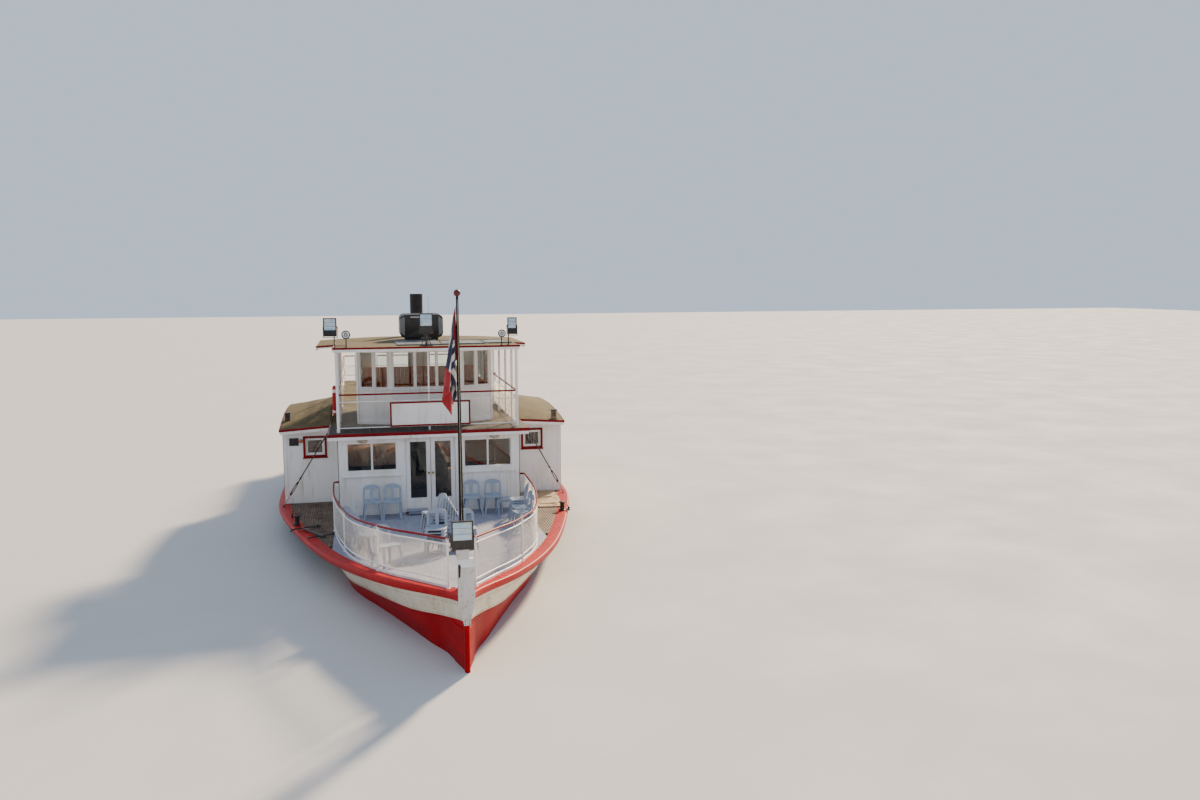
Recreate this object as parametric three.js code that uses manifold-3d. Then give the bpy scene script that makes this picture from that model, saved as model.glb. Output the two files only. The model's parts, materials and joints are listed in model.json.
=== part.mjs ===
// A side-wheel paddle steamer of the river passenger kind, afloat.
// Millimetres. +X is port, +Y is aft, +Z is up.
// The origin is on the centreline at the waterline, below the middle of the paddle shaft.

import * as THREE from 'three';
import { mergeVertices } from 'three/addons/utils/BufferGeometryUtils.js';
import Module from 'manifold-3d';

// Driving dimensions
const GAP = 0.3;                    // between pieces that touch
const HULL_FORE = -13200;           // face of the stem
const HULL_AFT = 13180;             // aft face of the hull under the rub rail
const HULL_HALF = 2350;             // half-breadth of the hull at the deck
const KEEL_Z = -850;                // lowest face of the bar keel
const HEEL_Z = -900;                // lowest face of the heel that carries the rudder
const DECK_Z = 740;                 // deck above the waterline, amidships
const PLANK = 50;                   // thickness of the deck
const SHEER = { fore: -4400, foreRise: 590, aft: 8600, aftRise: 260 };
const RAIL = { thick: 70, flange: 300, deep: 130 };      // rub rail and the margin plank on it
const HOUSE = { fore: -4400, aft: 8600, half: 2250, wall: 60 };
const ROOF = { fore: -4550, aft: 9000, half: 2480, top: 2830, slab: 60, fascia: 150, board: 30 };
const SHAFT = { z: 1120, radius: 75, half: 3595 };
const WHEEL = { radius: 1600, inner: 2480, outer: 3440, floats: 10 };
const WELL = { half: 1700, inner: 2430, outer: 3490, low: 300, high: 1000 };
const BOX = { half: 2556, outer: 3687, wall: 60 };       // paddle box
const BOX_ROOF = { half: 2810, outer: 3745, inner: 2480.3, slab: 40, eave: 2737, play: 8, board: 30 };
const GALLERY = {
  fore: -4270, half: 2230, post: 70, sidePost: 60, stanchion: 40, top: 3770, middle: 3590, bottom: 2940,
  bar: 22, thin: 14,
};
const CABIN = {
  fore: -3200, shoulder: -2850, aft: 100, face: 900, half: 1750, wall: 50, sill: 3800, head: 4740,
};
const TOP_ROOF = {
  fore: -4350, step: -2100, aft: 600, half: 2300, wide: 2790, top: 4940, slab: 60, camber: 90, fascia: 110,
  board: 30,
};
const FUNNEL = { y: 800, radius: 190, top: 6180, wall: 12, flue: 900, collar: 90 };
const ENGINE = { fore: -1500, aft: 1900, half: 650, top: 1900 };
const RUDDER = { y: 12070, radius: 45, play: 15, trailing: 12900, top: -130 };
const SKEG = { half: 30, clear: 70, keelFore: -12500, keelTop: -700, fore: 9000, top: -60 };
const HEEL = { half: 60, fore: 250, aft: 80 };
const STEM = { half: 140, foot: 60, deep: 150, low: 840, neck: 950, shoulder: 1240, top: 1980 };
const STAFF = { y: -12600, top: 6370, low: 35, high: 22 };
const LADDER = { low: -1850, high: -1150 };
const HINGE = { radius: 5.5, reach: 6, edge: 8 };        // knuckle, axis to jamb, leaf to jamb

// Outer face of the rub rail: y, and half-breadth at the deck
const EDGE_ROWS = [
  { y: -13200, half: 110 }, { y: -12800, half: 260 }, { y: -12200, half: 610 },
  { y: -11560, half: 1040 }, { y: -10790, half: 1460 }, { y: -9990, half: 1840 },
  { y: -9190, half: 2170 }, { y: -8290, half: 2500 }, { y: -7000, half: 2890 },
  { y: -5400, half: 3310 }, { y: -3900, half: 3660 }, { y: -2600, half: 3870 },
  { y: 0, half: 3920 }, { y: 2600, half: 3870 }, { y: 3900, half: 3600 },
  { y: 5400, half: 3050 }, { y: 7000, half: 2610 }, { y: 8600, half: 2450 },
  { y: 10200, half: 2260 }, { y: 11600, half: 1850 }, { y: 12600, half: 1250 },
  { y: 13000, half: 850 }, { y: 13250, half: 430 },
];
// Hull below the deck: keel is the bottom's z, bottom its half-breadth, side the half-breadth at sideZ
const HULL_ROWS = [
  { y: -13200, keel: -600, bottom: 10, side: 30, sideZ: 0 },
  { y: -12800, keel: -700, bottom: 20, side: 140, sideZ: 0 },
  { y: -12300, keel: -735, bottom: 60, side: 260, sideZ: 0 },
  { y: -11800, keel: -748, bottom: 130, side: 480, sideZ: 0 },
  { y: -11110, keel: -750, bottom: 300, side: 740, sideZ: 0 },
  { y: -10220, keel: -750, bottom: 600, side: 1080, sideZ: 0 },
  { y: -9380, keel: -750, bottom: 950, side: 1420, sideZ: 0 },
  { y: -8170, keel: -750, bottom: 1350, side: 1900, sideZ: 0 },
  { y: -6500, keel: -750, bottom: 1600, side: 2130, sideZ: 0 },
  { y: -4000, keel: -750, bottom: 1700, side: 2250, sideZ: 0 },
  { y: 4000, keel: -750, bottom: 1700, side: 2250, sideZ: 0 },
  { y: 6500, keel: -740, bottom: 1500, side: 2180, sideZ: 0 },
  { y: 8500, keel: -690, bottom: 1050, side: 1950, sideZ: 0 },
  { y: 10000, keel: -560, bottom: 500, side: 1600, sideZ: 20 },
  { y: 11000, keel: -380, bottom: 200, side: 1300, sideZ: 60 },
  { y: 11900, keel: -130, bottom: 120, side: 1050, sideZ: 140 },
  { y: 12600, keel: 110, bottom: 90, side: 800, sideZ: 320 },
  { y: 13180, keel: 330, bottom: 60, side: 330, sideZ: 500 },
];
// Line of the foredeck rail
const FORE_RAIL_ROWS = [
  { y: -12500, half: 230 }, { y: -11500, half: 760 }, { y: -10900, half: 1120 },
  { y: -10150, half: 1470 }, { y: -9150, half: 1860 }, { y: -8400, half: 2020 },
  { y: -7640, half: 2150 }, { y: -6700, half: 2280 }, { y: -6000, half: 2340 },
  { y: -4650, half: 2380 }, { y: -4420, half: 2380 },
];
const FORE_RAIL = {
  top: 910, middle: 790, bottom: 140, coaming: 120, fore: -12500, aft: -4440, post: 22, bar: 24, thin: 15,
  board: 12,
};

const wasm = await Module();
wasm.setup();

// Geometry helpers

function closedMesh(geometry) {
  const plain = geometry.clone();
  plain.deleteAttribute('normal');
  plain.deleteAttribute('uv');
  return mergeVertices(plain, 1e-3);
}

function signedVolume(positions, index) {
  const a = new THREE.Vector3();
  const b = new THREE.Vector3();
  const c = new THREE.Vector3();
  let volume = 0;
  for (let i = 0; i < index.length; i += 3) {
    a.fromArray(positions, 3 * index[i]);
    b.fromArray(positions, 3 * index[i + 1]);
    c.fromArray(positions, 3 * index[i + 2]);
    volume += a.dot(b.cross(c));
  }
  return volume;
}

function solid(geometry) {
  const merged = closedMesh(geometry);
  const vertProperties = new Float32Array(merged.attributes.position.array);
  const triVerts = new Uint32Array(merged.index.array);
  if (signedVolume(vertProperties, triVerts) < 0) {
    for (let i = 0; i < triVerts.length; i += 3) {
      [triVerts[i], triVerts[i + 1]] = [triVerts[i + 1], triVerts[i]];
    }
  }
  return new wasm.Manifold(new wasm.Mesh({ numProp: 3, vertProperties, triVerts }));
}

function geometryOf(manifold) {
  const mesh = manifold.getMesh();
  const geometry = new THREE.BufferGeometry();
  geometry.setAttribute('position', new THREE.BufferAttribute(new Float32Array(mesh.vertProperties), 3));
  geometry.setIndex(new THREE.BufferAttribute(new Uint32Array(mesh.triVerts), 1));
  geometry.computeVertexNormals();
  return geometry;
}

function join(...geometries) {
  return geometryOf(geometries.map(solid).reduce((whole, piece) => whole.add(piece)));
}

function cut(geometry, ...tools) {
  return geometryOf(tools.map(solid).reduce((rest, tool) => rest.subtract(tool), solid(geometry)));
}

function box(x0, x1, y0, y1, z0, z1) {
  const geometry = new THREE.BoxGeometry(Math.abs(x1 - x0), y1 - y0, z1 - z0);
  return geometry.translate((x0 + x1) / 2, (y0 + y1) / 2, (z0 + z1) / 2);
}

function rod(from, to, radius, sides = 12, endRadius = radius) {
  const start = new THREE.Vector3(...from);
  const way = new THREE.Vector3(...to).sub(start);
  const geometry = new THREE.CylinderGeometry(endRadius, radius, way.length(), sides);
  geometry.translate(0, way.length() / 2, 0);
  const up = new THREE.Vector3(0, 1, 0);
  geometry.applyQuaternion(new THREE.Quaternion().setFromUnitVectors(up, way.normalize()));
  return geometry.translate(...from);
}

// A solid through outlines of [x, z] points, each at its own y
function loft(sections) {
  const count = sections[0].outline.length;
  const positions = sections.flatMap(({ y, outline }) => outline.flatMap(([x, z]) => [x, y, z]));
  const index = [];
  for (let s = 0; s + 1 < sections.length; s += 1) {
    for (let i = 0; i < count; i += 1) {
      const a = s * count + i;
      const b = s * count + ((i + 1) % count);
      index.push(a, b, a + count, b, b + count, a + count);
    }
  }
  // Each end is closed by triangles that turn with the outline, or against it at the first end
  const cap = (outline, first, against) => {
    const points = outline.map(([x, z]) => new THREE.Vector2(x, z));
    const turn = Math.sign(THREE.ShapeUtils.area(points)) * (against ? -1 : 1);
    for (const [a, b, c] of THREE.ShapeUtils.triangulateShape([...points], [])) {
      const same = Math.sign(THREE.ShapeUtils.area([points[a], points[b], points[c]])) === turn;
      index.push(first + a, first + (same ? b : c), first + (same ? c : b));
    }
  };
  cap(sections[0].outline, 0, true);
  cap(sections.at(-1).outline, (sections.length - 1) * count, false);
  const geometry = new THREE.BufferGeometry();
  geometry.setAttribute('position', new THREE.BufferAttribute(new Float32Array(positions), 3));
  geometry.setIndex(index);
  return geometry;
}

// A plate whose outline is [x, z], between two y
function plateXZ(outline, y0, y1) {
  return loft([{ y: y0, outline }, { y: y1, outline }]);
}

// A plate whose outline is [y, z], between two x
function plateYZ(outline, x0, x1) {
  return plateXZ(outline.map(([y, z]) => [y, z]), Math.min(x0, x1), Math.max(x0, x1)).applyMatrix4(
    new THREE.Matrix4().set(0, 1, 0, 0, 1, 0, 0, 0, 0, 0, 1, 0, 0, 0, 0, 1),
  );
}

function lathe(profile, segments) {
  const points = profile.map(([radius, z]) => new THREE.Vector2(radius, z));
  return new THREE.LatheGeometry(points, segments).rotateX(Math.PI / 2);
}

function mirrored(geometry) {
  return geometry.clone().scale(-1, 1, 1);
}

// Curves of the boat

// A smooth curve through the rows, read at y
function smooth(rows, column, y) {
  const last = rows.length - 1;
  if (y <= rows[0].y) return rows[0][column];
  if (y >= rows[last].y) return rows[last][column];
  const i = rows.findIndex((row, k) => k < last && y < rows[k + 1].y);
  const slope = (k) => {
    const low = rows[Math.max(0, k - 1)];
    const high = rows[Math.min(last, k + 1)];
    return (high[column] - low[column]) / (high.y - low.y);
  };
  const reach = rows[i + 1].y - rows[i].y;
  const t = (y - rows[i].y) / reach;
  return (1 + 2 * t) * (1 - t) ** 2 * rows[i][column] + t * (1 - t) ** 2 * reach * slope(i)
    + t ** 2 * (3 - 2 * t) * rows[i + 1][column] + t ** 2 * (t - 1) * reach * slope(i + 1);
}

// Where the deck's faces meet. Every piece that lies on the deck has its sections here
const STATIONS = [
  -13200, -13000, -12800, -12500, -12200, -11800, -11400, -11000, -10500, -10000, -9400, -8700, -8000,
  -7000, -6000, -5200, -4400, -3500, -2600, -1300, 0, 1300, 2600, 3500, 4400, 5200, 6000, 6800, 7600,
  8600, 9400, 10200, 10900, 11500, 12000, 12400, 12700, 12950, 13180,
];
// Amidships the hull and its deck run straight
const MIDDLE_END = 4400;
const HULL_STATIONS = STATIONS.filter((y) => y <= SHEER.fore || y >= MIDDLE_END || y === 0);

function between(low, high) {
  return [low, ...STATIONS.filter((y) => y > low && y < high), high];
}

function sheer(y) {
  if (y < SHEER.fore) {
    return DECK_Z + SHEER.foreRise * ((SHEER.fore - y) / (SHEER.fore - HULL_FORE)) ** 2;
  }
  return DECK_Z + SHEER.aftRise * (Math.max(0, y - SHEER.aft) / (HULL_AFT - SHEER.aft)) ** 2;
}

// Between two stations the deck and its edge run straight
function straight(curve, y) {
  const low = STATIONS.findLast((station) => station <= y) ?? HULL_FORE;
  const high = STATIONS.find((station) => station > y) ?? HULL_AFT;
  const share = high > low ? (y - low) / (high - low) : 0;
  return curve(low) + (curve(high) - curve(low)) * share;
}

const deckZ = (y) => straight(sheer, y);

const edge = (y) => straight((station) => smooth(EDGE_ROWS, 'half', station), y);
const hullHalf = (y) => Math.min(edge(y) - RAIL.thick - GAP, HULL_HALF);
const foreRailHalf = (y) => smooth(FORE_RAIL_ROWS, 'half', y);

function spaced(low, high, count) {
  return Array.from({ length: count + 1 }, (_, i) => low + ((high - low) * i) / count);
}

// The scene graph

const steamer = new THREE.Group();
steamer.name = 'paddle_steamer';

function paint(color, roughness = 0.45, metalness = 0) {
  return new THREE.MeshStandardMaterial({ color, roughness, metalness });
}

const WHITE = paint(0xf1efe9);
const RED = paint(0xb5202a);
const DECK_GREY = paint(0x8d97a1, 0.7);
const TIMBER = paint(0x5d4636, 0.8);
const ROOF_GREY = paint(0x5f5c4c, 0.8);
const BLACK = paint(0x1b1b1d, 0.5);
const VARNISH = paint(0x8a4a24, 0.4);
const IRON = paint(0x3b3b3d, 0.6, 0.6);
const STEEL = paint(0x9a9da1, 0.4, 0.9);
const CLOTH = paint(0x2c3561, 0.9);

function add(name, geometry, material, place = [0, 0, 0]) {
  const mesh = new THREE.Mesh(geometryOf(solid(geometry)), material);
  mesh.name = name;
  mesh.position.set(...place);
  steamer.add(mesh);
}

const SIDES = [{ name: 'port', sign: 1 }, { name: 'starboard', sign: -1 }];

function sided(geometry, sign) {
  return geometryOf(solid(sign > 0 ? geometry : mirrored(geometry)));
}

// Hull, with its bar keel, the skeg and the heel under the rudder

function hullOutline(y) {
  const at = (column) => smooth(HULL_ROWS, column, y);
  const top = deckZ(y) - PLANK - GAP;
  const turns = 4;
  const half = [];
  for (let i = 0; i <= turns; i += 1) {
    const angle = (Math.PI / 2) * (i / turns);
    const x = at('bottom') + (at('side') - at('bottom')) * Math.sin(angle);
    const z = at('sideZ') - (at('sideZ') - at('keel')) * Math.cos(angle);
    half.push([x, z]);
  }
  const flare = 0.45;
  half.push([at('side') + (hullHalf(y) - at('side')) * flare, at('sideZ') + (top - at('sideZ')) / 2]);
  half.push([hullHalf(y), top]);
  return [...half, ...half.map(([x, z]) => [-x, z]).reverse()];
}

// The trunk that the rudder's stock turns in, from under the counter to above the deck
function rudderTrunk() {
  return rod([0, RUDDER.y, -400], [0, RUDDER.y, 1500], RUDDER.radius + RUDDER.play, 24);
}

function hull() {
  const shell = loft(HULL_STATIONS.map((y) => ({ y, outline: hullOutline(y) })));
  const after = RUDDER.y - SKEG.clear;
  const keel = box(-SKEG.half, SKEG.half, SKEG.keelFore, after, KEEL_Z, SKEG.keelTop);
  const skeg = box(-SKEG.half, SKEG.half, SKEG.fore, after, KEEL_Z + 10, SKEG.top);
  const heel = box(-HEEL.half, HEEL.half, RUDDER.y - HEEL.fore, RUDDER.y + HEEL.aft, HEEL_Z, KEEL_Z);
  return cut(join(shell, keel, skeg, heel), rudderTrunk());
}

add('hull', hull(), RED);

// The white casing of the stem, wide at the top
const stemSide = [
  [STEM.foot, STEM.low], [STEM.foot + 10, STEM.neck], [STEM.half, STEM.shoulder], [STEM.half, STEM.top],
];
const stemOutline = [...stemSide, ...stemSide.map(([x, z]) => [-x, z]).reverse()];
add('stem_post', plateXZ(stemOutline, HULL_FORE - STEM.deep, HULL_FORE - GAP), WHITE);

// Deck inside the margin plank, in three parts that meet under the house's end walls
const DECKS = [
  { name: 'foredeck', fore: -12500, aft: HOUSE.fore },
  { name: 'saloon_deck', fore: HOUSE.fore, aft: HOUSE.aft },
  { name: 'aft_deck', fore: HOUSE.aft, aft: 12950 },
];

function deckPart({ fore, aft }) {
  const outline = (y) => {
    const half = Math.max(20, Math.min(hullHalf(y), edge(y) - RAIL.flange - GAP));
    const z = deckZ(y);
    return [[-half, z - PLANK], [half, z - PLANK], [half, z], [-half, z]];
  };
  const start = fore > DECKS[0].fore ? fore + GAP : fore;
  const slab = loft(between(start, aft).map((y) => ({ y, outline: outline(y) })));
  return cut(slab, rudderTrunk());
}

for (const part of DECKS) add(part.name, deckPart(part), DECK_GREY);

// Guards outside the hull, each with the well of its wheel and the blocks that carry the shaft
const GUARD = { fore: -8300, plankFore: -7500, plankAft: 6400, aft: 7000, deep: 110 };
const BEARING = { half: 160, below: 20, above: 130, play: 1, clear: 5 };
const OUTRIGGER = { ys: [-6200, -4400, -2600, 2600, 4400], half: 40, root: 430, tip: 140, top: 90, end: 320 };

function bearing(x0, x1) {
  const block = box(x0, x1, -BEARING.half, BEARING.half, DECK_Z - BEARING.below, SHAFT.z + BEARING.above);
  const bore = rod([x0 - 10, 0, SHAFT.z], [x1 + 10, 0, SHAFT.z], SHAFT.radius + BEARING.play, 20);
  return cut(block, bore);
}

function guard() {
  const inner = HULL_HALF + GAP;
  const beam = loft(between(GUARD.fore, GUARD.aft).map((y) => {
    const outer = edge(y) - RAIL.thick - GAP;
    const low = deckZ(y) - GUARD.deep;
    const high = deckZ(y) - PLANK - GAP;
    return { y, outline: [[inner, low], [outer, low], [outer, high], [inner, high]] };
  }));
  const planks = loft(between(GUARD.plankFore, GUARD.plankAft).map((y) => {
    const outer = edge(y) - RAIL.flange - GAP;
    const low = deckZ(y) - PLANK - 5;
    return { y, outline: [[inner, low], [outer, low], [outer, deckZ(y)], [inner, deckZ(y)]] };
  }));
  const well = box(WELL.inner, WELL.outer, -WELL.half, WELL.half, WELL.low, WELL.high);
  const open = cut(join(beam, planks), well);
  const outriggers = OUTRIGGER.ys.map((y) => plateXZ([
    [inner, deckZ(y) - OUTRIGGER.root], [inner + 40, deckZ(y) - OUTRIGGER.root],
    [edge(y) - OUTRIGGER.end, deckZ(y) - OUTRIGGER.tip], [edge(y) - OUTRIGGER.end, deckZ(y) - OUTRIGGER.top],
    [inner, deckZ(y) - OUTRIGGER.top],
  ], y - OUTRIGGER.half, y + OUTRIGGER.half));
  const bearings = [
    bearing(inner, WELL.inner - BEARING.clear), bearing(WELL.outer + BEARING.clear, SHAFT.half),
  ];
  return join(open, ...outriggers, ...bearings);
}

for (const { name, sign } of SIDES) add(`guard_${name}`, sided(guard(), sign), TIMBER);

// Rub rail round the whole deck, with the margin plank on top of it: bow, two sides and stern
function railOutline(y) {
  const outer = edge(y);
  const face = outer - RAIL.thick;
  const inner = Math.max(-10, outer - RAIL.flange);
  const z = deckZ(y);
  return [
    [outer, z - RAIL.deep], [outer, z], [inner, z], [inner, z - PLANK], [face, z - PLANK],
    [face, z - RAIL.deep],
  ];
}

function railPart(fore, aft) {
  return loft(between(fore, aft).map((y) => ({ y, outline: railOutline(y) })));
}

const bowRail = railPart(HULL_FORE, HOUSE.fore);
add('rub_rail_bow', join(bowRail, mirrored(bowRail)), RED);
for (const { name, sign } of SIDES) {
  add(`rub_rail_${name}`, sided(railPart(HOUSE.fore + GAP, HOUSE.aft), sign), RED);
}
const sternSide = railPart(HOUSE.aft + GAP, HULL_AFT + GAP);
const sternZ = deckZ(HULL_AFT);
const transom = box(
  -edge(HULL_AFT), edge(HULL_AFT), HULL_AFT + GAP, HULL_AFT + GAP + RAIL.thick, sternZ - RAIL.deep, sternZ,
);
add('rub_rail_stern', join(sternSide, mirrored(sternSide), transom), RED);

// Foredeck rail: coaming, bottom, middle and top rail, and posts, in two halves

const RAIL_POST_YS = [-12480, -11500, -10300, -8900, -7400, -5900, -4480];

// A bar of square section that follows a line in plan, at a height above the deck
function followingBar(stations, half, thick, low, high) {
  return loft(stations.map((y) => {
    const x = half(y);
    const z = deckZ(y);
    const outline = [[x - thick, z + low], [x + thick, z + low], [x + thick, z + high], [x - thick, z + high]];
    return { y, outline };
  }));
}

function foreRail() {
  const { top, middle, bottom, bar, thin, post: half } = FORE_RAIL;
  const ys = between(FORE_RAIL.fore, FORE_RAIL.aft);
  const bars = [[bar, top], [thin, middle], [thin, bottom]].map(([thick, rise]) => (
    followingBar(ys, foreRailHalf, thick, rise - thick, rise + thick)));
  const coaming = followingBar(ys, foreRailHalf, FORE_RAIL.board, GAP, FORE_RAIL.coaming);
  const posts = RAIL_POST_YS.map((y) => {
    const x = foreRailHalf(y);
    return box(x - half, x + half, y - half, y + half, deckZ(y) + 20, deckZ(y) + top);
  });
  return join(coaming, ...bars, ...posts);
}

for (const { name, sign } of SIDES) add(`foredeck_rail_${name}`, sided(foreRail(), sign), WHITE);

// Stern rail, one piece round the aft deck

const STERN_RAIL = {
  fore: 8720, aft: 13130, rises: [FORE_RAIL.top, 600, 300], half: 18, posts: [8745, 10200, 11500, 12400, 13100],
};

function sternRail() {
  const { rises, half: thin } = STERN_RAIL;
  const line = (y) => edge(y) - RAIL.flange / 2;
  const stations = between(STERN_RAIL.fore, STERN_RAIL.aft);
  const side = rises.map((rise) => followingBar(stations, line, thin, rise - thin, rise + thin));
  const half = FORE_RAIL.post;
  const posts = STERN_RAIL.posts.map((y) => box(
    line(y) - half, line(y) + half, y - half, y + half, deckZ(y + half) + GAP, deckZ(y) + FORE_RAIL.top));
  const last = STERN_RAIL.posts.at(-1);
  const across = rises.map((rise) => box(
    -line(last), line(last), last - 10, STERN_RAIL.aft, deckZ(last) + rise - thin, deckZ(last) + rise + thin));
  return join(...side, ...posts, ...side.map(mirrored), ...posts.map(mirrored), ...across);
}

add('stern_rail', sternRail(), WHITE);

// House on the main deck: four walls, their windows and doorways cut through

const FLOOR = DECK_Z + GAP;
const HOUSE_TOP = ROOF.top - ROOF.slab - GAP;
const DOORWAY = { half: 620, top: 2660 };
const FRONT_WINDOWS = [{ low: -2050, high: -840 }, { low: 840, high: 2050 }];
const WINDOW = { low: 1860, high: 2570 };
const THROUGH = 50;                 // how far a cutter passes a wall's face
const SILL = 30;                    // height of a doorway's sill

function houseFront() {
  const wall = box(-HOUSE.half, HOUSE.half, HOUSE.fore, HOUSE.fore + HOUSE.wall, FLOOR, HOUSE_TOP);
  const through = [HOUSE.fore - THROUGH, HOUSE.fore + HOUSE.wall + THROUGH];
  const windows = FRONT_WINDOWS.map(({ low, high }) => box(low, high, ...through, WINDOW.low, WINDOW.high));
  const doorway = box(-DOORWAY.half, DOORWAY.half, ...through, FLOOR + SILL, DOORWAY.top);
  return cut(wall, ...windows, doorway);
}

add('house_front', houseFront(), WHITE);

const AFT_DOORWAY = { low: -400, high: 400, top: 2660 };
const AFT_WINDOWS = [{ low: -1750, high: -850 }, { low: 850, high: 1750 }];

function houseAft() {
  const wall = box(-HOUSE.half, HOUSE.half, HOUSE.aft - HOUSE.wall, HOUSE.aft, FLOOR, HOUSE_TOP);
  const through = [HOUSE.aft - HOUSE.wall - THROUGH, HOUSE.aft + THROUGH];
  const windows = AFT_WINDOWS.map(({ low, high }) => box(low, high, ...through, WINDOW.low, WINDOW.high));
  const doorway = box(AFT_DOORWAY.low, AFT_DOORWAY.high, ...through, FLOOR + SILL, AFT_DOORWAY.top);
  return cut(wall, ...windows, doorway);
}

add('house_aft', houseAft(), WHITE);

const SIDE_WINDOWS = [
  { low: -3900, high: -3100 }, { low: 3100, high: 4000 }, { low: 4500, high: 5400 }, { low: 5900, high: 6800 },
  { low: 7300, high: 8200 },
];
const SHAFT_WAY = 130;              // radius of the hole that the shaft passes the house's side in

function houseSide() {
  const low = HOUSE.fore + HOUSE.wall + GAP;
  const high = HOUSE.aft - HOUSE.wall - GAP;
  const wall = box(HOUSE.half - HOUSE.wall, HOUSE.half, low, high, FLOOR, HOUSE_TOP);
  const through = [HOUSE.half - HOUSE.wall - THROUGH, HOUSE.half + THROUGH];
  const windows = SIDE_WINDOWS.map((row) => box(...through, row.low, row.high, WINDOW.low, WINDOW.high));
  const shaftWay = rod([through[0], 0, SHAFT.z], [through[1], 0, SHAFT.z], SHAFT_WAY, 24);
  return cut(wall, ...windows, shaftWay);
}

for (const { name, sign } of SIDES) add(`house_${name}`, sided(houseSide(), sign), WHITE);

// Main roof, which is the upper deck, with a fascia board all round
function mainRoof() {
  const slab = box(-ROOF.half, ROOF.half, ROOF.fore, ROOF.aft, ROOF.top - ROOF.fascia, ROOF.top);
  const inside = box(
    -ROOF.half + ROOF.board, ROOF.half - ROOF.board, ROOF.fore + ROOF.board, ROOF.aft - ROOF.board,
    ROOF.top - ROOF.fascia - THROUGH, ROOF.top - ROOF.slab,
  );
  const below = ROOF.top - ROOF.slab - THROUGH;
  const funnelHole = rod([0, FUNNEL.y, below], [0, FUNNEL.y, ROOF.top + THROUGH], FUNNEL.radius + 25, 24);
  return cut(slab, inside, funnelHole);
}

add('main_roof', mainRoof(), ROOF_GREY);

// Paddle boxes

function boxRoofZ(x, y) {
  const t = (BOX_ROOF.outer - x) / (BOX_ROOF.outer - BOX_ROOF.inner);
  const crown = 1 - (y / BOX_ROOF.half) ** 2;
  return BOX_ROOF.eave + 83 * t + (205 + 175 * t) * crown;
}

function boxRoof() {
  const { half, inner, outer, slab, eave, board } = BOX_ROOF;
  const middle = (outer + inner) / 2;
  const cover = loft(spaced(-half, half, 14).map((y) => {
    const over = (x) => [x, boxRoofZ(x, y)];
    const under = (x) => [x, boxRoofZ(x, y) - slab];
    return { y, outline: [
      under(outer), over(outer), over(middle), over(inner), [inner, eave - 17], [inner + board, eave - 17],
      under(inner + board), under(middle),
    ] };
  }));
  const eaves = [-1, 1].map((end) => plateXZ([
    [inner, eave - 47], [outer, eave - 127], [outer, eave - 5], [inner, eave + 75],
  ], ...ordered(end * half, end * (half - board))));
  return join(cover, ...eaves);
}

const BOX_WINDOW = { low: 2640, high: 3140, sill: 2010, head: 2470 };

// The same two values with the smaller one first
function ordered(a, b) {
  return [Math.min(a, b), Math.max(a, b)];
}

function boxUnder(x, y) {
  return boxRoofZ(x, y) - BOX_ROOF.slab - BOX_ROOF.play;
}

function boxEnd(end) {
  const face = end * BOX.half;
  const inside = end * (BOX.half - BOX.wall);
  const inner = HOUSE.half + GAP;
  const step = BOX_ROOF.inner + BOX_ROOF.board + 1;
  const wall = plateXZ([
    [inner, FLOOR], [BOX.outer, FLOOR], [BOX.outer, boxUnder(BOX.outer, face)], [step, boxUnder(step, face)],
    [step, ROOF.top - ROOF.fascia - 1], [inner, ROOF.top - ROOF.fascia - 1],
  ], ...ordered(face, inside));
  const { low, high, sill, head } = BOX_WINDOW;
  const [near, far] = ordered(face, inside);
  return cut(wall, box(low, high, near - THROUGH, far + THROUGH, sill, head));
}

function boxSide() {
  const arch = spaced(-BOX.half, BOX.half, 12).map((y) => [y, boxUnder(BOX.outer, y)]);
  return plateYZ([[-BOX.half, FLOOR], ...arch, [BOX.half, FLOOR]], BOX.outer - BOX.wall, BOX.outer);
}

for (const { name, sign } of SIDES) {
  add(`box_roof_${name}`, sided(boxRoof(), sign), ROOF_GREY);
  add(`box_walls_${name}`, sided(join(boxEnd(-1), boxSide(), boxEnd(1)), sign), WHITE);
}

// Paddle shaft and wheels

add('paddle_shaft', rod([-SHAFT.half, 0, SHAFT.z], [SHAFT.half, 0, SHAFT.z], SHAFT.radius, 20), IRON);

function ringX(outer, inner, x0, x1, sides) {
  const turned = (radius, grow) => new THREE.CylinderGeometry(radius, radius, x1 - x0 + grow, sides)
    .rotateZ(Math.PI / 2).translate((x0 + x1) / 2, 0, 0);
  return cut(turned(outer, 0), turned(inner, 20));
}

// Two hubs, each with its ring and spokes, and the floats across them
const HUB = { radius: 260, play: 0.8, low: -30, high: 90 };
const RING = { outer: 1240, inner: 1160, low: 10, high: 50 };
const SPOKE = { half: 40, root: 200, short: 60, low: 12, high: 48 };
const FLOAT = { face: 30, back: 75, deep: 380, short: 4 };

function aroundShaft(geometry) {
  return spaced(0, 2 * Math.PI, WHEEL.floats).slice(1).map((angle) => geometry.clone().rotateX(angle));
}

function paddleWheel() {
  const { low, high, half, root, short } = SPOKE;
  const frames = [WHEEL.inner + 90, WHEEL.outer - 150].flatMap((x) => [
    ringX(HUB.radius, SHAFT.radius + HUB.play, x + HUB.low, x + HUB.high, 20),
    ringX(RING.outer, RING.inner, x + RING.low, x + RING.high, 20),
    ...aroundShaft(box(x + low, x + high, -half, half, root, WHEEL.radius - short)),
  ]);
  const floats = aroundShaft(box(
    WHEEL.inner, WHEEL.outer, FLOAT.face, FLOAT.back, WHEEL.radius - FLOAT.deep, WHEEL.radius - FLOAT.short));
  return join(...frames, ...floats);
}

for (const { name, sign } of SIDES) {
  add(`paddle_wheel_${name}`, sided(paddleWheel(), sign), RED, [0, 0, SHAFT.z]);
}

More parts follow.
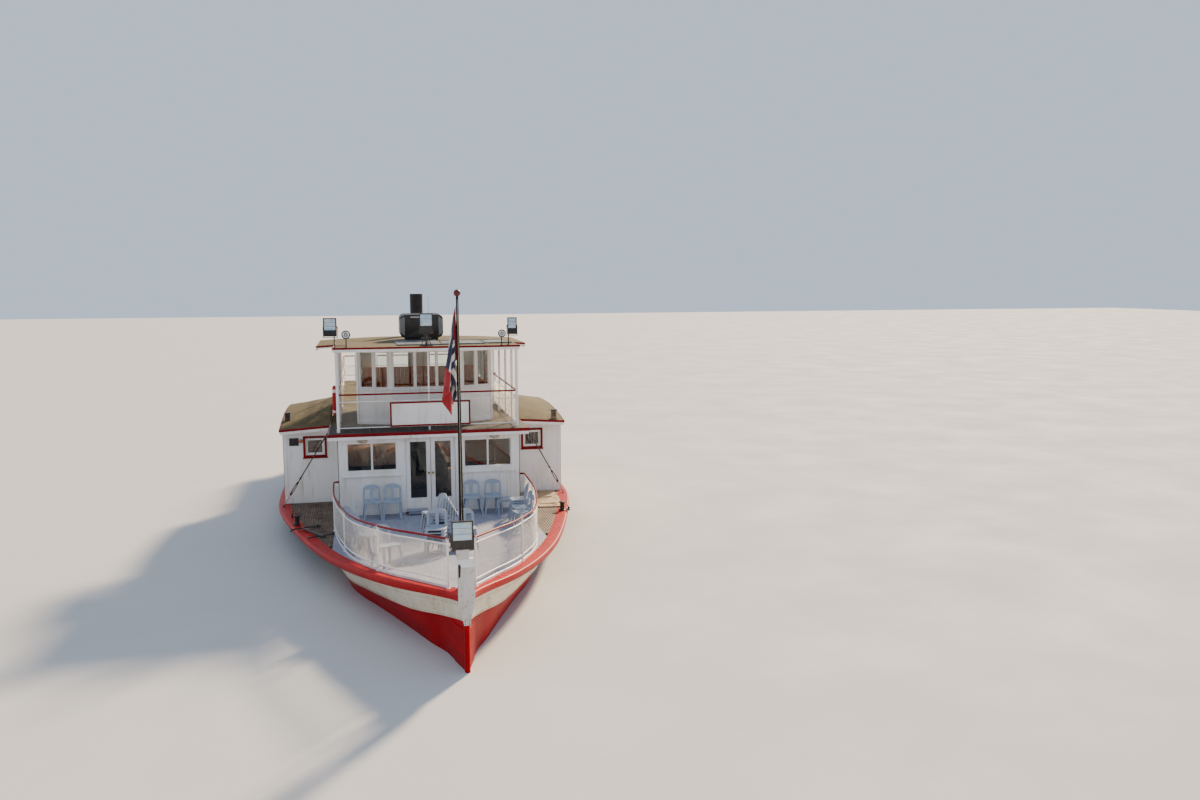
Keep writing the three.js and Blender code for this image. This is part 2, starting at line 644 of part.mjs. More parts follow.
// Boiler and engine as one plain block, bored for the shaft
add('engine', cut(
  box(-ENGINE.half, ENGINE.half, ENGINE.fore, ENGINE.aft, FLOOR, ENGINE.top),
  rod([-ENGINE.half - 20, 0, SHAFT.z], [ENGINE.half + 20, 0, SHAFT.z], SHAFT.radius + 20, 32),
), IRON);

// Funnel, from the boiler through the roof, with its collar on the roof
function funnel() {
  const { radius, top, wall, flue, collar } = FUNNEL;
  return lathe([
    [0, ENGINE.top + GAP], [radius, ENGINE.top + GAP], [radius, ROOF.top + GAP],
    [radius + collar, ROOF.top + GAP], [radius + collar, ROOF.top + 60], [radius, ROOF.top + 110], [radius, top],
    [radius - wall, top], [radius - wall, top - flue], [0, top - flue],
  ], 24);
}

add('funnel', funnel(), BLACK, [0, FUNNEL.y, 0]);

// Upper gallery: corner posts, stanchion and rails in front, posts and rails at the sides

const TOP_UNDER = TOP_ROOF.top - TOP_ROOF.slab - GAP;
const GALLERY_BASE = ROOF.top + GAP;

function post(x, y, width, z1) {
  return box(x - width / 2, x + width / 2, y - width / 2, y + width / 2, GALLERY_BASE, z1);
}

// Height and half-thickness of the gallery's top, middle and bottom rail
const GALLERY_RAILS = [
  [GALLERY.top, GALLERY.bar], [GALLERY.middle, GALLERY.thin], [GALLERY.bottom, GALLERY.thin],
];

function galleryFront() {
  const { half, fore } = GALLERY;
  const corners = [-half, half].map((x) => post(x, fore, GALLERY.post, TOP_UNDER));
  const stanchion = post(0, fore, GALLERY.stanchion, TOP_UNDER);
  const rails = GALLERY_RAILS.map(([z, r]) => box(-half, half, fore - r, fore + r, z - r, z + r));
  return join(...corners, stanchion, ...rails);
}

add('gallery_front', galleryFront(), WHITE);

const GALLERY_POST_YS = [-3400, -2200, -900, 450];

const ROOF_PLAY = 5;                // between the cambered roof and what ends below it

// How far the cambered roof lies below its crown, at x
function roofDrop(x) {
  return TOP_ROOF.camber * (x / TOP_ROOF.wide) ** 2;
}

function topRoofUnder(y) {
  if (y < TOP_ROOF.step) return TOP_UNDER;
  return TOP_UNDER - roofDrop(GALLERY.half) - ROOF_PLAY;
}

function gallerySide() {
  const start = GALLERY.fore + GALLERY.post / 2 + GAP;
  const x = GALLERY.half;
  const posts = GALLERY_POST_YS.map((y) => post(x, y, GALLERY.sidePost, topRoofUnder(y)));
  const rails = GALLERY_RAILS.map(([z, r]) => box(x - r, x + r, start, GALLERY_POST_YS.at(-1), z - r, z + r));
  return join(...posts, ...rails);
}

for (const { name, sign } of SIDES) add(`gallery_${name}`, sided(gallerySide(), sign), WHITE);

// Rail round the aft half of the upper deck, in two halves that part at the head of the ladder
const UPPER_RAIL = {
  half: 2300, fore: 560, post: 46, middle: 3400, bottom: 3050, inset: 180, clear: 50, spans: 6, end: 600,
};

function upperAftRail(sign) {
  const { half, fore, post: width, clear } = UPPER_RAIL;
  const aft = ROOF.aft - UPPER_RAIL.inset;
  const start = sign > 0 ? LADDER.high + clear : LADDER.low - clear;
  const across = ordered(start, sign * half);
  const rails = [
    [GALLERY.top, GALLERY.bar], [UPPER_RAIL.middle, GALLERY.thin], [UPPER_RAIL.bottom, GALLERY.thin],
  ].flatMap(([z, r]) => [
    box(sign * half - r, sign * half + r, fore, aft, z - r, z + r),
    box(across[0] - (sign > 0 ? 0 : r), across[1] + (sign > 0 ? r : 0), aft - r, aft + r, z - r, z + r),
  ]);
  const posts = spaced(fore + 30, aft, UPPER_RAIL.spans).map((y) => post(sign * half, y, width, GALLERY.top));
  const ends = [start, ...(sign > 0 ? [UPPER_RAIL.end] : [])].map((x) => post(x, aft, width, GALLERY.top));
  return join(...rails, ...posts, ...ends);
}

for (const { name, sign } of SIDES) add(`upper_rail_${name}`, upperAftRail(sign), WHITE);

// Upper cabin: bow front in three faces, sides and back

const CABIN_TOP = TOP_ROOF.top - TOP_ROOF.slab - 1;
const CABIN_SIDE_TOP = CABIN_TOP - roofDrop(CABIN.half) - ROOF_PLAY;

function slabXY(outline, z0, z1) {
  const shape = new THREE.Shape(outline.map(([x, y]) => new THREE.Vector2(x, y)));
  return new THREE.ExtrudeGeometry(shape, { depth: z1 - z0, bevelEnabled: false }).translate(0, 0, z0);
}

// Panes of the cabin's front: three on the middle face, two on each angled one, measured along the face
const MIDDLE_PANES = [[-840, -300], [-260, 260], [300, 840]];
const ANGLED_PANES = [[90, 430], [500, 840]];

function cabinFront() {
  const { fore, shoulder, face, half, wall, sill, head } = CABIN;
  const [turn, corner] = [10, 20];
  const outline = [
    [-half, shoulder], [-face, fore], [face, fore], [half, shoulder],
    [half, shoulder + wall], [half - wall - corner, shoulder + wall], [face - turn, fore + wall],
    [-face + turn, fore + wall], [-half + wall + corner, shoulder + wall], [-half, shoulder + wall],
  ];
  const body = slabXY(outline, GALLERY_BASE, CABIN_SIDE_TOP);
  const middle = MIDDLE_PANES.map(([low, high]) => (
    box(low, high, fore - THROUGH, fore + wall + THROUGH, sill, head)));
  const slope = Math.atan2(shoulder - fore, half - face);
  const angled = ANGLED_PANES.flatMap(([low, high]) => {
    const pane = box(low, high, -THROUGH - 10, wall + THROUGH + 10, sill, head).rotateZ(slope);
    pane.translate(face, fore, 0);
    return [pane, geometryOf(solid(mirrored(pane)))];
  });
  return cut(body, ...middle, ...angled);
}

add('cabin_front', cabinFront(), WHITE);

const CABIN_DOORWAY = { low: -2650, high: -1950, top: 4600 };
const CABIN_SIDE_PANES = [[-1700, -1050], [-800, -150]];
const CABIN_AFT_PANES = [[-1300, -300], [300, 1300]];
const CABIN_HEAD = CABIN.head - 100;    // head of the cabin's side and aft windows

function cabinSide() {
  const start = CABIN.shoulder + CABIN.wall + GAP;
  const high = CABIN.aft - CABIN.wall - GAP;
  const through = [CABIN.half - CABIN.wall - THROUGH, CABIN.half + THROUGH];
  const wall = box(CABIN.half - CABIN.wall, CABIN.half, start, high, GALLERY_BASE, CABIN_SIDE_TOP);
  const panes = CABIN_SIDE_PANES.map(([low, top]) => box(...through, low, top, CABIN.sill, CABIN_HEAD));
  const { low: doorLow, high: doorHigh, top: doorTop } = CABIN_DOORWAY;
  const doorway = box(...through, doorLow, doorHigh, GALLERY_BASE + SILL, doorTop);
  return cut(wall, ...panes, doorway);
}

for (const { name, sign } of SIDES) add(`cabin_${name}`, sided(cabinSide(), sign), WHITE);

function cabinAft() {
  const { aft, wall, half, sill } = CABIN;
  const body = box(-half, half, aft - wall, aft, GALLERY_BASE, CABIN_SIDE_TOP);
  return cut(body, ...CABIN_AFT_PANES.map(([low, high]) => (
    box(low, high, aft - wall - THROUGH, aft + THROUGH, sill, CABIN_HEAD))));
}

add('cabin_aft', cabinAft(), WHITE);

// Roof over the gallery and the cabin: narrow in front, wide and cambered behind

function topRoof() {
  const { fore, step, aft, half, wide, top, slab, camber, fascia, board } = TOP_ROOF;
  const front = cut(
    box(-half, half, fore, step + 40, top - fascia, top),
    box(-half + board, half - board, fore + board, step + 100, top - fascia - 10, top - slab),
  );
  const arc = spaced(-wide, wide, 10).map((x) => [x, top - roofDrop(x)]);
  const rear = plateXZ([...arc, ...arc.map(([x, z]) => [x, z - slab]).reverse()], step, aft);
  const low = top - camber - fascia;
  const edges = [-1, 1].map((sign) => box(sign * (wide - board), sign * wide, step, aft, low, low + 100));
  return join(front, rear, ...edges);
}

add('top_roof', topRoof(), ROOF_GREY);

// Cooler on the roof: a black box with round corners, on its plinth
const COOLER = {
  half: 590, high: 650, corner: 150, deep: 900, y: -900, plinth: 75, plinthHalf: 450, inset: 100,
};

function cooler() {
  const { half: w, high: h, corner: r, deep, plinth, plinthHalf, inset } = COOLER;
  const shape = new THREE.Shape();
  shape.moveTo(-w + r, 0).lineTo(w - r, 0);
  shape.absarc(w - r, r, r, -Math.PI / 2, 0).absarc(w - r, h - r, r, 0, Math.PI / 2);
  shape.absarc(-w + r, h - r, r, Math.PI / 2, Math.PI).absarc(-w + r, r, r, Math.PI, 1.5 * Math.PI);
  const body = new THREE.ExtrudeGeometry(shape, { depth: deep, bevelEnabled: false, curveSegments: 5 });
  body.rotateX(Math.PI / 2).translate(0, 0, plinth);
  return join(body, box(-plinthHalf, plinthHalf, inset - deep, -inset, 0, plinth + 20));
}

add('cooler', cooler(), BLACK, [0, COOLER.y, TOP_ROOF.top + GAP]);

// Lamps

function floodLamp({ width, high, deep, rise, postX = 0 }) {
  const body = box(-width / 2, width / 2, -deep / 2, deep / 2, rise, rise + high);
  return join(body, rod([postX, 0, 0], [postX, 0, rise + 40], 16, 8));
}

function roundLamp({ radius, rise }) {
  const bowl = new THREE.CylinderGeometry(radius * 0.6, radius, 150, 20);
  return join(bowl.translate(0, 0, rise), rod([0, 0, 0], [0, 0, rise], 12, 8));
}

// A square flood lamp and a round lamp beside it, with the bar between their posts
function lampPair(flood, round) {
  const [low, high] = ordered(flood.post, round.x);
  const square = floodLamp({ ...flood, deep: 160, postX: flood.post - flood.x }).translate(flood.x, 0, 0);
  return join(square, roundLamp(round).translate(round.x, 0, 0), box(low, high, -8, 8, 40, 56));
}

const LAMPS = {
  starboard: [
    { x: -2355, width: 340, high: 450, post: -2260, rise: 285 }, { x: -1980, radius: 108, rise: 320 },
  ],
  port: [{ x: 2125, width: 260, high: 427, post: 2040, rise: 277 }, { x: 1865, radius: 100, rise: 300 }],
};
const LAMP_Z = TOP_ROOF.top + GAP;
for (const { name } of SIDES) add(`roof_lamps_${name}`, lampPair(...LAMPS[name]), BLACK, [0, -4240, LAMP_Z]);
const CENTRE_LAMP = { width: 360, high: 480, deep: 220, rise: 343 };
const BOW_LAMP = { width: 380, high: 480, deep: 160, rise: 175 };
add('roof_lamp_centre', floodLamp(CENTRE_LAMP), BLACK, [-30, -4200, LAMP_Z]);
add('bow_lamp', floodLamp(BOW_LAMP), BLACK, [-55, HULL_FORE - STEM.deep / 2, STEM.top + GAP]);

// Bare board for a name, in front of the gallery rail
const NAME_BOARD = { half: 1000, thick: 40, low: 2945, high: 3565, x: 30 };
const boardFace = GALLERY.fore - GALLERY.stanchion / 2 - GAP;
const board = box(
  -NAME_BOARD.half, NAME_BOARD.half, boardFace - NAME_BOARD.thick, boardFace, NAME_BOARD.low, NAME_BOARD.high,
);
add('name_board', board, WHITE, [NAME_BOARD.x, 0, 0]);

// Flagstaff with its truck, cut to the slope of the deck, and the flag hanging beside it
const STAFF_FOOT = { radius: 90, z: deckZ(STAFF.y), high: 60, taper: 100 };

function flagstaff() {
  const { radius, z, high, taper } = STAFF_FOOT;
  const staff = lathe([
    [0, z - high], [radius, z - high], [radius, z + high], [STAFF.low, z + taper],
    [STAFF.high, STAFF.top - 60], [45, STAFF.top - 30], [60, STAFF.top + 15], [40, STAFF.top + 55],
    [0, STAFF.top + 70],
  ], 16).translate(0, STAFF.y, 0);
  const below = loft([-12800, -12500].map((y) => ({ y, outline: [
    [-200, z - 300], [200, z - 300], [200, deckZ(y) + GAP], [-200, deckZ(y) + GAP],
  ] })));
  return cut(staff, below);
}

add('flagstaff', flagstaff(), BLACK);

function staffHalf(z) {
  const low = STAFF_FOOT.z + STAFF_FOOT.taper;
  return STAFF.low + ((STAFF.high - STAFF.low) * (z - low)) / (STAFF.top - 60 - low) + GAP;
}

const hangingFlag = [
  [-staffHalf(6180), 6180], [-120, 6150], [-170, 5600], [-260, 4900], [-240, 4190], [-60, 4240],
  [-staffHalf(4600), 4600],
];
add('flag', plateXZ(hangingFlag, -60, 60), CLOTH, [0, STAFF.y, 0]);

// Doors

function doorLeaf({ width, high, thick, glass }) {
  const edgeX = HINGE.edge - HINGE.reach;
  const leaf = box(edgeX, edgeX + width, -thick - 2, -2, 0, high);
  const light = box(100, width - 90, -thick - THROUGH, THROUGH, glass.low, glass.high);
  const knuckles = [0.12, 0.5, 0.86].map((share) => (
    rod([0, 0, high * share], [0, 0, high * share + 100], HINGE.radius, 16)));
  return join(cut(leaf, light), ...knuckles);
}

const LIFT = 35;                    // underside of a leaf above the floor
const EDGE_PLAY = HINGE.edge + 8;   // what a leaf is narrower than its doorway
const SALOON_LEAF = {
  width: DOORWAY.half - HINGE.edge - 6, high: 1870, thick: 40, glass: { low: 330, high: 1790 },
};
const AFT_LEAF = {
  width: AFT_DOORWAY.high - AFT_DOORWAY.low - EDGE_PLAY, high: 1870, thick: 40,
  glass: { low: 1090, high: 1750 },
};
const CABIN_LEAF = {
  width: CABIN_DOORWAY.high - CABIN_DOORWAY.low - EDGE_PLAY, high: 1710, thick: 36,
  glass: { low: 940, high: 1640 },
};

for (const { name, sign } of SIDES) {
  const saloon = doorLeaf(SALOON_LEAF).scale(-1, 1, 1);
  add(`saloon_door_${name}`, sided(saloon, sign), WHITE,
    [sign * (DOORWAY.half - HINGE.reach), HOUSE.fore + HOUSE.wall - 8, FLOOR + LIFT]);
  const cabin = doorLeaf(CABIN_LEAF).rotateZ(Math.PI / 2);
  add(`cabin_door_${name}`, sided(cabin, sign), VARNISH,
    [sign * (CABIN.half - CABIN.wall + 8), CABIN_DOORWAY.low + HINGE.reach, GALLERY_BASE + LIFT]);
}

add('aft_door', doorLeaf(AFT_LEAF), WHITE, [AFT_DOORWAY.low + HINGE.reach, HOUSE.aft - 8, FLOOR + LIFT]);

// Rudder with its stock and tiller, on the heel of the skeg
const TILLER = { half: 30, long: 900, hub: 90 };

function rudder() {
  const top = deckZ(RUDDER.y) + 260;
  const stock = rod([0, 0, KEEL_Z + 0.5], [0, 0, top], RUDDER.radius, 24);
  const blade = box(-20, 20, 0, RUDDER.trailing - RUDDER.y, KEEL_Z + 20, RUDDER.top);
  const tiller = box(-TILLER.half, TILLER.half, -TILLER.long, 0, top - 90, top - 30);
  const hub = rod([0, 0, top - 110], [0, 0, top - 10], TILLER.hub, 24);
  return join(stock, blade, tiller, hub);
}

add('rudder', rudder(), RED, [0, RUDDER.y, 0]);

// Steering wheel and its pedestal
const STEERING = { y: -2450, z: 3700, radius: 420, rim: 340, centre: 60 };
add('steering_pedestal', box(-90, 90, STEERING.y - 200, STEERING.y, GALLERY_BASE, STEERING.z + 90), VARNISH);

function steeringWheel() {
  const { radius, centre } = STEERING;
  const rim = new THREE.TorusGeometry(STEERING.rim, 24, 6, 16).rotateX(Math.PI / 2).translate(0, centre, 0);
  const hub = rod([0, 0.5, 0], [0, 100, 0], 55, 12);
  const spokes = spaced(0, 2 * Math.PI, 8).slice(1).map((angle) => (
    rod([0, centre, 0], [radius * Math.cos(angle), centre, radius * Math.sin(angle)], 15, 4)));
  return join(rim, hub, ...spokes);
}

add('steering_wheel', steeringWheel(), VARNISH, [0, STEERING.y, STEERING.z]);

// Stays from the edge of the upper deck to the guard, each with its turnbuckle
const STAY = { from: [2520, -3900, 2760], to: [3700, -2900, DECK_Z + 20] };

function stay() {
  const at = (t) => STAY.from.map((value, i) => value + (STAY.to[i] - value) * t);
  const [headX, headY, headZ] = STAY.from;
  const [footX, footY] = STAY.to;
  const lug = box(ROOF.half + GAP, headX + 5, headY - 20, headY + 20, headZ - 20, headZ + 20);
  const plate = rod([footX, footY, DECK_Z + GAP], [footX, footY, DECK_Z + 30], 40, 8);
  return join(rod(at(0), at(1), 10, 6), rod(at(0.7), at(0.88), 22, 6), lug, plate);
}

for (const { name, sign } of SIDES) add(`stay_${name}`, sided(stay(), sign), STEEL);

// Lifebuoy on its bracket outside the starboard gallery rail
const BUOY = { x: -GALLERY.half - 22 - 55.5, y: -3845, z: 3600, radius: 320, tube: 55 };
const buoyRing = new THREE.TorusGeometry(BUOY.radius, BUOY.tube, 8, 18).rotateY(Math.PI / 2);
add('lifebuoy', buoyRing, RED, [BUOY.x, BUOY.y, BUOY.z]);

// Bollards on the margin plank
const BOLLARD = { y: -5040, foot: 90, neck: 55, head: 85, high: 235 };

function bollard() {
  const { foot, neck, head, high } = BOLLARD;
  return lathe([
    [0, 0], [foot, 0], [foot, 20], [neck, 30], [neck, high - 55], [head, high - 35], [head, high - 10],
    [0, high],
  ], 20);
}

for (const { name, sign } of SIDES) {
  const x = edge(BOLLARD.y) - RAIL.flange / 2;
  add(`bollard_${name}`, bollard(), BLACK, [sign * x, BOLLARD.y, deckZ(BOLLARD.y - BOLLARD.foot) + GAP]);
}

// Ladder from the aft deck to the upper deck
function ladder() {
  const { low, high } = LADDER;
  const side = 160;
  const foot = { y: 10150, z: deckZ(10150 + side) + GAP };
  const head = { y: ROOF.aft + GAP, z: ROOF.top };
  const run = (x) => plateYZ([
    [foot.y, foot.z], [head.y, head.z - 60], [head.y, head.z + 40], [head.y + 60, head.z + 40],
    [foot.y + side, foot.z],
  ], x, x + 40);
  const treads = spaced(0.12, 0.92, 7).map((t) => {
    const y = foot.y + (head.y - foot.y) * t + 80;
    const z = foot.z + (head.z - foot.z) * t;
    return box(low + 10, high - 10, y - 100, y + 100, z - 15, z + 15);
  });
  return join(run(low), run(high - 40), ...treads);
}

add('ladder', ladder(), VARNISH);

export default steamer;
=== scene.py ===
"""A side-wheel river steamer: the finish of every surface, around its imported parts.

Metres, in the parts' own frame: +X is port, +Y is aft, +Z is up, and the water is at z = 0.
"""

import json
import logging
from collections.abc import Callable, Iterable, Sequence
from dataclasses import dataclass
from enum import Enum
from math import atan2, ceil, copysign, cos, degrees, floor, inf, pi, radians, sin

import bmesh
import bpy
from bpy.types import ID, Material, Mesh, Node, NodeSocket, NodeTree, Object
from mathutils import Matrix, Vector

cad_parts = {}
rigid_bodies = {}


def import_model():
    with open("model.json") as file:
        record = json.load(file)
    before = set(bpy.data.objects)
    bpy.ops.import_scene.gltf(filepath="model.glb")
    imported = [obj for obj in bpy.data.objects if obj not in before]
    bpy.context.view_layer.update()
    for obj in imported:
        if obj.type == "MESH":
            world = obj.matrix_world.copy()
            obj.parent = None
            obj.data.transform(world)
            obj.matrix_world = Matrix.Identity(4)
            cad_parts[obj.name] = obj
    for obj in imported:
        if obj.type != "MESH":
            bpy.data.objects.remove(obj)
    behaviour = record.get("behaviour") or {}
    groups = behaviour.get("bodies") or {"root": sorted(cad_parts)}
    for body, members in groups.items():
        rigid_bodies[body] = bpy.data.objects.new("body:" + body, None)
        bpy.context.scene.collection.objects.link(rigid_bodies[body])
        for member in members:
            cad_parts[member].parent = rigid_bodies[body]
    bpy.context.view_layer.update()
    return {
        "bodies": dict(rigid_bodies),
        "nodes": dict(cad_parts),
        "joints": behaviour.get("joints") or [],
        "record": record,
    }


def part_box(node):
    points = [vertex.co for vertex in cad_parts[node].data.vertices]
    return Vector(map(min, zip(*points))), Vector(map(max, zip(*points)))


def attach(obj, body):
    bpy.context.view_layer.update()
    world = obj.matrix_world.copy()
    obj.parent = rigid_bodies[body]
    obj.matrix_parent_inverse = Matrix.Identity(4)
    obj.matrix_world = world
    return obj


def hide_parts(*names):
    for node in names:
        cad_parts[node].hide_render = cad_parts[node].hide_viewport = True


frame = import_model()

Pair = tuple[float, float]
Row = tuple[float, ...]
Outline = Sequence[Pair]
Points = Sequence[Sequence[float]]
Line = Callable[[float], float]

LOG = logging.getLogger("steamer")
ROOT = "boat"
UP = Vector((0, 0, 1))
AHEAD = Vector((0, -1, 0))
HERE = Matrix.Identity(4)
TURN = 2 * pi
BLOCK_FACES = ((0, 1, 3, 2), (4, 6, 7, 5), (0, 4, 5, 1), (2, 3, 7, 6), (0, 2, 6, 4), (1, 5, 7, 3))
# How much rougher a surface is where dirt or wear lies on it
DULLER = 1.35
# Lengths below this count as none
TINY = 1e-9
# Packed corners as near as this to a plane lie in it
NEAR = 2e-4


class Side(Enum):
    """The two sides of the boat, by the sign of x."""

    PORT = 1
    STARBOARD = -1

    @property
    def word(self) -> str:
        """The side's name, as the nodes have it."""
        return self.name.lower()


class Slot(Enum):
    """The record's material slots."""

    WHITE = "white_paint"
    RED = "red_paint"
    DECK = "deck_paint"
    PLANKS = "deck_planks"
    ROOF = "roof_paint"
    BLACK = "black_paint"
    VARNISH = "varnished_wood"
    IRON = "iron"
    STEEL = "galvanised_steel"
    BUNTING = "bunting"


SIGNS = tuple(side.value for side in Side)


# Finishes


def linear(colour: str) -> Row:
    """Turns an sRGB hex colour to the linear one that shaders take."""
    parts = [int(colour[i : i + 2], 16) / 255 for i in (1, 3, 5)]
    return (*(p / 12.92 if p <= 0.04045 else ((p + 0.055) / 1.055) ** 2.4 for p in parts), 1.0)


def put(tree: NodeTree, kind: str, inputs: dict | None = None, **settings: object) -> Node:
    """Adds a shader node.

    Args:
        tree: the material's node tree.
        kind: the node's type.
        inputs: for each input's name or number, a value or the socket that feeds it.
        settings: the node's own settings.

    Returns:
        The new node.
    """
    node = tree.nodes.new(kind)
    for name, value in settings.items():
        setattr(node, name, value)
    for key, value in (inputs or {}).items():
        if isinstance(value, NodeSocket):
            tree.links.new(value, node.inputs[key])
        else:
            node.inputs[key].default_value = value
    return node


@dataclass(frozen=True)
class Patch:
    """A second colour that shows through in patches, such as dirt, rust or fading."""

    colour: str
    size_mm: Row
    share: float
    soft: float = 1.0
    detail: float = 4.0


@dataclass(frozen=True)
class Relief:
    """Unevenness of a surface: how long its waves are along x, y and z, and how deep."""

    size_mm: Row
    depth_mm: float
    detail: float = 2.0


@dataclass(frozen=True)
class Boards:
    """Boards side by side, each of its own tone."""

    pitch_mm: float
    axis: int = 0
    spread: float = 0.3


@dataclass(frozen=True)
class Finish:
    """A material as it is made: its base, then what time and hands did to it."""

    name: str
    colour: str
    roughness: float = 0.5
    metallic: float = 0.0
    ior: float = 1.5
    coat: float = 0.0
    transmission: float = 0.0
    sheen: float = 0.0
    patches: tuple[Patch, ...] = ()
    reliefs: tuple[Relief, ...] = ()
    boards: Boards | None = None

    def noise(self, tree: NodeTree, size_mm: Sequence[float], detail: float) -> NodeSocket:
        """Noise whose lumps have a real size.

        Args:
            tree: the material's node tree.
            size_mm: size of a lump along x, y and z.
            detail: how many finer octaves it has.

        Returns:
            The socket with the noise, from 0 to 1 with most near 0.5.
        """
        place = put(tree, "ShaderNodeTexCoord").outputs["Object"]
        scale = tuple(1000 / size for size in size_mm)
        spot = put(tree, "ShaderNodeMapping", {"Vector": place, "Scale": scale}).outputs[0]
        inputs = {"Vector": spot, "Scale": 1.0, "Detail": detail, "Roughness": 0.6}
        return put(tree, "ShaderNodeTexNoise", inputs).outputs[0]

    def base(self, tree: NodeTree) -> tuple | NodeSocket:
        """The colour before wear: one tone, or the socket with one tone for each board.

        Args:
            tree: the material's node tree.

        Returns:
            The colour, or the socket that gives it.
        """
        tone = linear(self.colour)
        if self.boards is None:
            return tone
        place = put(tree, "ShaderNodeTexCoord").outputs["Object"]
        run = put(tree, "ShaderNodeSeparateXYZ", {0: place}).outputs[self.boards.axis]
        count = put(tree, "ShaderNodeMath", {0: run, 1: 1000 / self.boards.pitch_mm},
                    operation="MULTIPLY").outputs[0]
        board = put(tree, "ShaderNodeMath", {0: count}, operation="FLOOR").outputs[0]
        chance = put(tree, "ShaderNodeTexWhiteNoise", {"W": board}, noise_dimensions="1D").outputs["Value"]
        range_of = {"Value": chance, "To Min": 1 - self.boards.spread, "To Max": 1 + self.boards.spread}
        value = put(tree, "ShaderNodeMapRange", range_of).outputs[0]
        return put(tree, "ShaderNodeHueSaturation", {"Value": value, "Color": tone}).outputs[0]

    def dress(self, tree: NodeTree, shader: Node) -> None:
        """Gives the shader its colour and its dull spots, with the patches laid over the base.

        Args:
            tree: the material's node tree.
            shader: the surface's shader.
        """
        colour = self.base(tree)
        for patch in self.patches:
            noise = self.noise(tree, patch.size_mm, patch.detail)
            middle, reach = 0.68 - 0.36 * patch.share, 0.09 * patch.soft
            span = {"Value": noise, "From Min": middle - reach, "From Max": middle + reach}
            share = put(tree, "ShaderNodeMapRange", span).outputs[0]
            mixed = put(tree, "ShaderNodeMix", {0: share, 6: colour, 7: linear(patch.colour)},
                        data_type="RGBA")
            colour = mixed.outputs[2]
        if self.patches:
            dull = {"Value": share, "To Min": self.roughness, "To Max": min(1.0, self.roughness * DULLER)}
            tree.links.new(put(tree, "ShaderNodeMapRange", dull).outputs[0], shader.inputs["Roughness"])
        if isinstance(colour, tuple):
            shader.inputs["Base Color"].default_value = colour
        else:
            tree.links.new(colour, shader.inputs["Base Color"])

    def material(self) -> Material:
        """Makes the material once and then hands out the same one.

        Returns:
            The material.
        """
        made = bpy.data.materials.get(self.name)
        if made is not None:
            return made
        made = bpy.data.materials.new(self.name)
        made.use_nodes = True
        tree = made.node_tree
        shader = tree.nodes["Principled BSDF"]
        plain = {
            "Roughness": self.roughness, "Metallic": self.metallic, "IOR": self.ior,
            "Coat Weight": self.coat,
            "Transmission Weight": self.transmission, "Sheen Weight": self.sheen,
        }
        for socket, value in plain.items():
            shader.inputs[socket].default_value = value
        self.dress(tree, shader)
        normal: dict[str, NodeSocket] = {}
        for relief in self.reliefs:
            height = self.noise(tree, relief.size_mm, relief.detail)
            bump = put(tree, "ShaderNodeBump",
                       {"Height": height, "Distance": relief.depth_mm / 1000, **normal})
            normal = {"Normal": bump.outputs[0]}
        for socket in normal.values():
            tree.links.new(socket, shader.inputs["Normal"])
        return made


# Oil enamel brushed on boards: glossy, with runs of grime and brush marks 20 mm wide that show close by
WHITE = Finish(
    "white_oil_enamel", "#f2f0ee", 0.36, coat=0.15,
    patches=(Patch("#e2ddd4", (420, 420, 1500), 0.3, 1.8), Patch("#c8bfae", (90, 90, 900), 0.03, 1.2)),
    reliefs=(Relief((22, 22, 420), 0.5), Relief((700, 700, 700), 2.2)),
)
# The same enamel on an iron strake, where rust bleeds through in runs below the rail
STRAKE = Finish(
    "white_enamel_on_rusting_iron", "#e6dcc6", 0.42, coat=0.1,
    patches=(
        Patch("#d8c7a4", (260, 260, 600), 0.4, 1.5), Patch("#a3794c", (50, 50, 420), 0.06, 0.8, 6),
        Patch("#64341a", (30, 30, 70), 0.04, 0.25, 8),
    ),
    reliefs=(Relief((900, 900, 300), 5.0), Relief((14, 14, 14), 0.5, 5)),
)
# The stem's casing, newer enamel on sheet steel: even and pale grey, the grey partly painted shade for
# faces that look away from the sun, with a few brown runs from its bolts
CASING = Finish(
    "fresh_enamel_on_sheet_steel", "#cfc9c8", 0.34, coat=0.15,
    patches=(Patch("#beb7ae", (120, 120, 700), 0.25, 1.5), Patch("#8a6442", (40, 40, 160), 0.03, 0.5, 6)),
    reliefs=(Relief((500, 500, 500), 2.0),),
)
# Signal red gloss enamel, brushed on: deep in the shade, a little darker where grime lies
RED = Finish(
    "signal_red_enamel", "#74020c", 0.36, ior=1.22,
    patches=(Patch("#840a12", (500, 500, 500), 0.4, 1.6), Patch("#4e0208", (120, 120, 60), 0.14, 0.8)),
    reliefs=(Relief((20, 260, 20), 0.4), Relief((600, 600, 600), 1.5)),
)
# Margin plank and rubbing face: the same red, trodden and bumped until wood and undercoat show
RED_WORN = Finish(
    "scuffed_red_enamel_on_timber", "#a2050b", 0.44, ior=1.25,
    patches=(
        Patch("#b8140f", (380, 620, 380), 0.4, 1.5), Patch("#6c070a", (60, 160, 60), 0.16, 0.6, 6),
        Patch("#6b4a38", (22, 60, 22), 0.04, 0.25, 6),
    ),
    reliefs=(Relief((16, 300, 16), 0.9), Relief((300, 300, 300), 1.6)),
)
# Hull plates in red topside enamel; silt dries on them in soft tide marks
HULL_RED = Finish(
    "red_topside_enamel_on_iron", "#a6000c", 0.4, ior=1.15,
    patches=(Patch("#8c0009", (800, 800, 260), 0.34, 1.6), Patch("#6a2014", (300, 300, 40), 0.05, 1.0, 6)),
    reliefs=(Relief((1100, 1100, 420), 6.0), Relief((12, 12, 12), 0.25, 4)),
)
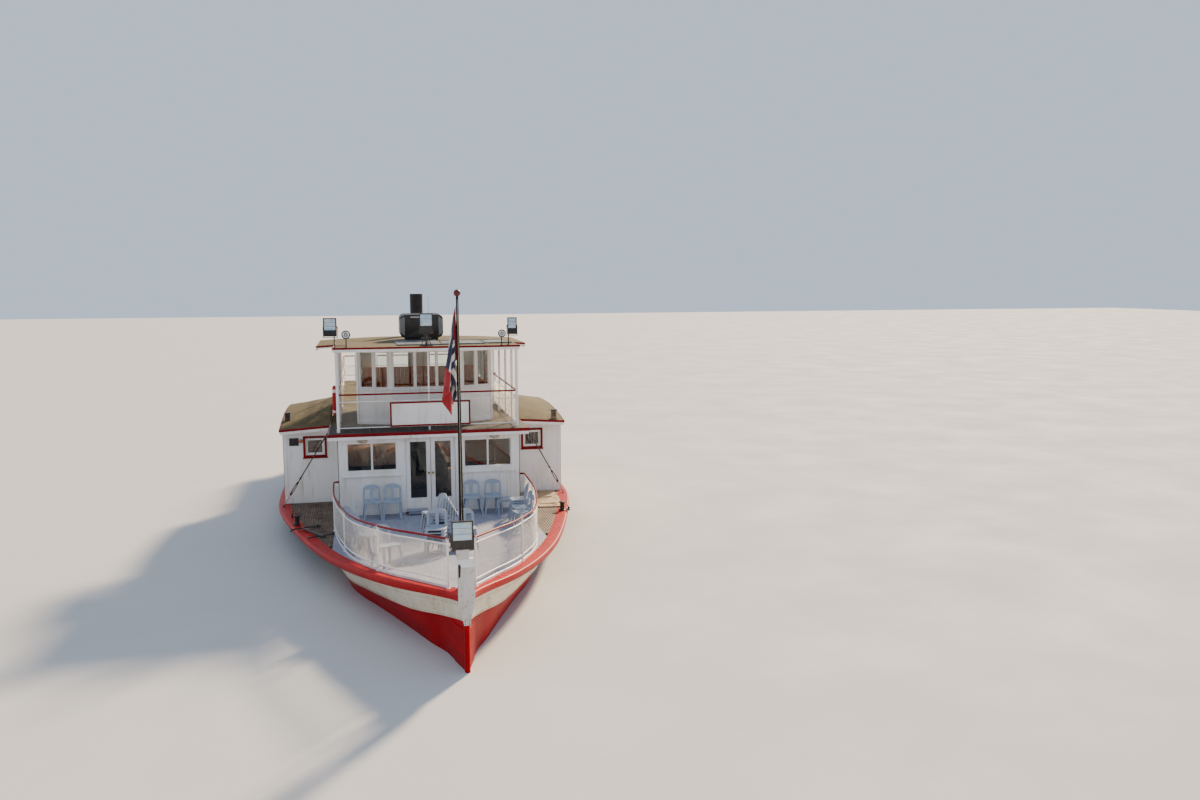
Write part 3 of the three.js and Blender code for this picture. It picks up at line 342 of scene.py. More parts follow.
# Non-slip deck paint: blue-grey, gritty, scuffed paler where people walk
DECK = Finish(
    "grey_nonslip_deck_paint", "#888da2", 0.6,
    patches=(
        Patch("#9a9ca8", (500, 900, 500), 0.4, 1.8), Patch("#74788c", (160, 260, 160), 0.16, 1.4, 6),
        Patch("#b9b8b2", (30, 30, 30), 0.03, 0.5, 6),
    ),
    reliefs=(Relief((7, 7, 7), 0.7, 3), Relief((900, 900, 900), 3.0)),
)
# Hardwood planks gone grey-brown in the weather, grain 4 mm wide and open
PLANKS = Finish(
    "weathered_hardwood_planks", "#5f4c3e", 0.72,
    patches=(
        Patch("#7a6856", (12, 700, 30), 0.4, 1.1, 5), Patch("#352820", (5, 300, 9), 0.2, 0.7, 4),
        Patch("#43342a", (420, 520, 420), 0.2, 1.4),
    ),
    reliefs=(Relief((4, 340, 8), 1.4, 3),), boards=Boards(60, 0, 0.24),
)
# The guard's frame under the boards: hardwood, darker than the boards
PLANKS_UNDER = Finish(
    "damp_hardwood_framing", "#3a2c22", 0.8,
    patches=(Patch("#2a201a", (200, 500, 200), 0.4, 1.2, 5),), reliefs=(Relief((6, 300, 9), 1.2, 3),),
)
# Canvas laid on the roofs and painted: olive-brown, patched, with dust in its hollows
CANVAS = Finish(
    "painted_roof_canvas", "#54492d", 0.85, ior=1.35,
    patches=(
        Patch("#63573a", (700, 900, 700), 0.45, 1.4), Patch("#413824", (260, 420, 260), 0.2, 0.9, 6),
        Patch("#8a8672", (60, 80, 60), 0.07, 0.6, 6),
    ),
    reliefs=(Relief((5, 5, 5), 0.7, 2), Relief((420, 700, 420), 6.0)),
)
# The strip of walked-on canvas by the gallery, dark with tar and boots
WALKED_CANVAS = Finish(
    "tarred_walkway_canvas", "#2f2a27", 0.78,
    patches=(Patch("#4a4038", (240, 420, 240), 0.35, 1.2, 5), Patch("#1d1a18", (90, 120, 90), 0.2, 0.8, 6)),
    reliefs=(Relief((5, 5, 5), 0.7, 2), Relief((300, 500, 300), 4.0)),
)
# Stoved black enamel of lamps and cooler, faded a little to brown
BLACK = Finish(
    "black_stoving_enamel", "#1e1714", 0.36, coat=0.12,
    patches=(Patch("#2c2828", (80, 80, 160), 0.25, 1.2, 5),), reliefs=(Relief((3, 3, 3), 0.12, 2),),
)
# Gloss black of the flagstaff, with a violet cast painted in as the sky's reflection
STAFF_BLACK = Finish(
    "staff_black_gloss", "#0c080c", 0.42, ior=1.25, patches=(Patch("#1a1518", (30, 30, 300), 0.3, 1.2, 4),),
)
# Heat-proof black of the funnel: dead flat, with soot and a little rust
FUNNEL_BLACK = Finish(
    "heatproof_funnel_black", "#181617", 0.66,
    patches=(Patch("#2b2523", (160, 160, 420), 0.3, 1.2, 5), Patch("#50321e", (50, 50, 160), 0.04, 0.6, 7)),
    reliefs=(Relief((9, 9, 30), 0.5, 4),),
)
# Cedar joinery under glossy spar varnish, grain along z; its bright orange is partly painted sunlight, as
# the sun falls in through the windows
CEDAR = Finish(
    "varnished_cedar", "#b84e1e", 0.3, coat=0.3,
    patches=(Patch("#7e3812", (14, 14, 340), 0.34, 1.0, 5), Patch("#cc7638", (60, 60, 900), 0.32, 1.2, 4)),
    reliefs=(Relief((5, 5, 260), 0.3, 3),),
)
# Oiled cast and forged iron of engine, shaft and cleats
IRON = Finish(
    "oiled_iron", "#2d2b2a", 0.5, metallic=0.6,
    patches=(Patch("#4a3527", (70, 70, 70), 0.2, 0.8, 6),), reliefs=(Relief((6, 6, 6), 0.4, 4),),
)
# Wheel arms and floats: red lead paint, kept wet and stained by the river
WHEEL_RED = Finish(
    "wet_red_lead_on_floats", "#8a1712", 0.3,
    patches=(Patch("#5a1511", (220, 220, 220), 0.35, 1.0, 5), Patch("#4a3826", (60, 90, 60), 0.16, 0.7, 6)),
    reliefs=(Relief((260, 9, 9), 0.8, 3),),
)
# Hot-dip galvanised steel: dull zinc with spangle 12 mm wide
ZINC = Finish(
    "galvanised_steel", "#8f9498", 0.42, metallic=0.9,
    patches=(Patch("#a9adb0", (12, 12, 12), 0.45, 0.5, 1),), reliefs=(Relief((10, 10, 10), 0.1, 2),),
)
# Wire rope of the stays, tarred nearly black, its strands a few millimetres wide
STAY_WIRE = Finish("tarred_wire_rope", "#241f22", 0.5,
                   patches=(Patch("#4a4043", (30, 30, 30), 0.3, 0.8, 5),))
# Crimson paint on the turnbuckles, dulled by grease
TURNBUCKLE = Finish("crimson_paint_on_forging", "#560b17", 0.42,
                    patches=(Patch("#2c1210", (40, 40, 40), 0.2, 0.8, 5),))
# Injection-moulded polypropylene of the chairs: satin, blue-grey in the shade, slightly chalked
CHAIR = Finish(
    "moulded_polypropylene", "#9aa5b5", 0.38,
    patches=(Patch("#8c97a8", (180, 180, 180), 0.3, 1.4),), reliefs=(Relief((2.5, 2.5, 2.5), 0.08, 2),),
)
# Plate glass with a breath of green, its dust too fine to see
GLASS = Finish("window_plate_glass", "#e9f0ee", 0.02, ior=1.45, transmission=1.0)
# Moulded lamp lens, its facets 16 mm wide: its pale blue is a painted reflection of the sky, blurred by
# dust
LENS = Finish(
    "dusty_lamp_lens", "#b9d4e6", 0.16, coat=0.7,
    patches=(Patch("#86b3cf", (240, 240, 130), 0.42, 1.4), Patch("#e6d9c2", (200, 200, 70), 0.24, 1.0)),
    reliefs=(Relief((16, 16, 60), 0.5, 1),),
)
# Round lens over a deep reflector: its grey is painted shade, the dark of the bowl as seen from aside
DARK_LENS = Finish("deep_round_lens", "#6c7177", 0.14, coat=0.5,
                   patches=(Patch("#8d8f90", (60, 60, 60), 0.3, 1.2, 3),))
# Spun aluminium ring round the round lenses, with the marks of its spinning
REFLECTOR = Finish("spun_aluminium", "#dcdee0", 0.12, metallic=1.0, reliefs=(Relief((3, 3, 3), 0.05, 2),))
# Cast brass of door knobs and nosings, handled bright
BRASS = Finish("handled_brass", "#b08a3c", 0.28, metallic=1.0,
               patches=(Patch("#6e5526", (20, 20, 20), 0.3, 1.0, 4),))
# Orange signal lens, moulded acrylic
AMBER = Finish("amber_signal_lens", "#e0541c", 0.2, coat=0.6,
               patches=(Patch("#b83c0e", (40, 40, 40), 0.4, 1.4),))
# Plywood hatch board, bare and gone tan
PLYWOOD = Finish(
    "bare_weathered_plywood", "#a58a68", 0.75,
    patches=(Patch("#b89f7e", (12, 240, 12), 0.45, 1.0, 4), Patch("#6e583f", (120, 160, 120), 0.2, 0.9, 6)),
    reliefs=(Relief((6, 260, 6), 0.5, 3),),
)
# Canvas cover of the lifebuoy, painted red
BUOY_RED = Finish(
    "painted_buoy_canvas", "#a50d14", 0.5, ior=1.35,
    patches=(Patch("#7f0c12", (60, 60, 60), 0.3, 1.2, 5),), reliefs=(Relief((2, 2, 2), 0.4, 2),),
)
# Cotton rope, three-strand, its lay 20 mm long
ROPE = Finish("cotton_rope", "#cfc4a8", 0.9, sheen=0.3,
              patches=(Patch("#a08f6c", (20, 20, 20), 0.35, 0.8, 4),))
# Dark rubber sheet of the flat collectors on the roof, grey with dust
COLLECTOR = Finish(
    "black_rubber_collector", "#50555a", 0.5,
    patches=(Patch("#787d80", (300, 500, 300), 0.4, 1.4, 5),), reliefs=(Relief((20, 900, 20), 1.5, 0),),
)
# Rivet heads in the white strake: enamel that rust has lifted
RUSTY_RIVET = Finish(
    "rusting_enamelled_rivets", "#a89472", 0.55,
    patches=(Patch("#4f2815", (26, 26, 26), 0.55, 0.5, 4),), reliefs=(Relief((3, 3, 3), 0.4, 3),),
)
# Wire mesh brushed over with white enamel, drawn grey as painted shade so the thin wires show against a
# pale ground, with patches of dust
MESH_PAINT = Finish("enamelled_wire_mesh", "#cfcac2", 0.5,
                    patches=(Patch("#a9a092", (60, 60, 60), 0.3, 1.0, 3),))
# Saloon floor: brown linoleum paint on boards
SALOON_FLOOR = Finish(
    "brown_floor_paint", "#6a4a34", 0.4,
    patches=(Patch("#7d5c44", (300, 700, 300), 0.4, 1.4, 5),), reliefs=(Relief((8, 300, 8), 0.4, 2),),
    boards=Boards(118, 0, 0.12),
)
# Sills of the doorways, varnished and trodden
VARNISHED_SILL = Finish(
    "trodden_varnished_sill", "#6d3a20", 0.4, coat=0.3,
    patches=(Patch("#4c2a18", (300, 14, 14), 0.4, 1.0, 4),), reliefs=(Relief((240, 5, 5), 0.4, 3),),
)
# Boards of the roofs from below, white; their upper side lies under canvas
ROOF_BOARDS = Finish(
    "painted_roof_boards", "#dedad0", 0.5,
    patches=(Patch("#c7c1b2", (400, 900, 400), 0.35, 1.4, 5),), reliefs=(Relief((10, 400, 10), 0.6, 3),),
    boards=Boards(140, 0, 0.04),
)
# Small vent case in brown-grey enamel
VENT_BROWN = Finish("brown_enamelled_sheet", "#7f6b55", 0.45,
                    patches=(Patch("#5e4c3a", (60, 60, 90), 0.4, 1.0, 5),))
# Matt studio floor, its mottling far wider than the boat's own detail
STUDIO_FLOOR = Finish("matt_studio_floor", "#c4c4c4", 0.85,
                      patches=(Patch("#c2c1c0", (3000, 3000, 3000), 0.5, 1.8),))


@dataclass(frozen=True)
class Bunting(Finish):
    """Woven polyester bunting: navy and white stripes between a red hoist and a red fly."""

    navy: str = "#161d40"
    white: str = "#d9d6d2"
    stripes: float = 9.0
    hoist: float = 0.12
    fly: float = 0.8

    def base(self, tree: NodeTree) -> NodeSocket:
        """The flag's stripes, laid by its own width and length: the socket with their colour.

        Args:
            tree: the material's node tree.

        Returns:
            The socket that gives the colour.
        """
        place = put(tree, "ShaderNodeTexCoord").outputs["UV"]
        split = put(tree, "ShaderNodeSeparateXYZ", {0: place})
        along, across = split.outputs[0], split.outputs[1]

        def sum_of(operation: str, first: object, second: object) -> NodeSocket:
            """One step of arithmetic on the flag's coordinates."""
            return put(tree, "ShaderNodeMath", {0: first, 1: second}, operation=operation).outputs[0]

        pair = sum_of("MODULO", sum_of("MULTIPLY", across, self.stripes), 2.0)
        odd = sum_of("GREATER_THAN", pair, 1.0)
        tones = {0: odd, 6: linear(self.navy), 7: linear(self.white)}
        striped = put(tree, "ShaderNodeMix", tones, data_type="RGBA").outputs[2]
        ends = sum_of("MAXIMUM", sum_of("LESS_THAN", along, self.hoist),
                      sum_of("GREATER_THAN", along, self.fly))
        return put(tree, "ShaderNodeMix", {0: ends, 6: striped, 7: linear(self.colour)},
                   data_type="RGBA").outputs[2]


FLAG = Bunting(
    "woven_polyester_bunting", "#9a0d1c", 0.8, sheen=0.3,
    patches=(Patch("#3a2a30", (60, 60, 60), 0.06, 1.2),), reliefs=(Relief((3, 3, 3), 0.3, 2),),
)


# Shapes


def circle(radius: float, sides: int) -> list[Pair]:
    """The corners of a round section."""
    return [(radius * cos(TURN * i / sides), radius * sin(TURN * i / sides)) for i in range(sides)]


def bar(width: float, height: float) -> list[Pair]:
    """The corners of a flat section, across and along the way up."""
    return [(-width / 2, -height / 2), (width / 2, -height / 2), (width / 2, height / 2),
            (-width / 2, height / 2)]


def at(x: float = 0.0, y: float = 0.0, z: float = 0.0, turn: float = 0.0, axis: str = "Z") -> Matrix:
    """A place, turned by so many degrees about an axis."""
    return Matrix.Translation((x, y, z)) @ Matrix.Rotation(radians(turn), 4, axis)


def aim(point: Vector, way: Vector) -> Matrix:
    """A place at a point whose z runs along a direction."""
    return at(*point) @ way.to_track_quat("Z", "Y").to_matrix().to_4x4()


def heading(yaw: float, rise: float) -> Vector:
    """A direction, by its angle from aft towards port and its angle above the level."""
    return Vector((sin(yaw) * cos(rise), cos(yaw) * cos(rise), sin(rise)))


def facing(x: float, y: float, z: float, yaw: float = 0.0) -> Matrix:
    """A place on a wall: x runs along it, y up it and z out of it.

    Args:
        x: the place's x.
        y: its y.
        z: its z.
        yaw: 0 for a wall that looks ahead, 90 for one that looks to port.

    Returns:
        The place.
    """
    turn = radians(yaw)
    along, out = Vector((cos(turn), sin(turn), 0)), Vector((sin(turn), -cos(turn), 0))
    return Matrix(((along.x, 0, out.x, x), (along.y, 0, out.y, y), (0, 1, 0, z), (0, 0, 0, 1)))


def athwart(x: float, y: float) -> Matrix:
    """A place whose outline runs along y and z, and whose thickness goes to port."""
    return Matrix(((0, 0, 1, x), (1, 0, 0, y), (0, 1, 0, 0), (0, 0, 0, 1)))


def steps(low: float, high: float, count: int) -> list[float]:
    """Evenly spaced values, both ends included."""
    return [low + (high - low) * i / count for i in range(count + 1)]


class Maker:
    """Collects the faces of one piece, then makes it an object that rides on a body."""

    def __init__(self) -> None:
        """Starts with nothing."""
        self.points: list[Vector] = []
        self.faces: list[tuple[int, ...]] = []
        self.tones: list[int] = []

    def patch(self, points: Iterable[Sequence[float]], faces: Iterable[Sequence[int]],
              tone: int = 0) -> None:
        """Adds faces.

        Args:
            points: their corners.
            faces: for each face, the numbers of its corners.
            tone: which of the piece's finishes they have.
        """
        first = len(self.points)
        self.points.extend(Vector(point) for point in points)
        for face in faces:
            self.faces.append(tuple(first + i for i in face))
            self.tones.append(tone)

    def block(self, low: Sequence[float], high: Sequence[float], tone: int = 0,
              place: Matrix = HERE) -> None:
        """Adds a board or block between two opposite corners, moved to a place."""
        corners = [Vector((x, y, z)) for x in (low[0], high[0]) for y in (low[1], high[1])
                   for z in (low[2], high[2])]
        self.patch([place @ corner for corner in corners], BLOCK_FACES, tone)

    def loft(self, rings: Sequence[Points], tone: int = 0, closed: bool = False) -> None:
        """Adds a skin over rings of points, all of one count.

        Args:
            rings: the rings in order.
            tone: which finish it has.
            closed: whether the last ring joins the first, instead of both being capped.
        """
        count = len(rings[0])
        faces: list[Sequence[int]] = []
        for s in range(len(rings) if closed else len(rings) - 1):
            low, high = s * count, ((s + 1) % len(rings)) * count
            for i in range(count):
                j = (i + 1) % count
                faces.append((low + i, low + j, high + j, high + i))
        if not closed:
            faces.append(tuple(reversed(range(count))))
            faces.append(tuple(range((len(rings) - 1) * count, len(rings) * count)))
        self.patch([point for ring in rings for point in ring], faces, tone)

    def levels(self, outlines: Iterable[tuple[Outline, float]], place: Matrix, tone: int = 0,
               closed: bool = False) -> None:
        """Adds a skin over flat outlines, each at its height over the place's xy plane."""
        rings = [[place @ Vector((x, y, height)) for x, y in outline] for outline, height in outlines]
        self.loft(rings, tone, closed)

    def sweep(self, path: Points, section: Outline, tone: int = 0, closed: bool = False) -> None:
        """Carries a section along a path, mitred at its corners.

        Args:
            path: the points of the path.
            section: the section's corners, across the path and up from it.
            tone: which finish it has.
            closed: whether the path comes back to its start.
        """
        line = [Vector(point) for point in path]
        rings = []
        for i, point in enumerate(line):
            before = line[i - 1] if i > 0 or closed else point
            after = line[(i + 1) % len(line)] if i + 1 < len(line) or closed else point
            behind, ahead = point - before, after - point
            came = (behind if behind.length > TINY else ahead).normalized()
            goes = ahead.normalized() if ahead.length > TINY else came
            way = (came + goes).normalized() if (came + goes).length > 1e-6 else came
            side = way.cross(UP)
            side = side.normalized() if side.length > 1e-3 else Vector((1, 0, 0))
            rise = side.cross(way).normalized()
            widen = 1 / max(0.5, way.dot(goes))
            rings.append([point + side * (a * widen) + rise * b for a, b in section])
        self.loft(rings, tone, closed)

    def tube(self, path: Points, radius: float, tone: int = 0, sides: int = 8,
             closed: bool = False) -> None:
        """Carries a round section along a path."""
        self.sweep(path, circle(radius, sides), tone, closed)

    def turned(self, profile: Outline, place: Matrix, tone: int = 0, sides: int = 20) -> None:
        """Adds a turned shape about the place's z axis, from its radius and height at each step."""
        self.levels([(circle(max(radius, 1e-4), sides), height) for radius, height in profile], place, tone)

    def plate(self, outline: Outline, thick: float, place: Matrix, tone: int = 0) -> None:
        """Adds a flat plate of any outline, standing on the place's xy plane."""
        self.levels([(outline, 0.0), (outline, thick)], place, tone)

    def ring(self, outer: Outline, inner: Outline, thick: float, place: Matrix, tone: int = 0) -> None:
        """Adds a flat frame between two outlines of one count, such as a window's casing."""
        self.levels([(outer, 0.0), (outer, thick), (inner, thick), (inner, 0.0)], place, tone, closed=True)

    def rivet(self, centre: Vector, normal: Vector, radius: float, tone: int = 0) -> None:
        """Adds a snap head: six sides, a shoulder and a crown.

        Args:
            centre: the middle of its foot.
            normal: the way it points.
            radius: the radius of its foot.
            tone: which finish it has.
        """
        profile = [(radius * share, radius * height)
                   for share, height in ((1.0, -0.15), (0.75, 0.45), (0.3, 0.7))]
        self.turned(profile, aim(centre, normal), tone, 6)

    def foot(self, place: Matrix, radius: float, tone: int = 0) -> None:
        """Adds a round foot plate for a post."""
        self.turned([(0, 0), (radius, 0), (radius, 0.01), (radius * 0.45, 0.018)], place, tone, 14)

    def piece(self, name: str, finishes: Sequence[Finish], slot: Slot | None = None, body: str = ROOT,
              replaces: Sequence[str] = (), bevel: float = 0.0, angle: float = 40.0) -> Object:
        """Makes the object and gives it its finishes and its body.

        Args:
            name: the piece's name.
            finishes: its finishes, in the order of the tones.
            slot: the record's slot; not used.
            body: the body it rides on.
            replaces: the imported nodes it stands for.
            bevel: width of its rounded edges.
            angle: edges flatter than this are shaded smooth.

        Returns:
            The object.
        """
        mesh = bpy.data.meshes.new(name)
        mesh.from_pydata([tuple(point) for point in self.points], [], self.faces)
        for finish in finishes:
            mesh.materials.append(finish.material())
        mesh.polygons.foreach_set("material_index", self.tones)
        work = bmesh.new()
        work.from_mesh(mesh)
        bmesh.ops.recalc_face_normals(work, faces=work.faces)
        work.to_mesh(mesh)
        work.free()
        return settle(name, mesh, body, replaces, bevel, angle)


def placed(name: str, data: ID) -> Object:
    """Makes an object of a mesh, lamp or camera and puts it in the scene."""
    made = bpy.data.objects.new(name, data)
    bpy.context.scene.collection.objects.link(made)
    return made


def settle(name: str, mesh: Mesh, body: str, replaces: Sequence[str], bevel: float,
           angle: float) -> Object:
    """Makes a mesh a piece of the boat.

    Args:
        name: the piece's name.
        mesh: its mesh, with its materials.
        body: the body it rides on.
        replaces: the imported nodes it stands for.
        bevel: width of its rounded edges.
        angle: edges flatter than this are shaded smooth.

    Returns:
        The object.
    """
    made = placed(name, mesh)
    mesh.polygons.foreach_set("use_smooth", [True] * len(mesh.polygons))
    mesh.set_sharp_from_angle(angle=radians(angle))
    if bevel:
        rounded = made.modifiers.new("rounded_edges", "BEVEL")
        rounded.width = bevel
        rounded.segments = 2
        rounded.limit_method = "ANGLE"
        rounded.angle_limit = radians(angle)
        rounded.harden_normals = True
    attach(made, body)
    if replaces:
        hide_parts(*replaces)
    LOG.info("%s: %d faces on %s", name, len(mesh.polygons), body)
    return made


def dress(finish: Finish, *nodes: str) -> None:
    """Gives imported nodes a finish, where their shape is right as it is.

    Args:
        finish: the finish they get.
        nodes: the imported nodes.
    """
    for name in nodes:
        packed = frame["nodes"][name]
        packed.data.materials.clear()
        packed.data.materials.append(finish.material())
        LOG.info("%s: packed node in %s", name, finish.name)


@dataclass(frozen=True)
class Box:
    """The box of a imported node: its sides, its middle and its size."""

    low: Vector
    high: Vector

    @classmethod
    def of(cls, node: str) -> "Box":
        """Reads a node's box."""
        low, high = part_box(node)
        return cls(Vector(low), Vector(high))

    @property
    def middle(self) -> Vector:
        """The middle of the box."""
        return (self.low + self.high) / 2

    @property
    def size(self) -> Vector:
        """Its breadth, depth and height."""
        return self.high - self.low


def corners_of(name: str) -> list[Vector]:
    """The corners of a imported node, each once."""
    once = {tuple(round(value, 4) for value in vertex.co) for vertex in frame["nodes"][name].data.vertices}
    return [Vector(corner) for corner in sorted(once)]


@dataclass(frozen=True)
class Curve:
    """A fair line through values at rising stations."""

    stations: Row
    values: Row

    def slope(self, k: int) -> float:
        """The line's slope at one of its points."""
        low, high = max(0, k - 1), min(len(self.stations) - 1, k + 1)
        return (self.values[high] - self.values[low]) / (self.stations[high] - self.stations[low])

    def __call__(self, y: float) -> float:
        """The value at a station, held within the line's ends.

        Args:
            y: the station.

        Returns:
            The value there.
        """
        ys, vs = self.stations, self.values
        if y <= ys[0]:
            return vs[0]
        if y >= ys[-1]:
            return vs[-1]
        i = next(k for k in range(len(ys) - 1) if y < ys[k + 1])
        reach = ys[i + 1] - ys[i]
        t = (y - ys[i]) / reach
        return (
            (1 + 2 * t) * (1 - t) ** 2 * vs[i] + t * (1 - t) ** 2 * reach * self.slope(i)
            + t**2 * (3 - 2 * t) * vs[i + 1] + t**2 * (t - 1) * reach * self.slope(i + 1)
        )


def stations_of(*nodes: str) -> dict[float, list[Vector]]:
    """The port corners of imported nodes, gathered by the station they stand at.

    Args:
        nodes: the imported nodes.

    Returns:
        For each station, its corners.
    """
    rows: dict[float, list[Vector]] = {}
    for name in nodes:
        for corner in corners_of(name):
            if corner.x > 0:
                rows.setdefault(round(corner.y, 4), []).append(corner)
    return dict(sorted(rows.items()))


class Lines:
    """The boat's long curves: her deck edge, her sheer and the line of the foredeck rail."""

    def __init__(self) -> None:
        """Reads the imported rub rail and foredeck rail."""
        edge: dict[float, Pair] = {}
        for y, row in stations_of("rub_rail_bow", "rub_rail_port", "rub_rail_stern").items():
            outer = max(corner.x for corner in row)
            heights = {round(corner.z, 3) for corner in row if corner.x > outer - 0.002}
            if len(heights) > 1:
                edge[y] = (outer, max(heights))
        self.edge = Curve(tuple(edge), tuple(value[0] for value in edge.values()))
        self.deck = Curve(tuple(edge), tuple(value[1] for value in edge.values()))
        rail: dict[float, float] = {}
        rows = stations_of("foredeck_rail_port")
        top = max(max(corner.z for corner in row) - self.deck(y) for y, row in rows.items())
        for y, row in rows.items():
            tops = [corner.x for corner in row if corner.z > self.deck(y) + top - 0.004]
            if len(tops) >= 2:
                rail[y] = (min(tops) + max(tops)) / 2
        self.rail = Curve(tuple(rail), tuple(rail.values()))

    def along(self, low: float, high: float, pitch: float, x: Line, rise: float) -> list[Vector]:
        """Points that follow the deck.

        Args:
            low: the first station.
            high: the last station.
            pitch: how far apart the points are, or a little less.
            x: the line in plan.
            rise: the height above the deck.

        Returns:
            The points.
        """
        return [Vector((x(y), y, self.deck(y) + rise))
                for y in steps(low, high, ceil((high - low) / pitch))]


LINES = Lines()


def lattice(maker: Maker, path: Sequence[Vector], low: float, high: float, pitch: float, wire: float,
            tone: int) -> None:
    """Fills a panel with diamond mesh between two heights above a path.

    Args:
        maker: the piece that the mesh belongs to.
        path: the foot line of the panel.
        low: the height of the mesh's lower edge above the path.
        high: the height of its upper edge.
        pitch: width of a diamond; it is half as tall.
        wire: thickness of a strand.
        tone: which finish it has.
    """
    marks = [0.0]
    for a, b in zip(path, path[1:]):
        marks.append(marks[-1] + (b - a).length)

    def place(s: float) -> Vector:
        """The point of the path at a distance from its start.

        Args:
            s: the distance along the path.

        Returns:
            The point.
        """
        s = min(max(s, 0.0), marks[-1])
        i = next(k for k in range(len(marks) - 1) if s <= marks[k + 1] + TINY)
        return path[i].lerp(path[i + 1], (s - marks[i]) / max(marks[i + 1] - marks[i], TINY))

    run = (high - low) * 2
    for start in (i * pitch - run for i in range(ceil((marks[-1] + run) / pitch))):
        first, last = max(0.0, -start / run), min(1.0, (marks[-1] - start) / run)
        if last - first < 0.05:
            continue
        for rising in (True, False):
            heights = [(t, low + (high - low) * (t if rising else 1 - t)) for t in steps(first, last, 4)]
            maker.sweep([place(start + run * t) + UP * height for t, height in heights],
                        circle(wire / 2, 3), tone)


def planking(maker: Maker, low: float, high: float, inner: Line, outer: Line,
             pitch: float, seam: float, thick: float, mirror: int = 1, soft: float = 0.003) -> None:
    """Lays deck boards that run fore and aft, cut to the lines on either side of them.

    Args:
        maker: the piece that the boards belong to.
        low: the first station.
        high: the last station.
        inner: the line at the side of least x.
        outer: the line at the side of most x.
        pitch: from one board to the next.
        seam: the gap between two boards.
        thick: how thick they are.
        mirror: -1 lays them on the starboard side.
        soft: how far their edges are taken off.
    """
    ys = steps(low, high, ceil((high - low) / 0.11))
    first = floor(min(inner(y) for y in ys) / pitch)
    last = ceil(max(outer(y) for y in ys) / pitch)
    for i in range(first, last):
        rings: list[list[Vector]] = []
        for y in [*ys, inf]:
            if y < inf:
                a, b = max(i * pitch + seam / 2, inner(y)), min((i + 1) * pitch - seam / 2, outer(y))
                if b - a > 0.006:
                    z = LINES.deck(y)
                    cut = min(soft, (b - a) / 4)
                    section = ((a, z - thick), (b, z - thick), (b, z - cut), (b - cut, z), (a + cut, z),
                               (a, z - cut))
                    rings.append([Vector((mirror * x, y, height)) for x, height in section])
                    continue
            if len(rings) > 1:
                maker.loft(rings)
            rings = []


@dataclass(frozen=True)
class Window:
    """A glazed opening: its casing on the wall, its lining, its sashes and its glass."""

    place: Matrix
    width: float
    height: float
    wall: float = 0.06
    panes: int = 1
    casing: float = 0.09
    proud: float = 0.024
    sash: float = 0.018
    sill: float = 0.05

    def make(self, wood: Maker, glass: Maker, casing_tone: int = 0, sash_tone: int = 0) -> None:
        """Adds the window.

        Args:
            wood: the piece that takes all that is wood.
            glass: the piece that takes the panes.
            casing_tone: the finish of the casing.
            sash_tone: the finish of the sashes.
        """
        opening = bar(self.width, self.height)
        outside = bar(self.width + 2 * self.casing, self.height + 2 * self.casing)
        lined = bar(self.width - 0.012, self.height - 0.012)
        wood.ring(outside, lined, self.proud, self.place, casing_tone)
        wood.ring(outside, lined, 0.014, self.place @ at(z=-self.wall - 0.014), sash_tone)
        wood.ring(opening, lined, self.wall, self.place @ at(z=-self.wall), sash_tone)
        if self.sill:
            half, foot = self.width / 2 + self.casing + 0.015, -self.height / 2 - self.casing
            wood.block((-half, foot - 0.03, 0), (half, foot + 0.004, self.sill), casing_tone, self.place)
        pane = self.width / self.panes
        clear = (pane - 2 * self.sash, self.height - 2 * self.sash)
        for i in range(self.panes):
            spot = self.place @ at((i + 0.5) * pane - self.width / 2, 0, -self.wall / 2)
            wood.ring(bar(pane, self.height), bar(*clear), 0.036, spot @ at(z=-0.018), sash_tone)
            wood.ring(bar(*clear), bar(clear[0] - 0.012, clear[1] - 0.012), 0.012, spot @ at(z=0.002),
                      sash_tone)
            glass.plate(bar(clear[0] + 0.01, clear[1] + 0.01), 0.006, spot @ at(z=-0.003))


def glazing(name: str, maker: Maker, body: str = ROOT) -> None:
    """Makes a piece of window glass that lets the sun through."""
    made = maker.piece(name, [GLASS], None, body)
    made.visible_shadow = False


def moulded(maker: Maker, path: Points, depth: float, thick: float, white: int, red: int,
            closed: bool = False, nose: float = 0.043) -> None:
    """Runs a fascia: a white board with a red half-round moulding along its upper edge.

    Args:
        maker: the piece that takes it.
        path: the upper inner edge of the board.
        depth: the depth of the board.
        thick: its thickness.
        white: the board's finish.
        red: the moulding's finish.
        closed: whether the path comes back to its start.
        nose: the height of the moulding.
    """
    board = [(0, -depth), (thick, -depth), (thick, 0.004 - nose), (0, 0.004 - nose)]
    front = [(thick + 0.004, -nose), (thick + 0.013, 0.008 - nose), (thick + 0.017, -nose / 2),
             (thick + 0.013, -0.01),
             (thick + 0.004, 0.002)]
    maker.sweep(path, board, white, closed)
    maker.sweep(path, [(0, -nose), *front, (0, 0.002)], red, closed)


class Assembly:
    """A sub-assembly of the boat: its sizes, and the methods that make and dress its pieces."""

    def build(self) -> None:
        """Makes every piece of it."""
        raise NotImplementedError


# Hull, decks and guards


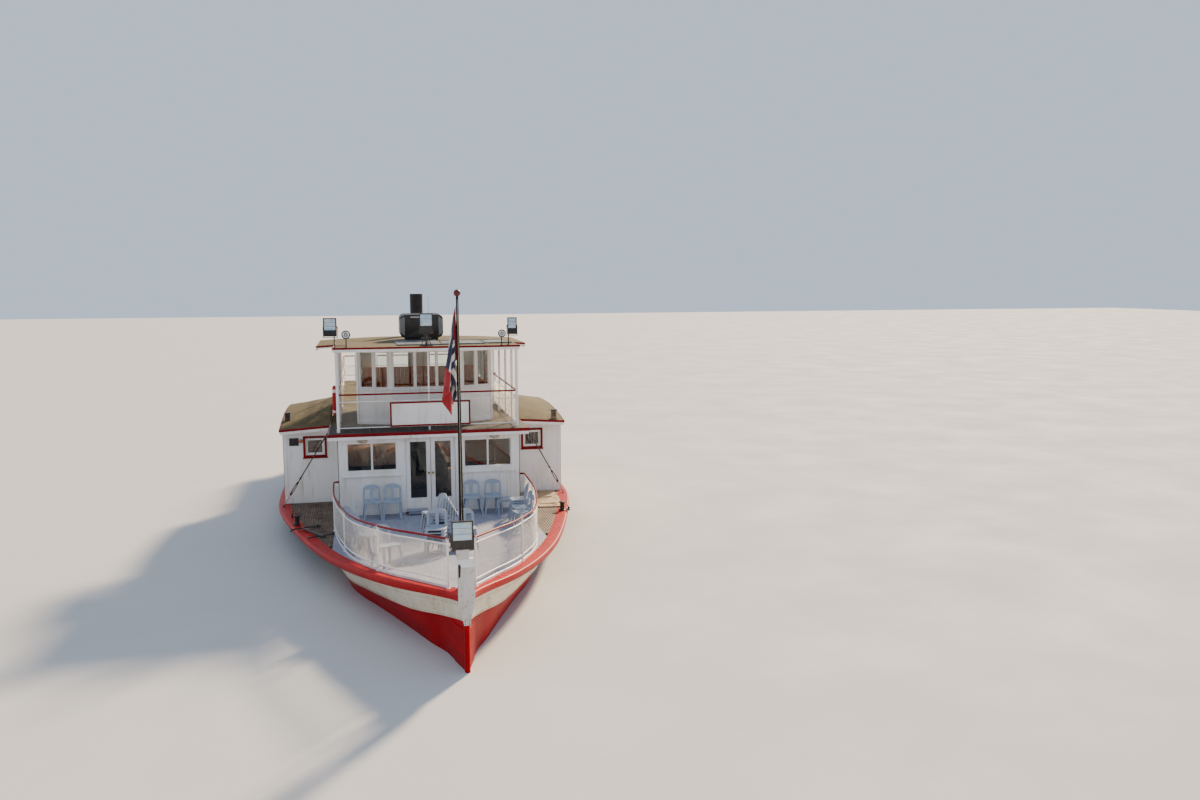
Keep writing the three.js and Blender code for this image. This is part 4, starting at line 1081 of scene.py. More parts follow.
@dataclass(frozen=True)
class Hull(Assembly):
    """The iron hull: red plates, a riveted white sheer strake, the stem with its casing, the keel."""

    strake_depth: float = 0.37
    strake_rise: float = 0.08
    strake_proud: float = 0.009
    rail_depth: float = 0.13
    rivet: float = 0.011
    rivet_pitch: float = 0.085
    butt_pitch: float = 2.6
    stem_fore: float = -13.33
    doubling: Pair = (-13.19, -12.72)
    keel: Row = (0.03, -12.5, 12.0, -0.85, -0.7)
    skeg: Row = (0.03, 9.0, 12.0, -0.84, -0.06)
    heel: Row = (0.06, 11.82, 12.15, -0.9, -0.85)
    neck: Pair = (0.07, 0.95)
    shoulder: float = 1.24
    cap: float = 1.84

    def is_skin(self, corner: Vector) -> bool:
        """Whether a packed corner is one of the hull's skin, and not of its keel, skeg or heel."""
        bars = ((self.keel[0], -0.05), (self.heel[0], -0.8))
        return not any(corner.z < top and abs(corner.x - half) < NEAR for half, top in bars)

    def strands(self) -> list[tuple[Curve, Curve]]:
        """The hull's long corners, from keel to deck, each as its x and its z along the boat.

        Returns:
            The lines, from the keel up.
        """
        rows: dict[float, list[Vector]] = {}
        for y, row in stations_of("hull").items():
            shell = [corner for corner in row if self.is_skin(corner)]
            if len(shell) == 7:
                rows[y] = sorted(shell, key=lambda corner: corner.z)
        ys = tuple(rows)
        lines = zip(*rows.values())
        return [(Curve(ys, tuple(c.x for c in line)), Curve(ys, tuple(c.z for c in line)))
                for line in lines]

    def section(self, strands: Sequence[tuple[Curve, Curve]], y: float) -> list[Pair]:
        """The hull's outline at a station, from keel to deck, in 19 points.

        Args:
            strands: the hull's long corners.
            y: the station.

        Returns:
            The points, as x and z.
        """
        marks = tuple(float(i) for i in range(len(strands)))
        xs = Curve(marks, tuple(x(y) for x, _ in strands))
        zs = Curve(marks, tuple(z(y) for _, z in strands))
        return [(max(0.004, xs(t)), zs(t)) for t in steps(0, marks[-1], 18)]

    def half_at(self, outline: Outline, z: float) -> float:
        """The half-breadth of an outline at a height.

        Args:
            outline: the hull's outline at a station.
            z: the height.

        Returns:
            The half-breadth.
        """
        for (x0, z0), (x1, z1) in zip(outline, outline[1:]):
            if z0 <= z <= z1:
                return x0 + (x1 - x0) * (z - z0) / max(z1 - z0, 1e-6)
        return outline[-1][0]

    def plating(self, ys: Sequence[float], sections: dict[float, list[Pair]]) -> None:
        """The plates, the stem bar with the doubling plates beside it, the keel, the skeg and the heel.

        Args:
            ys: the stations.
            sections: the hull's outline at each station.
        """
        maker = Maker()
        maker.loft([
            [Vector((x, y, z)) for x, z in sections[y]]
            + [Vector((-x, y, z)) for x, z in reversed(sections[y])]
            for y in ys
        ])
        for half, low, high, foot, top in (self.keel, self.skeg, self.heel):
            maker.block((-half, low, foot), (half, high, top))
        fore = [(0.026, 0.0), (0.044, 0.03), (0.05, 0.14), (-0.05, 0.14), (-0.044, 0.03), (-0.026, 0.0)]
        heights = [(-0.62, 0.03), (-0.3, 0.01), (0.3, 0.0), (0.84, 0.0)]
        maker.loft([[Vector((x, self.stem_fore + 0.012 + step + y, z)) for x, y in fore]
                    for z, step in heights])
        first, last = (min(ys, key=lambda y: abs(y - end)) for end in self.doubling)
        for side in Side:
            rings = []
            for z in steps(-0.35, 0.72, 9):
                skin = [Vector((side.value * self.half_at(sections[y], z), y, z)) for y in (first, last)]
                out = Vector((side.value * 0.007, -0.003, 0))
                rings.append([skin[0] + out, skin[1] + out, skin[1] - out * 3, skin[0] - out * 0.5])
            maker.loft(rings)
        maker.piece("hull_plating", [HULL_RED], Slot.RED, replaces=["hull"], bevel=0.004, angle=50)

    def strake(self, ys: Sequence[float], sections: dict[float, list[Pair]]) -> None:
        """The white strake under the rub rail, its butt straps and its rivets.

        Args:
            ys: the stations.
            sections: the hull's outline at each station.
        """
        maker = Maker()
        for sign in SIGNS:
            rings, rows = [], ([], [])
            for y in ys:
                top = LINES.deck(y) - 0.045
                rise = self.strake_rise * min(1.0, max(0.0, (-11.4 - y) / 1.6))
                heights = steps(top - self.rail_depth - self.strake_depth + rise, top, 5)
                skin = [(self.half_at(sections[y], z), z) for z in heights]
                outer = [Vector((sign * (x + self.strake_proud), y, z)) for x, z in skin]
                inner = [Vector((sign * max(x - 0.01, 0.002), y, z)) for x, z in (skin[-1], skin[0])]
                rings.append(outer + inner)
                rows[0].append(outer[0].lerp(outer[1], 0.32))
                rows[1].append(outer[3].lerp(outer[4], 0.1))
            maker.loft(rings)
            for row in rows:
                self.rivets(maker, row, sign)
            self.butts(maker, rings, sign)
        maker.piece("sheer_strake", [STRAKE, RUSTY_RIVET], Slot.WHITE, bevel=0.002, angle=60)

    def rivets(self, maker: Maker, row: Sequence[Vector], sign: int) -> None:
        """Sets rivets along a line at their pitch.

        Args:
            maker: the piece that takes them.
            row: the points of the line.
            sign: 1 for port, -1 for starboard.
        """
        left = 0.0
        for a, b in zip(row, row[1:]):
            span = (b - a).length
            normal = ((b - a).cross(UP) * sign).normalized()
            while left < span:
                maker.rivet(a.lerp(b, left / span), normal, self.rivet, 1)
                left += self.rivet_pitch
            left -= span

    def butts(self, maker: Maker, rings: Sequence[Sequence[Vector]], sign: int) -> None:
        """Covers each joint of the strake with a strap and two rows of rivets.

        Args:
            maker: the piece that takes them.
            rings: the strake's section at each station.
            sign: 1 for port, -1 for starboard.
        """
        due = rings[0][0].y + 0.9
        for before, ring, after in zip(rings, rings[1:], rings[2:]):
            if ring[0].y < due:
                continue
            due += self.butt_pitch
            way = (after[2] - before[2]).normalized()
            out = way.cross(UP).normalized() * sign
            low, high = ring[0].lerp(ring[1], 0.9), ring[3].lerp(ring[4], -0.35)
            strap = [low - way * 0.05, low + way * 0.05, high + way * 0.05, high - way * 0.05]
            maker.loft([strap, [corner + out * 0.007 for corner in strap]])
            for t in steps(0.1, 0.9, 3):
                for shift in (-0.027, 0.027):
                    maker.rivet(low.lerp(high, t) + way * shift + out * 0.007, out, self.rivet * 0.9, 1)

    def casing(self) -> None:
        """The white casing on the stem: sloped cap, straps, bolts and the fairlead's iron cheek."""
        maker = Maker()
        post = Box.of("stem_post")
        face, back, half, foot, top = post.low.y + 0.008, post.high.y, post.high.x, post.low.z, post.high.z
        waist, neck = self.neck
        right = [(0.055, foot), (waist, neck), (half - 0.002, self.shoulder), (half - 0.002, self.cap)]
        outline = right + [(-x, z) for x, z in reversed(right)]
        maker.plate(outline, back - face - 0.001, facing(0, back - 0.001, 0))
        # The sloped cap takes the whiter enamel: painted light on the face that looks up
        lid = [(self.cap + 0.002, face - 0.003, half), (self.cap + 0.03, face - 0.003, half),
               (top - 0.003, face + 0.04, half - 0.012)]
        maker.loft([[(-x, y, z), (x, y, z), (x, back - 0.001, z), (-x, back - 0.001, z)]
                    for z, y, x in lid], 2)
        for low, high, wide in ((self.shoulder - 0.03, self.shoulder + 0.02, half), (0.93, 0.965, 0.074)):
            maker.block((-wide, face - 0.003, low), (wide, face + 0.1, high))
        bolts = [(x * wide, z) for z, wide in ((1.235, 0.14), (0.948, 0.07)) for x in (-0.6, 0, 0.6)]
        bolts += [(x, z) for z in steps(0.86, 0.92, 2) for x in (-0.035, 0.035)]
        bolts += [(x, z) for z in (1.36, 1.78) for x in (-0.1, 0.1)]
        for x, z in bolts:
            maker.rivet(Vector((x, face - 0.001, z)), AHEAD, 0.011, 1)
        cheek = [(-0.137, 1.66), (-0.1, 1.7), (-0.104, 1.78), (-0.092, 1.86), (-0.108, 1.9), (-0.137, 1.9)]
        maker.plate(cheek, 0.01, facing(0, face - 0.001, 0), 3)
        maker.piece("stem_casing", [CASING, RUSTY_RIVET, WHITE, IRON], Slot.WHITE, replaces=["stem_post"],
                    bevel=0.004, angle=25)

    def build(self) -> None:
        """Makes every piece of it."""
        strands = self.strands()
        ys = sorted({*steps(-13.195, -11.0, 22), *steps(-11.0, -6.0, 34), *steps(-6.0, 8.0, 28),
                     *steps(8.0, 13.175, 40)})
        sections = {y: self.section(strands, y) for y in ys}
        self.plating(ys, sections)
        self.strake(ys, sections)
        self.casing()


@dataclass(frozen=True)
class Decks(Assembly):
    """The decks inside the margin plank, the rub rail, and the guards with their boards."""

    flange: float = 0.3
    thick: float = 0.07
    plank: float = 0.05
    hull_half: float = 2.35
    trim: float = 0.004
    guard: Pair = (-8.3, 7.0)
    boards: Pair = (-7.5, 6.4)
    guard_frame: Pair = (-0.11, -0.052)
    guard_plank: Row = (0.06, 0.006, 0.048)
    deck_plank: float = 0.118
    well: Row = (2.43, 3.49, 1.7)
    outriggers: Row = (-6.2, -4.4, -2.6, 2.6, 4.4)
    shaft_z: float = 1.12

    def inside(self, y: float) -> float:
        """The half-breadth of the deck inside the margin plank."""
        return max(0.02, min(LINES.edge(y) - self.flange, self.hull_half) - 0.001)

    def planked(self, name: str, node: str, low: float, high: float, finish: Finish, seam: float) -> None:
        """Makes one of the three decks of planks.

        Args:
            name: the piece's name.
            node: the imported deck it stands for.
            low: its first station.
            high: its last station.
            finish: its finish.
            seam: the gap between two boards.
        """
        maker = Maker()
        planking(maker, low, high, lambda y: -self.inside(y), self.inside, self.deck_plank, seam,
                 self.plank, soft=seam * 0.7)
        maker.piece(name, [finish], Slot.DECK, replaces=[node], angle=30)

    def rail_run(self, maker: Maker, sign: int, low: float, high: float) -> None:
        """Adds a length of rub rail and margin plank on one side: rounded edges and a rubbing band.

        Args:
            maker: the piece that takes it.
            sign: 1 for port, -1 for starboard.
            low: its first station.
            high: its last station.
        """
        profile = (
            (-0.3, -0.05), (-0.3, -0.005), (-0.295, 0), (-0.045, 0), (-0.026, -0.003), (-0.014, -0.012),
            (-0.006, -0.026),
            (-0.002, -0.04), (0, -0.052), (0, -0.078), (-0.003, -0.09), (-0.01, -0.1), (-0.01, -0.122),
            (-0.016, -0.13),
            (-0.062, -0.13), (-0.07, -0.122), (-0.07, -0.052),
        )
        rings = []
        for y in steps(low, high, ceil((high - low) / 0.13)):
            edge, deck = LINES.edge(y) - self.trim, LINES.deck(y)
            rings.append([Vector((sign * max(0.0005, edge + x), y, deck + z)) for x, z in profile])
        maker.loft(rings)
        if low < self.guard[1]:
            for fixing in steps(low + 0.35, high - 0.2, floor((high - low) / 0.6)):
                for x in (0.1, 0.24):
                    spot = Vector((sign * max(0.05, LINES.edge(fixing) - x), fixing, LINES.deck(fixing)))
                    maker.rivet(spot, UP, 0.012)

    def rails(self) -> None:
        """The rub rail in its four lengths."""
        bow, stern = Maker(), Maker()
        for side in Side:
            self.rail_run(bow, side.value, -13.2, -4.4)
            self.rail_run(stern, side.value, 8.6, 13.18)
            maker = Maker()
            self.rail_run(maker, side.value, -4.399, 8.599)
            node = f"rub_rail_{side.word}"
            maker.piece(f"{side.word}_rubbing_strake", [RED_WORN], Slot.RED, replaces=[node])
        bow.piece("bow_rubbing_strake", [RED_WORN], Slot.RED, replaces=["rub_rail_bow"])
        edge, deck = LINES.edge(13.18), LINES.deck(13.18)
        stern.sweep([(edge, 13.215, deck - 0.065), (-edge, 13.215, deck - 0.065)], bar(0.07, 0.13))
        stern.piece("stern_rubbing_strake", [RED_WORN], Slot.RED, replaces=["rub_rail_stern"])

    def bracket(self, maker: Maker, sign: int, y: float) -> None:
        """Adds an iron outrigger under the guard: a web with a flange along its lower edge.

        Args:
            maker: the piece that takes it.
            sign: 1 for port, -1 for starboard.
            y: the station it stands at.
        """
        deck, tip = LINES.deck(y), LINES.edge(y) - 0.32
        inner = self.hull_half + 0.002
        web = [(inner, deck - 0.43), (inner + 0.05, deck - 0.43), (tip, deck - 0.14), (tip, deck - 0.11),
               (inner, deck - 0.11)]
        maker.plate([(sign * x, z) for x, z in web], 0.02, facing(0, y + 0.01, 0), 2)
        ends = [Vector((sign * (inner + 0.03), y, deck - 0.43)), Vector((sign * tip, y, deck - 0.14))]
        maker.sweep(ends, bar(0.08, 0.014), 2)

    def bearing(self, maker: Maker, sign: int, low: float, high: float) -> None:
        """Adds a bearing block of the shaft, with its cap, its foot and its bolts.

        Args:
            maker: the piece that takes it.
            sign: 1 for port, -1 for starboard.
            low: how far out it starts.
            high: how far out it ends.
        """
        around = [TURN * i / 20 for i in range(20)]
        reach = [min(0.16 / max(abs(cos(a)), 1e-6), 0.13 / max(abs(sin(a)), 1e-6)) for a in around]
        block = [(r * cos(a), r * sin(a)) for a, r in zip(around, reach)]
        maker.ring(block, circle(0.0765, 20), high - low,
                   facing(low if sign > 0 else -high, 0, self.shaft_z, 90), 2)
        maker.block((sign * low, -0.16, 0.73), (sign * high, 0.16, self.shaft_z - 0.13), 2)
        for y in (-0.12, 0.12):
            maker.rivet(Vector((sign * (low + high) / 2, y, self.shaft_z + 0.13)), UP, 0.02, 2)

    def guard_side(self, side: Side) -> None:
        """Makes the guard of one side: boards over beams round the paddle's well, on iron outriggers.

        Args:
            side: the side of the boat.
        """
        maker = Maker()
        sign = side.value
        inner, outer, half = self.well
        hull = self.hull_half + 0.001
        foot, top = self.guard_frame
        for (fore, aft), out, boards in ((self.guard, self.thick, False), (self.boards, self.flange, True)):

            def rim(y: float, out: float = out) -> float:
                """The guard's outer line, inside the rubbing strake."""
                return LINES.edge(y) - out - 0.001

            spans = (
                (fore, -half, lambda y: hull, rim), (half, aft, lambda y: hull, rim),
                (-half, half, lambda y: hull, lambda y: inner), (-half, half, lambda y: outer, rim),
            )
            for low, high, a, b in spans:
                if boards:
                    planking(maker, low, high, a, b, *self.guard_plank, sign)
                    continue
                rings = []
                for y in steps(low, high, max(2, ceil((high - low) / 0.25))):
                    section = zip((a(y), b(y), b(y), a(y)), (foot, foot, top, top))
                    rings.append([Vector((sign * x, y, LINES.deck(y) + z)) for x, z in section])
                maker.loft(rings, 1)
        for y in self.outriggers:
            self.bracket(maker, sign, y)
        self.bearing(maker, sign, hull, inner - 0.005)
        self.bearing(maker, sign, outer + 0.005, 3.595)
        finishes = [PLANKS, PLANKS_UNDER, IRON]
        maker.piece(f"{side.word}_guard_boards", finishes, Slot.PLANKS, replaces=[f"guard_{side.word}"],
                    angle=50)

    def build(self) -> None:
        """Makes every piece of it."""
        self.planked("foredeck_planks", "foredeck", -12.5, -4.4, DECK, 0.0012)
        self.planked("saloon_floor", "saloon_deck", -4.4, 8.6, SALOON_FLOOR, 0.004)
        self.planked("aft_deck_planks", "aft_deck", 8.6, 12.95, DECK, 0.0012)
        self.rails()
        for side in Side:
            self.guard_side(side)


# Rails


@dataclass(frozen=True)
class Railings(Assembly):
    """Rails of the foredeck, the stern, the gallery and the upper deck: tubes, posts and wire mesh."""

    top: float = 0.022
    thin: float = 0.014
    post: float = 0.019
    wire: float = 0.005
    fore_mesh: float = 0.066
    gallery_mesh: float = 0.1
    toe_board: float = 0.05
    house_corner: float = 2.262
    fore_run: Pair = (-12.5, -4.5)
    fore_bend: float = 0.05
    fore_posts: Row = (-12.48, -10.3, -8.1, -5.9, -4.48)
    stern_inset: float = 0.15
    stern_posts: Row = (8.745, 10.2, 11.5, 12.4, 13.1)
    roof: float = 2.8305
    gallery: Row = (3.77, 3.59, 2.94)
    gallery_front: float = -4.27
    gallery_half: float = 2.23
    gallery_posts: Row = (-3.4, -2.2, -0.9, 0.45)
    front_head: float = 4.8795
    side_head: float = 4.817
    upper: Row = (3.77, 3.4, 3.05)
    upper_side: Row = (2.3, 0.56, 8.82)
    ladder_gate: Pair = (-1.1, -1.9)
    stern_post: float = 0.6

    def stand(self, maker: Maker, foot: Vector, height: float) -> None:
        """Adds a round post with a bolted foot plate.

        Args:
            maker: the piece that takes it.
            foot: the middle of its foot plate.
            height: how high it is.
        """
        maker.tube([foot, foot + UP * height], self.post, 0, 10)
        flange = [(0.0, 0.0), (0.04, 0.0), (0.04, 0.008), (0.023, 0.014), (0.023, 0.03)]
        maker.turned(flange, at(*foot), 0, 12)
        for x, y in bar(0.044, 0.044):
            maker.rivet(foot + Vector((x, y, 0.008)), UP, 0.005)

    def tubes(self, maker: Maker, path: Sequence[Vector], heights: Sequence[float]) -> None:
        """Runs a red top tube and white ones below it at heights above a path."""
        for i, height in enumerate(heights):
            maker.tube([point + UP * height for point in path], self.thin if i else self.top, 0 if i else 1,
                       10)

    def foredeck(self, side: Side) -> None:
        """Makes one half of the rail round the foredeck, turned in to the house at its after end.

        Args:
            side: the side of the boat.
        """
        maker = Maker()
        low, high = self.fore_run

        def line(y: float) -> float:
            """The rail's line in plan."""
            return side.value * LINES.rail(y)

        foot = LINES.along(low, high, 0.12, line, 0.0)
        end = foot[-1]
        bend = self.fore_bend
        for turn in steps(pi / 8, pi / 2, 3):
            foot.append(end + Vector((-side.value * bend * (1 - cos(turn)), bend * sin(turn), 0)))
        foot.append(Vector((side.value * self.house_corner, foot[-1].y, end.z)))
        self.tubes(maker, foot, (0.912 - self.top, 0.79, 0.14))
        board = [(-0.008, 0.001), (0.008, 0.001), (0.008, self.toe_board - 0.005), (0, self.toe_board),
                 (-0.008, self.toe_board - 0.005)]
        maker.sweep(foot, board, 0)
        for y in self.fore_posts:
            base = Vector((line(y), y, LINES.deck(y) + 0.001))
            self.stand(maker, base, 0.9)
            for rise in (0.14, 0.79, 0.885):
                maker.plate(circle(self.post + 0.007, 10), 0.028,
                            Matrix.Translation(base + UP * (rise - 0.014)))
        lattice(maker, foot[::2], 0.14, 0.79, self.fore_mesh, self.wire, 2)
        finishes = [WHITE, RED, MESH_PAINT]
        node = f"foredeck_rail_{side.word}"
        maker.piece(f"{side.word}_foredeck_railing", finishes, Slot.WHITE, replaces=[node], angle=50)

    def stern(self) -> None:
        """Makes the rail round the aft deck."""
        maker = Maker()

        def line(y: float) -> float:
            """The rail's line in plan."""
            return LINES.edge(y) - self.stern_inset

        port = LINES.along(8.72, self.stern_posts[-1], 0.2, line, 0.0)
        path = [*port, *(Vector((-point.x, point.y, point.z)) for point in reversed(port))]
        self.tubes(maker, path, (0.89, 0.6, 0.3))
        for y in self.stern_posts:
            for side in Side:
                self.stand(maker, Vector((side.value * line(y), y, LINES.deck(y) + 0.001)), 0.88)
        maker.piece("stern_railing", [WHITE, RED], Slot.WHITE, replaces=["stern_rail"], angle=50)

    def panel(self, maker: Maker, ends: Sequence[Vector]) -> None:
        """Adds the gallery's tubes between two ends, with mesh below the middle one.

        Args:
            maker: the piece that takes it.
            ends: the panel's ends, at z = 0.
        """
        middle, bottom = self.gallery[1:]
        self.tubes(maker, ends, self.gallery)
        lattice(maker, ends, bottom, middle, self.gallery_mesh, self.wire, 2)

    def gallery_rails(self) -> None:
        """Makes the gallery's front and sides: square posts, red top rail, mesh below the middle rail."""
        front, half = self.gallery_front, self.gallery_half
        finishes = [WHITE, RED, MESH_PAINT]
        maker = Maker()
        for x, width in ((-half, 0.068), (half, 0.068), (0, 0.036)):
            self.pillar(maker, x, front, width, self.front_head)
        self.panel(maker, [Vector((-half, front, 0)), Vector((half, front, 0))])
        maker.piece("gallery_front_railing", finishes, Slot.WHITE, replaces=["gallery_front"], angle=50)
        for side in Side:
            maker = Maker()
            x = side.value * half
            for y in self.gallery_posts:
                self.pillar(maker, x, y, 0.058, self.front_head if y < -2.2 else self.side_head)
            self.panel(maker, [Vector((x, front + 0.036, 0)), Vector((x, self.gallery_posts[-1], 0))])
            node = f"gallery_{side.word}"
            maker.piece(f"{side.word}_gallery_railing", finishes, Slot.WHITE, replaces=[node], angle=50)

    def pillar(self, maker: Maker, x: float, y: float, width: float, high: float) -> None:
        """Adds a square post with chamfered corners, a plinth and a head block.

        Args:
            maker: the piece that takes it.
            x: the place's x.
            y: its y.
            width: the post's width.
            high: the height of its head.
        """
        half, cut = width / 2, width * 0.16
        corner = [(half - cut, -half), (half, -half + cut)]
        outline = []
        for _ in range(4):
            outline += corner
            corner = [(-b, a) for a, b in corner]
        maker.plate(outline, high - self.roof, at(x, y, self.roof))
        for z, tall in ((self.roof, 0.09), (high - 0.06, 0.06)):
            maker.plate([(a * 1.2, b * 1.2) for a, b in outline], tall, at(x, y, z))

    def upper_rails(self) -> None:
        """Makes the rails round the aft half of the upper deck, open at the ladder."""
        x, start, aft = self.upper_side
        posts = steps(start + 0.03, aft, 6)
        for side, gate in zip(Side, self.ladder_gate):
            maker = Maker()
            path = [Vector((side.value * x, start, 0)), Vector((side.value * x, aft, 0)),
                    Vector((gate, aft, 0))]
            self.tubes(maker, path, self.upper)
            feet = [*((side.value * x, y) for y in posts), (gate, aft)]
            if side is Side.PORT:
                feet.append((self.stern_post, aft))
            for px, py in feet:
                self.stand(maker, Vector((px, py, self.roof)), 0.93)
            lattice(maker, path, self.upper[2], self.upper[1], self.gallery_mesh, self.wire, 2)
            node = f"upper_rail_{side.word}"
            maker.piece(f"{side.word}_upper_railing", [WHITE, RED, MESH_PAINT], Slot.WHITE, replaces=[node],
                        angle=50)

    def build(self) -> None:
        """Makes every piece of it."""
        for side in Side:
            self.foredeck(side)
        self.stern()
        self.gallery_rails()
        self.upper_rails()


# House, paddle boxes and roofs


def leaf_trim(name: str, panes: Sequence[float], bead: float, deep: float, place: Matrix, knob: float,
              finish: Finish) -> None:
    """Makes a door's glass, its beads, its knobs and its lock plate, which ride with the door.

    Args:
        name: the door's body, which is also its node.
        panes: the glazed opening's sides, low and high: x0, x1, z0, z1 in the place's frame.
        bead: thickness of the glass's bead.
        deep: the leaf's thickness.
        place: a place on the leaf's outer face.
        knob: how far along the leaf its knob is.
        finish: the door's finish.
    """
    x0, x1, z0, z1 = panes
    maker, glass = Maker(), Maker()
    spot = place @ at((x0 + x1) / 2, (z0 + z1) / 2, 0)
    width, height = x1 - x0, z1 - z0
    for level in (-0.012, -deep):
        maker.ring(bar(width + 0.03, height + 0.03), bar(width - 0.024, height - 0.024), bead,
                   spot @ at(z=level))
    glass.plate(bar(width - 0.004, height - 0.004), 0.006, spot @ at(z=-deep / 2 - 0.003))
    grip = [(0, -0.002), (0.026, -0.002), (0.026, 0.004), (0.01, 0.008), (0.009, 0.03), (0.024, 0.038),
            (0.028, 0.05),
            (0.022, 0.062), (0.0, 0.066)]
    for level, way in ((0.0, 1), (-deep, -1)):
        maker.turned(grip, place @ at(knob, 0.98, level) @ Matrix.Scale(way, 4, (0, 0, 1)), 1, 14)
    maker.block((knob - 0.03, 0.78, -0.001), (knob + 0.03, 0.9, 0.003), 1, place)
    maker.piece(f"{name}_beads", [finish, BRASS], Slot.WHITE, name, bevel=0.002, angle=50)
    glazing(f"{name}_glass", glass, name)


@dataclass(frozen=True)
class House(Assembly):
    """The house on the main deck: casings, sashes, trim, lining, doors' glass and lights."""

    fore: float = -4.4
    aft: float = 8.6
    half: float = 2.25
    wall: float = 0.06
    floor: float = 0.741
    roof_under: float = 2.68
    sill: float = 1.86
    head: float = 2.57
    front_windows: Row = (-1.445, 1.445)
    side_windows: tuple[Pair, ...] = ((-3.9, -3.1), (3.1, 4.0), (4.5, 5.4), (5.9, 6.8), (7.3, 8.2))
    door_half: float = 0.62
    door_head: float = 2.66
    boiler_half: float = 0.65
    boiler_ends: Pair = (-1.5, 1.9)
    boiler_top: float = 1.9

    def windows(self) -> None:
        """Makes the joinery and glass of every window."""
        wood, glass = Maker(), Maker()
        middle, tall = (self.sill + self.head) / 2, self.head - self.sill
        openings = [Window(facing(x, self.fore, middle), 1.21, tall, panes=2, casing=0.11)
                    for x in self.front_windows]
        openings += [Window(facing(x, self.aft, middle, 180), 0.9, tall) for x in (-1.3, 1.3)]
        for side in Side:
            for low, high in self.side_windows:
                place = facing(side.value * self.half, (low + high) / 2, middle, 90 * side.value)
                openings.append(Window(place, high - low, tall))
        for opening in openings:
            opening.make(wood, glass)
        wood.piece("house_window_joinery", [WHITE], Slot.WHITE, bevel=0.003, angle=50)
        glazing("house_window_glass", glass)

    def doorways(self) -> None:
        """Makes the casings round the saloon doors and the aft door."""
        maker = Maker()
        low, high = self.floor + 0.03, self.door_head
        for y, yaw, half in ((self.fore, 0, self.door_half), (self.aft, 180, 0.4)):
            place = facing(0, y, 0, yaw)
            for sign in (-1, 1):
                maker.block((sign * half, low, 0), (sign * (half + 0.12), high, 0.026), 0, place)
            maker.block((-half - 0.14, high, 0), (half + 0.14, high + 0.08, 0.03), 0, place)
            maker.block((-half - 0.02, low - 0.025, -self.wall), (half + 0.02, low, 0.06), 1, place)
        maker.piece("door_casings", [WHITE, VARNISHED_SILL], Slot.WHITE, bevel=0.003, angle=50)

    def trim(self) -> None:
        """Makes the corner boards, the skirting and the frieze under the roof."""
        maker = Maker()
        low, high = self.floor + 0.004, self.roof_under + 0.06
        for sign in (-1, 1):
            out = sign * (self.half + 0.02)
            for y, way in ((self.fore, -1), (self.aft, 1)):
                maker.block((sign * (self.half - 0.09), y, low), (out, y + way * 0.02, high))
                maker.block((sign * self.half, y - way * 0.09, low), (out, y + way * 0.02, high))
            x0, x1 = sign * (self.door_half + 0.12), sign * self.half
            maker.block((x0, self.fore - 0.016, low), (x1, self.fore, low + 0.13))
            maker.block((x0, self.fore - 0.03, self.roof_under - 0.02),
                        (x1, self.fore, self.roof_under + 0.04))
            for y0, y1 in ((self.fore, -2.56), (2.56, self.aft)):
                maker.block((sign * self.half, y0, low), (sign * (self.half + 0.016), y1, low + 0.13))
        maker.piece("house_trim", [WHITE], Slot.WHITE, bevel=0.003, angle=50)

    def lights(self) -> None:
        """Makes the oval bulkhead lights over the front windows."""
        body, lens = Maker(), Maker()

        def oval(half: float, tall: float) -> list[Pair]:
            """The corners of an oval, by its two reaches."""
            return [(half * x, tall * y) for x, y in circle(1, 24)]

        for x in (-1.66, 1.62):
            place = facing(x, self.fore - 0.03, 2.63)
            body.ring(oval(0.12, 0.05), oval(0.1, 0.035), 0.03, place)
            body.plate(oval(0.118, 0.048), 0.008, place)
            for t in (-0.05, 0.0, 0.05):
                body.block((t - 0.003, -0.036, 0.03), (t + 0.003, 0.036, 0.036), 0, place)
            sizes = ((0.1, 0.035, 0.006), (0.098, 0.034, 0.018), (0.08, 0.026, 0.028), (0.04, 0.012, 0.032))
            lens.levels([(oval(w, h), z) for w, h, z in sizes], place)
        body.piece("bulkhead_light_cages", [BRASS], Slot.STEEL)
        lens.piece("bulkhead_light_globes", [LENS], None, angle=60)

    def doors(self) -> None:
        """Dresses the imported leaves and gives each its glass."""
        for side in Side:
            name = f"saloon_door_{side.word}"
            leaf = Box.of(name)
            dress(WHITE, name)
            inner, outer = sorted((abs(leaf.low.x), abs(leaf.high.x)))
            spans = sorted((side.value * (inner + 0.09), side.value * (outer - 0.1)))
            place = facing(0, leaf.low.y + 0.0035, leaf.low.z)
            leaf_trim(name, (*spans, 0.33, 1.79), 0.014, 0.042, place, side.value * (inner + 0.045), WHITE)
        leaf = Box.of("aft_door")
        dress(WHITE, "aft_door")
        place = facing(0, leaf.high.y, leaf.low.z, 180)
        panes = (-leaf.high.x + 0.09, -leaf.low.x - 0.1, 1.09, 1.75)
        leaf_trim("aft_door", panes, 0.014, 0.042, place, -leaf.high.x + 0.045, WHITE)

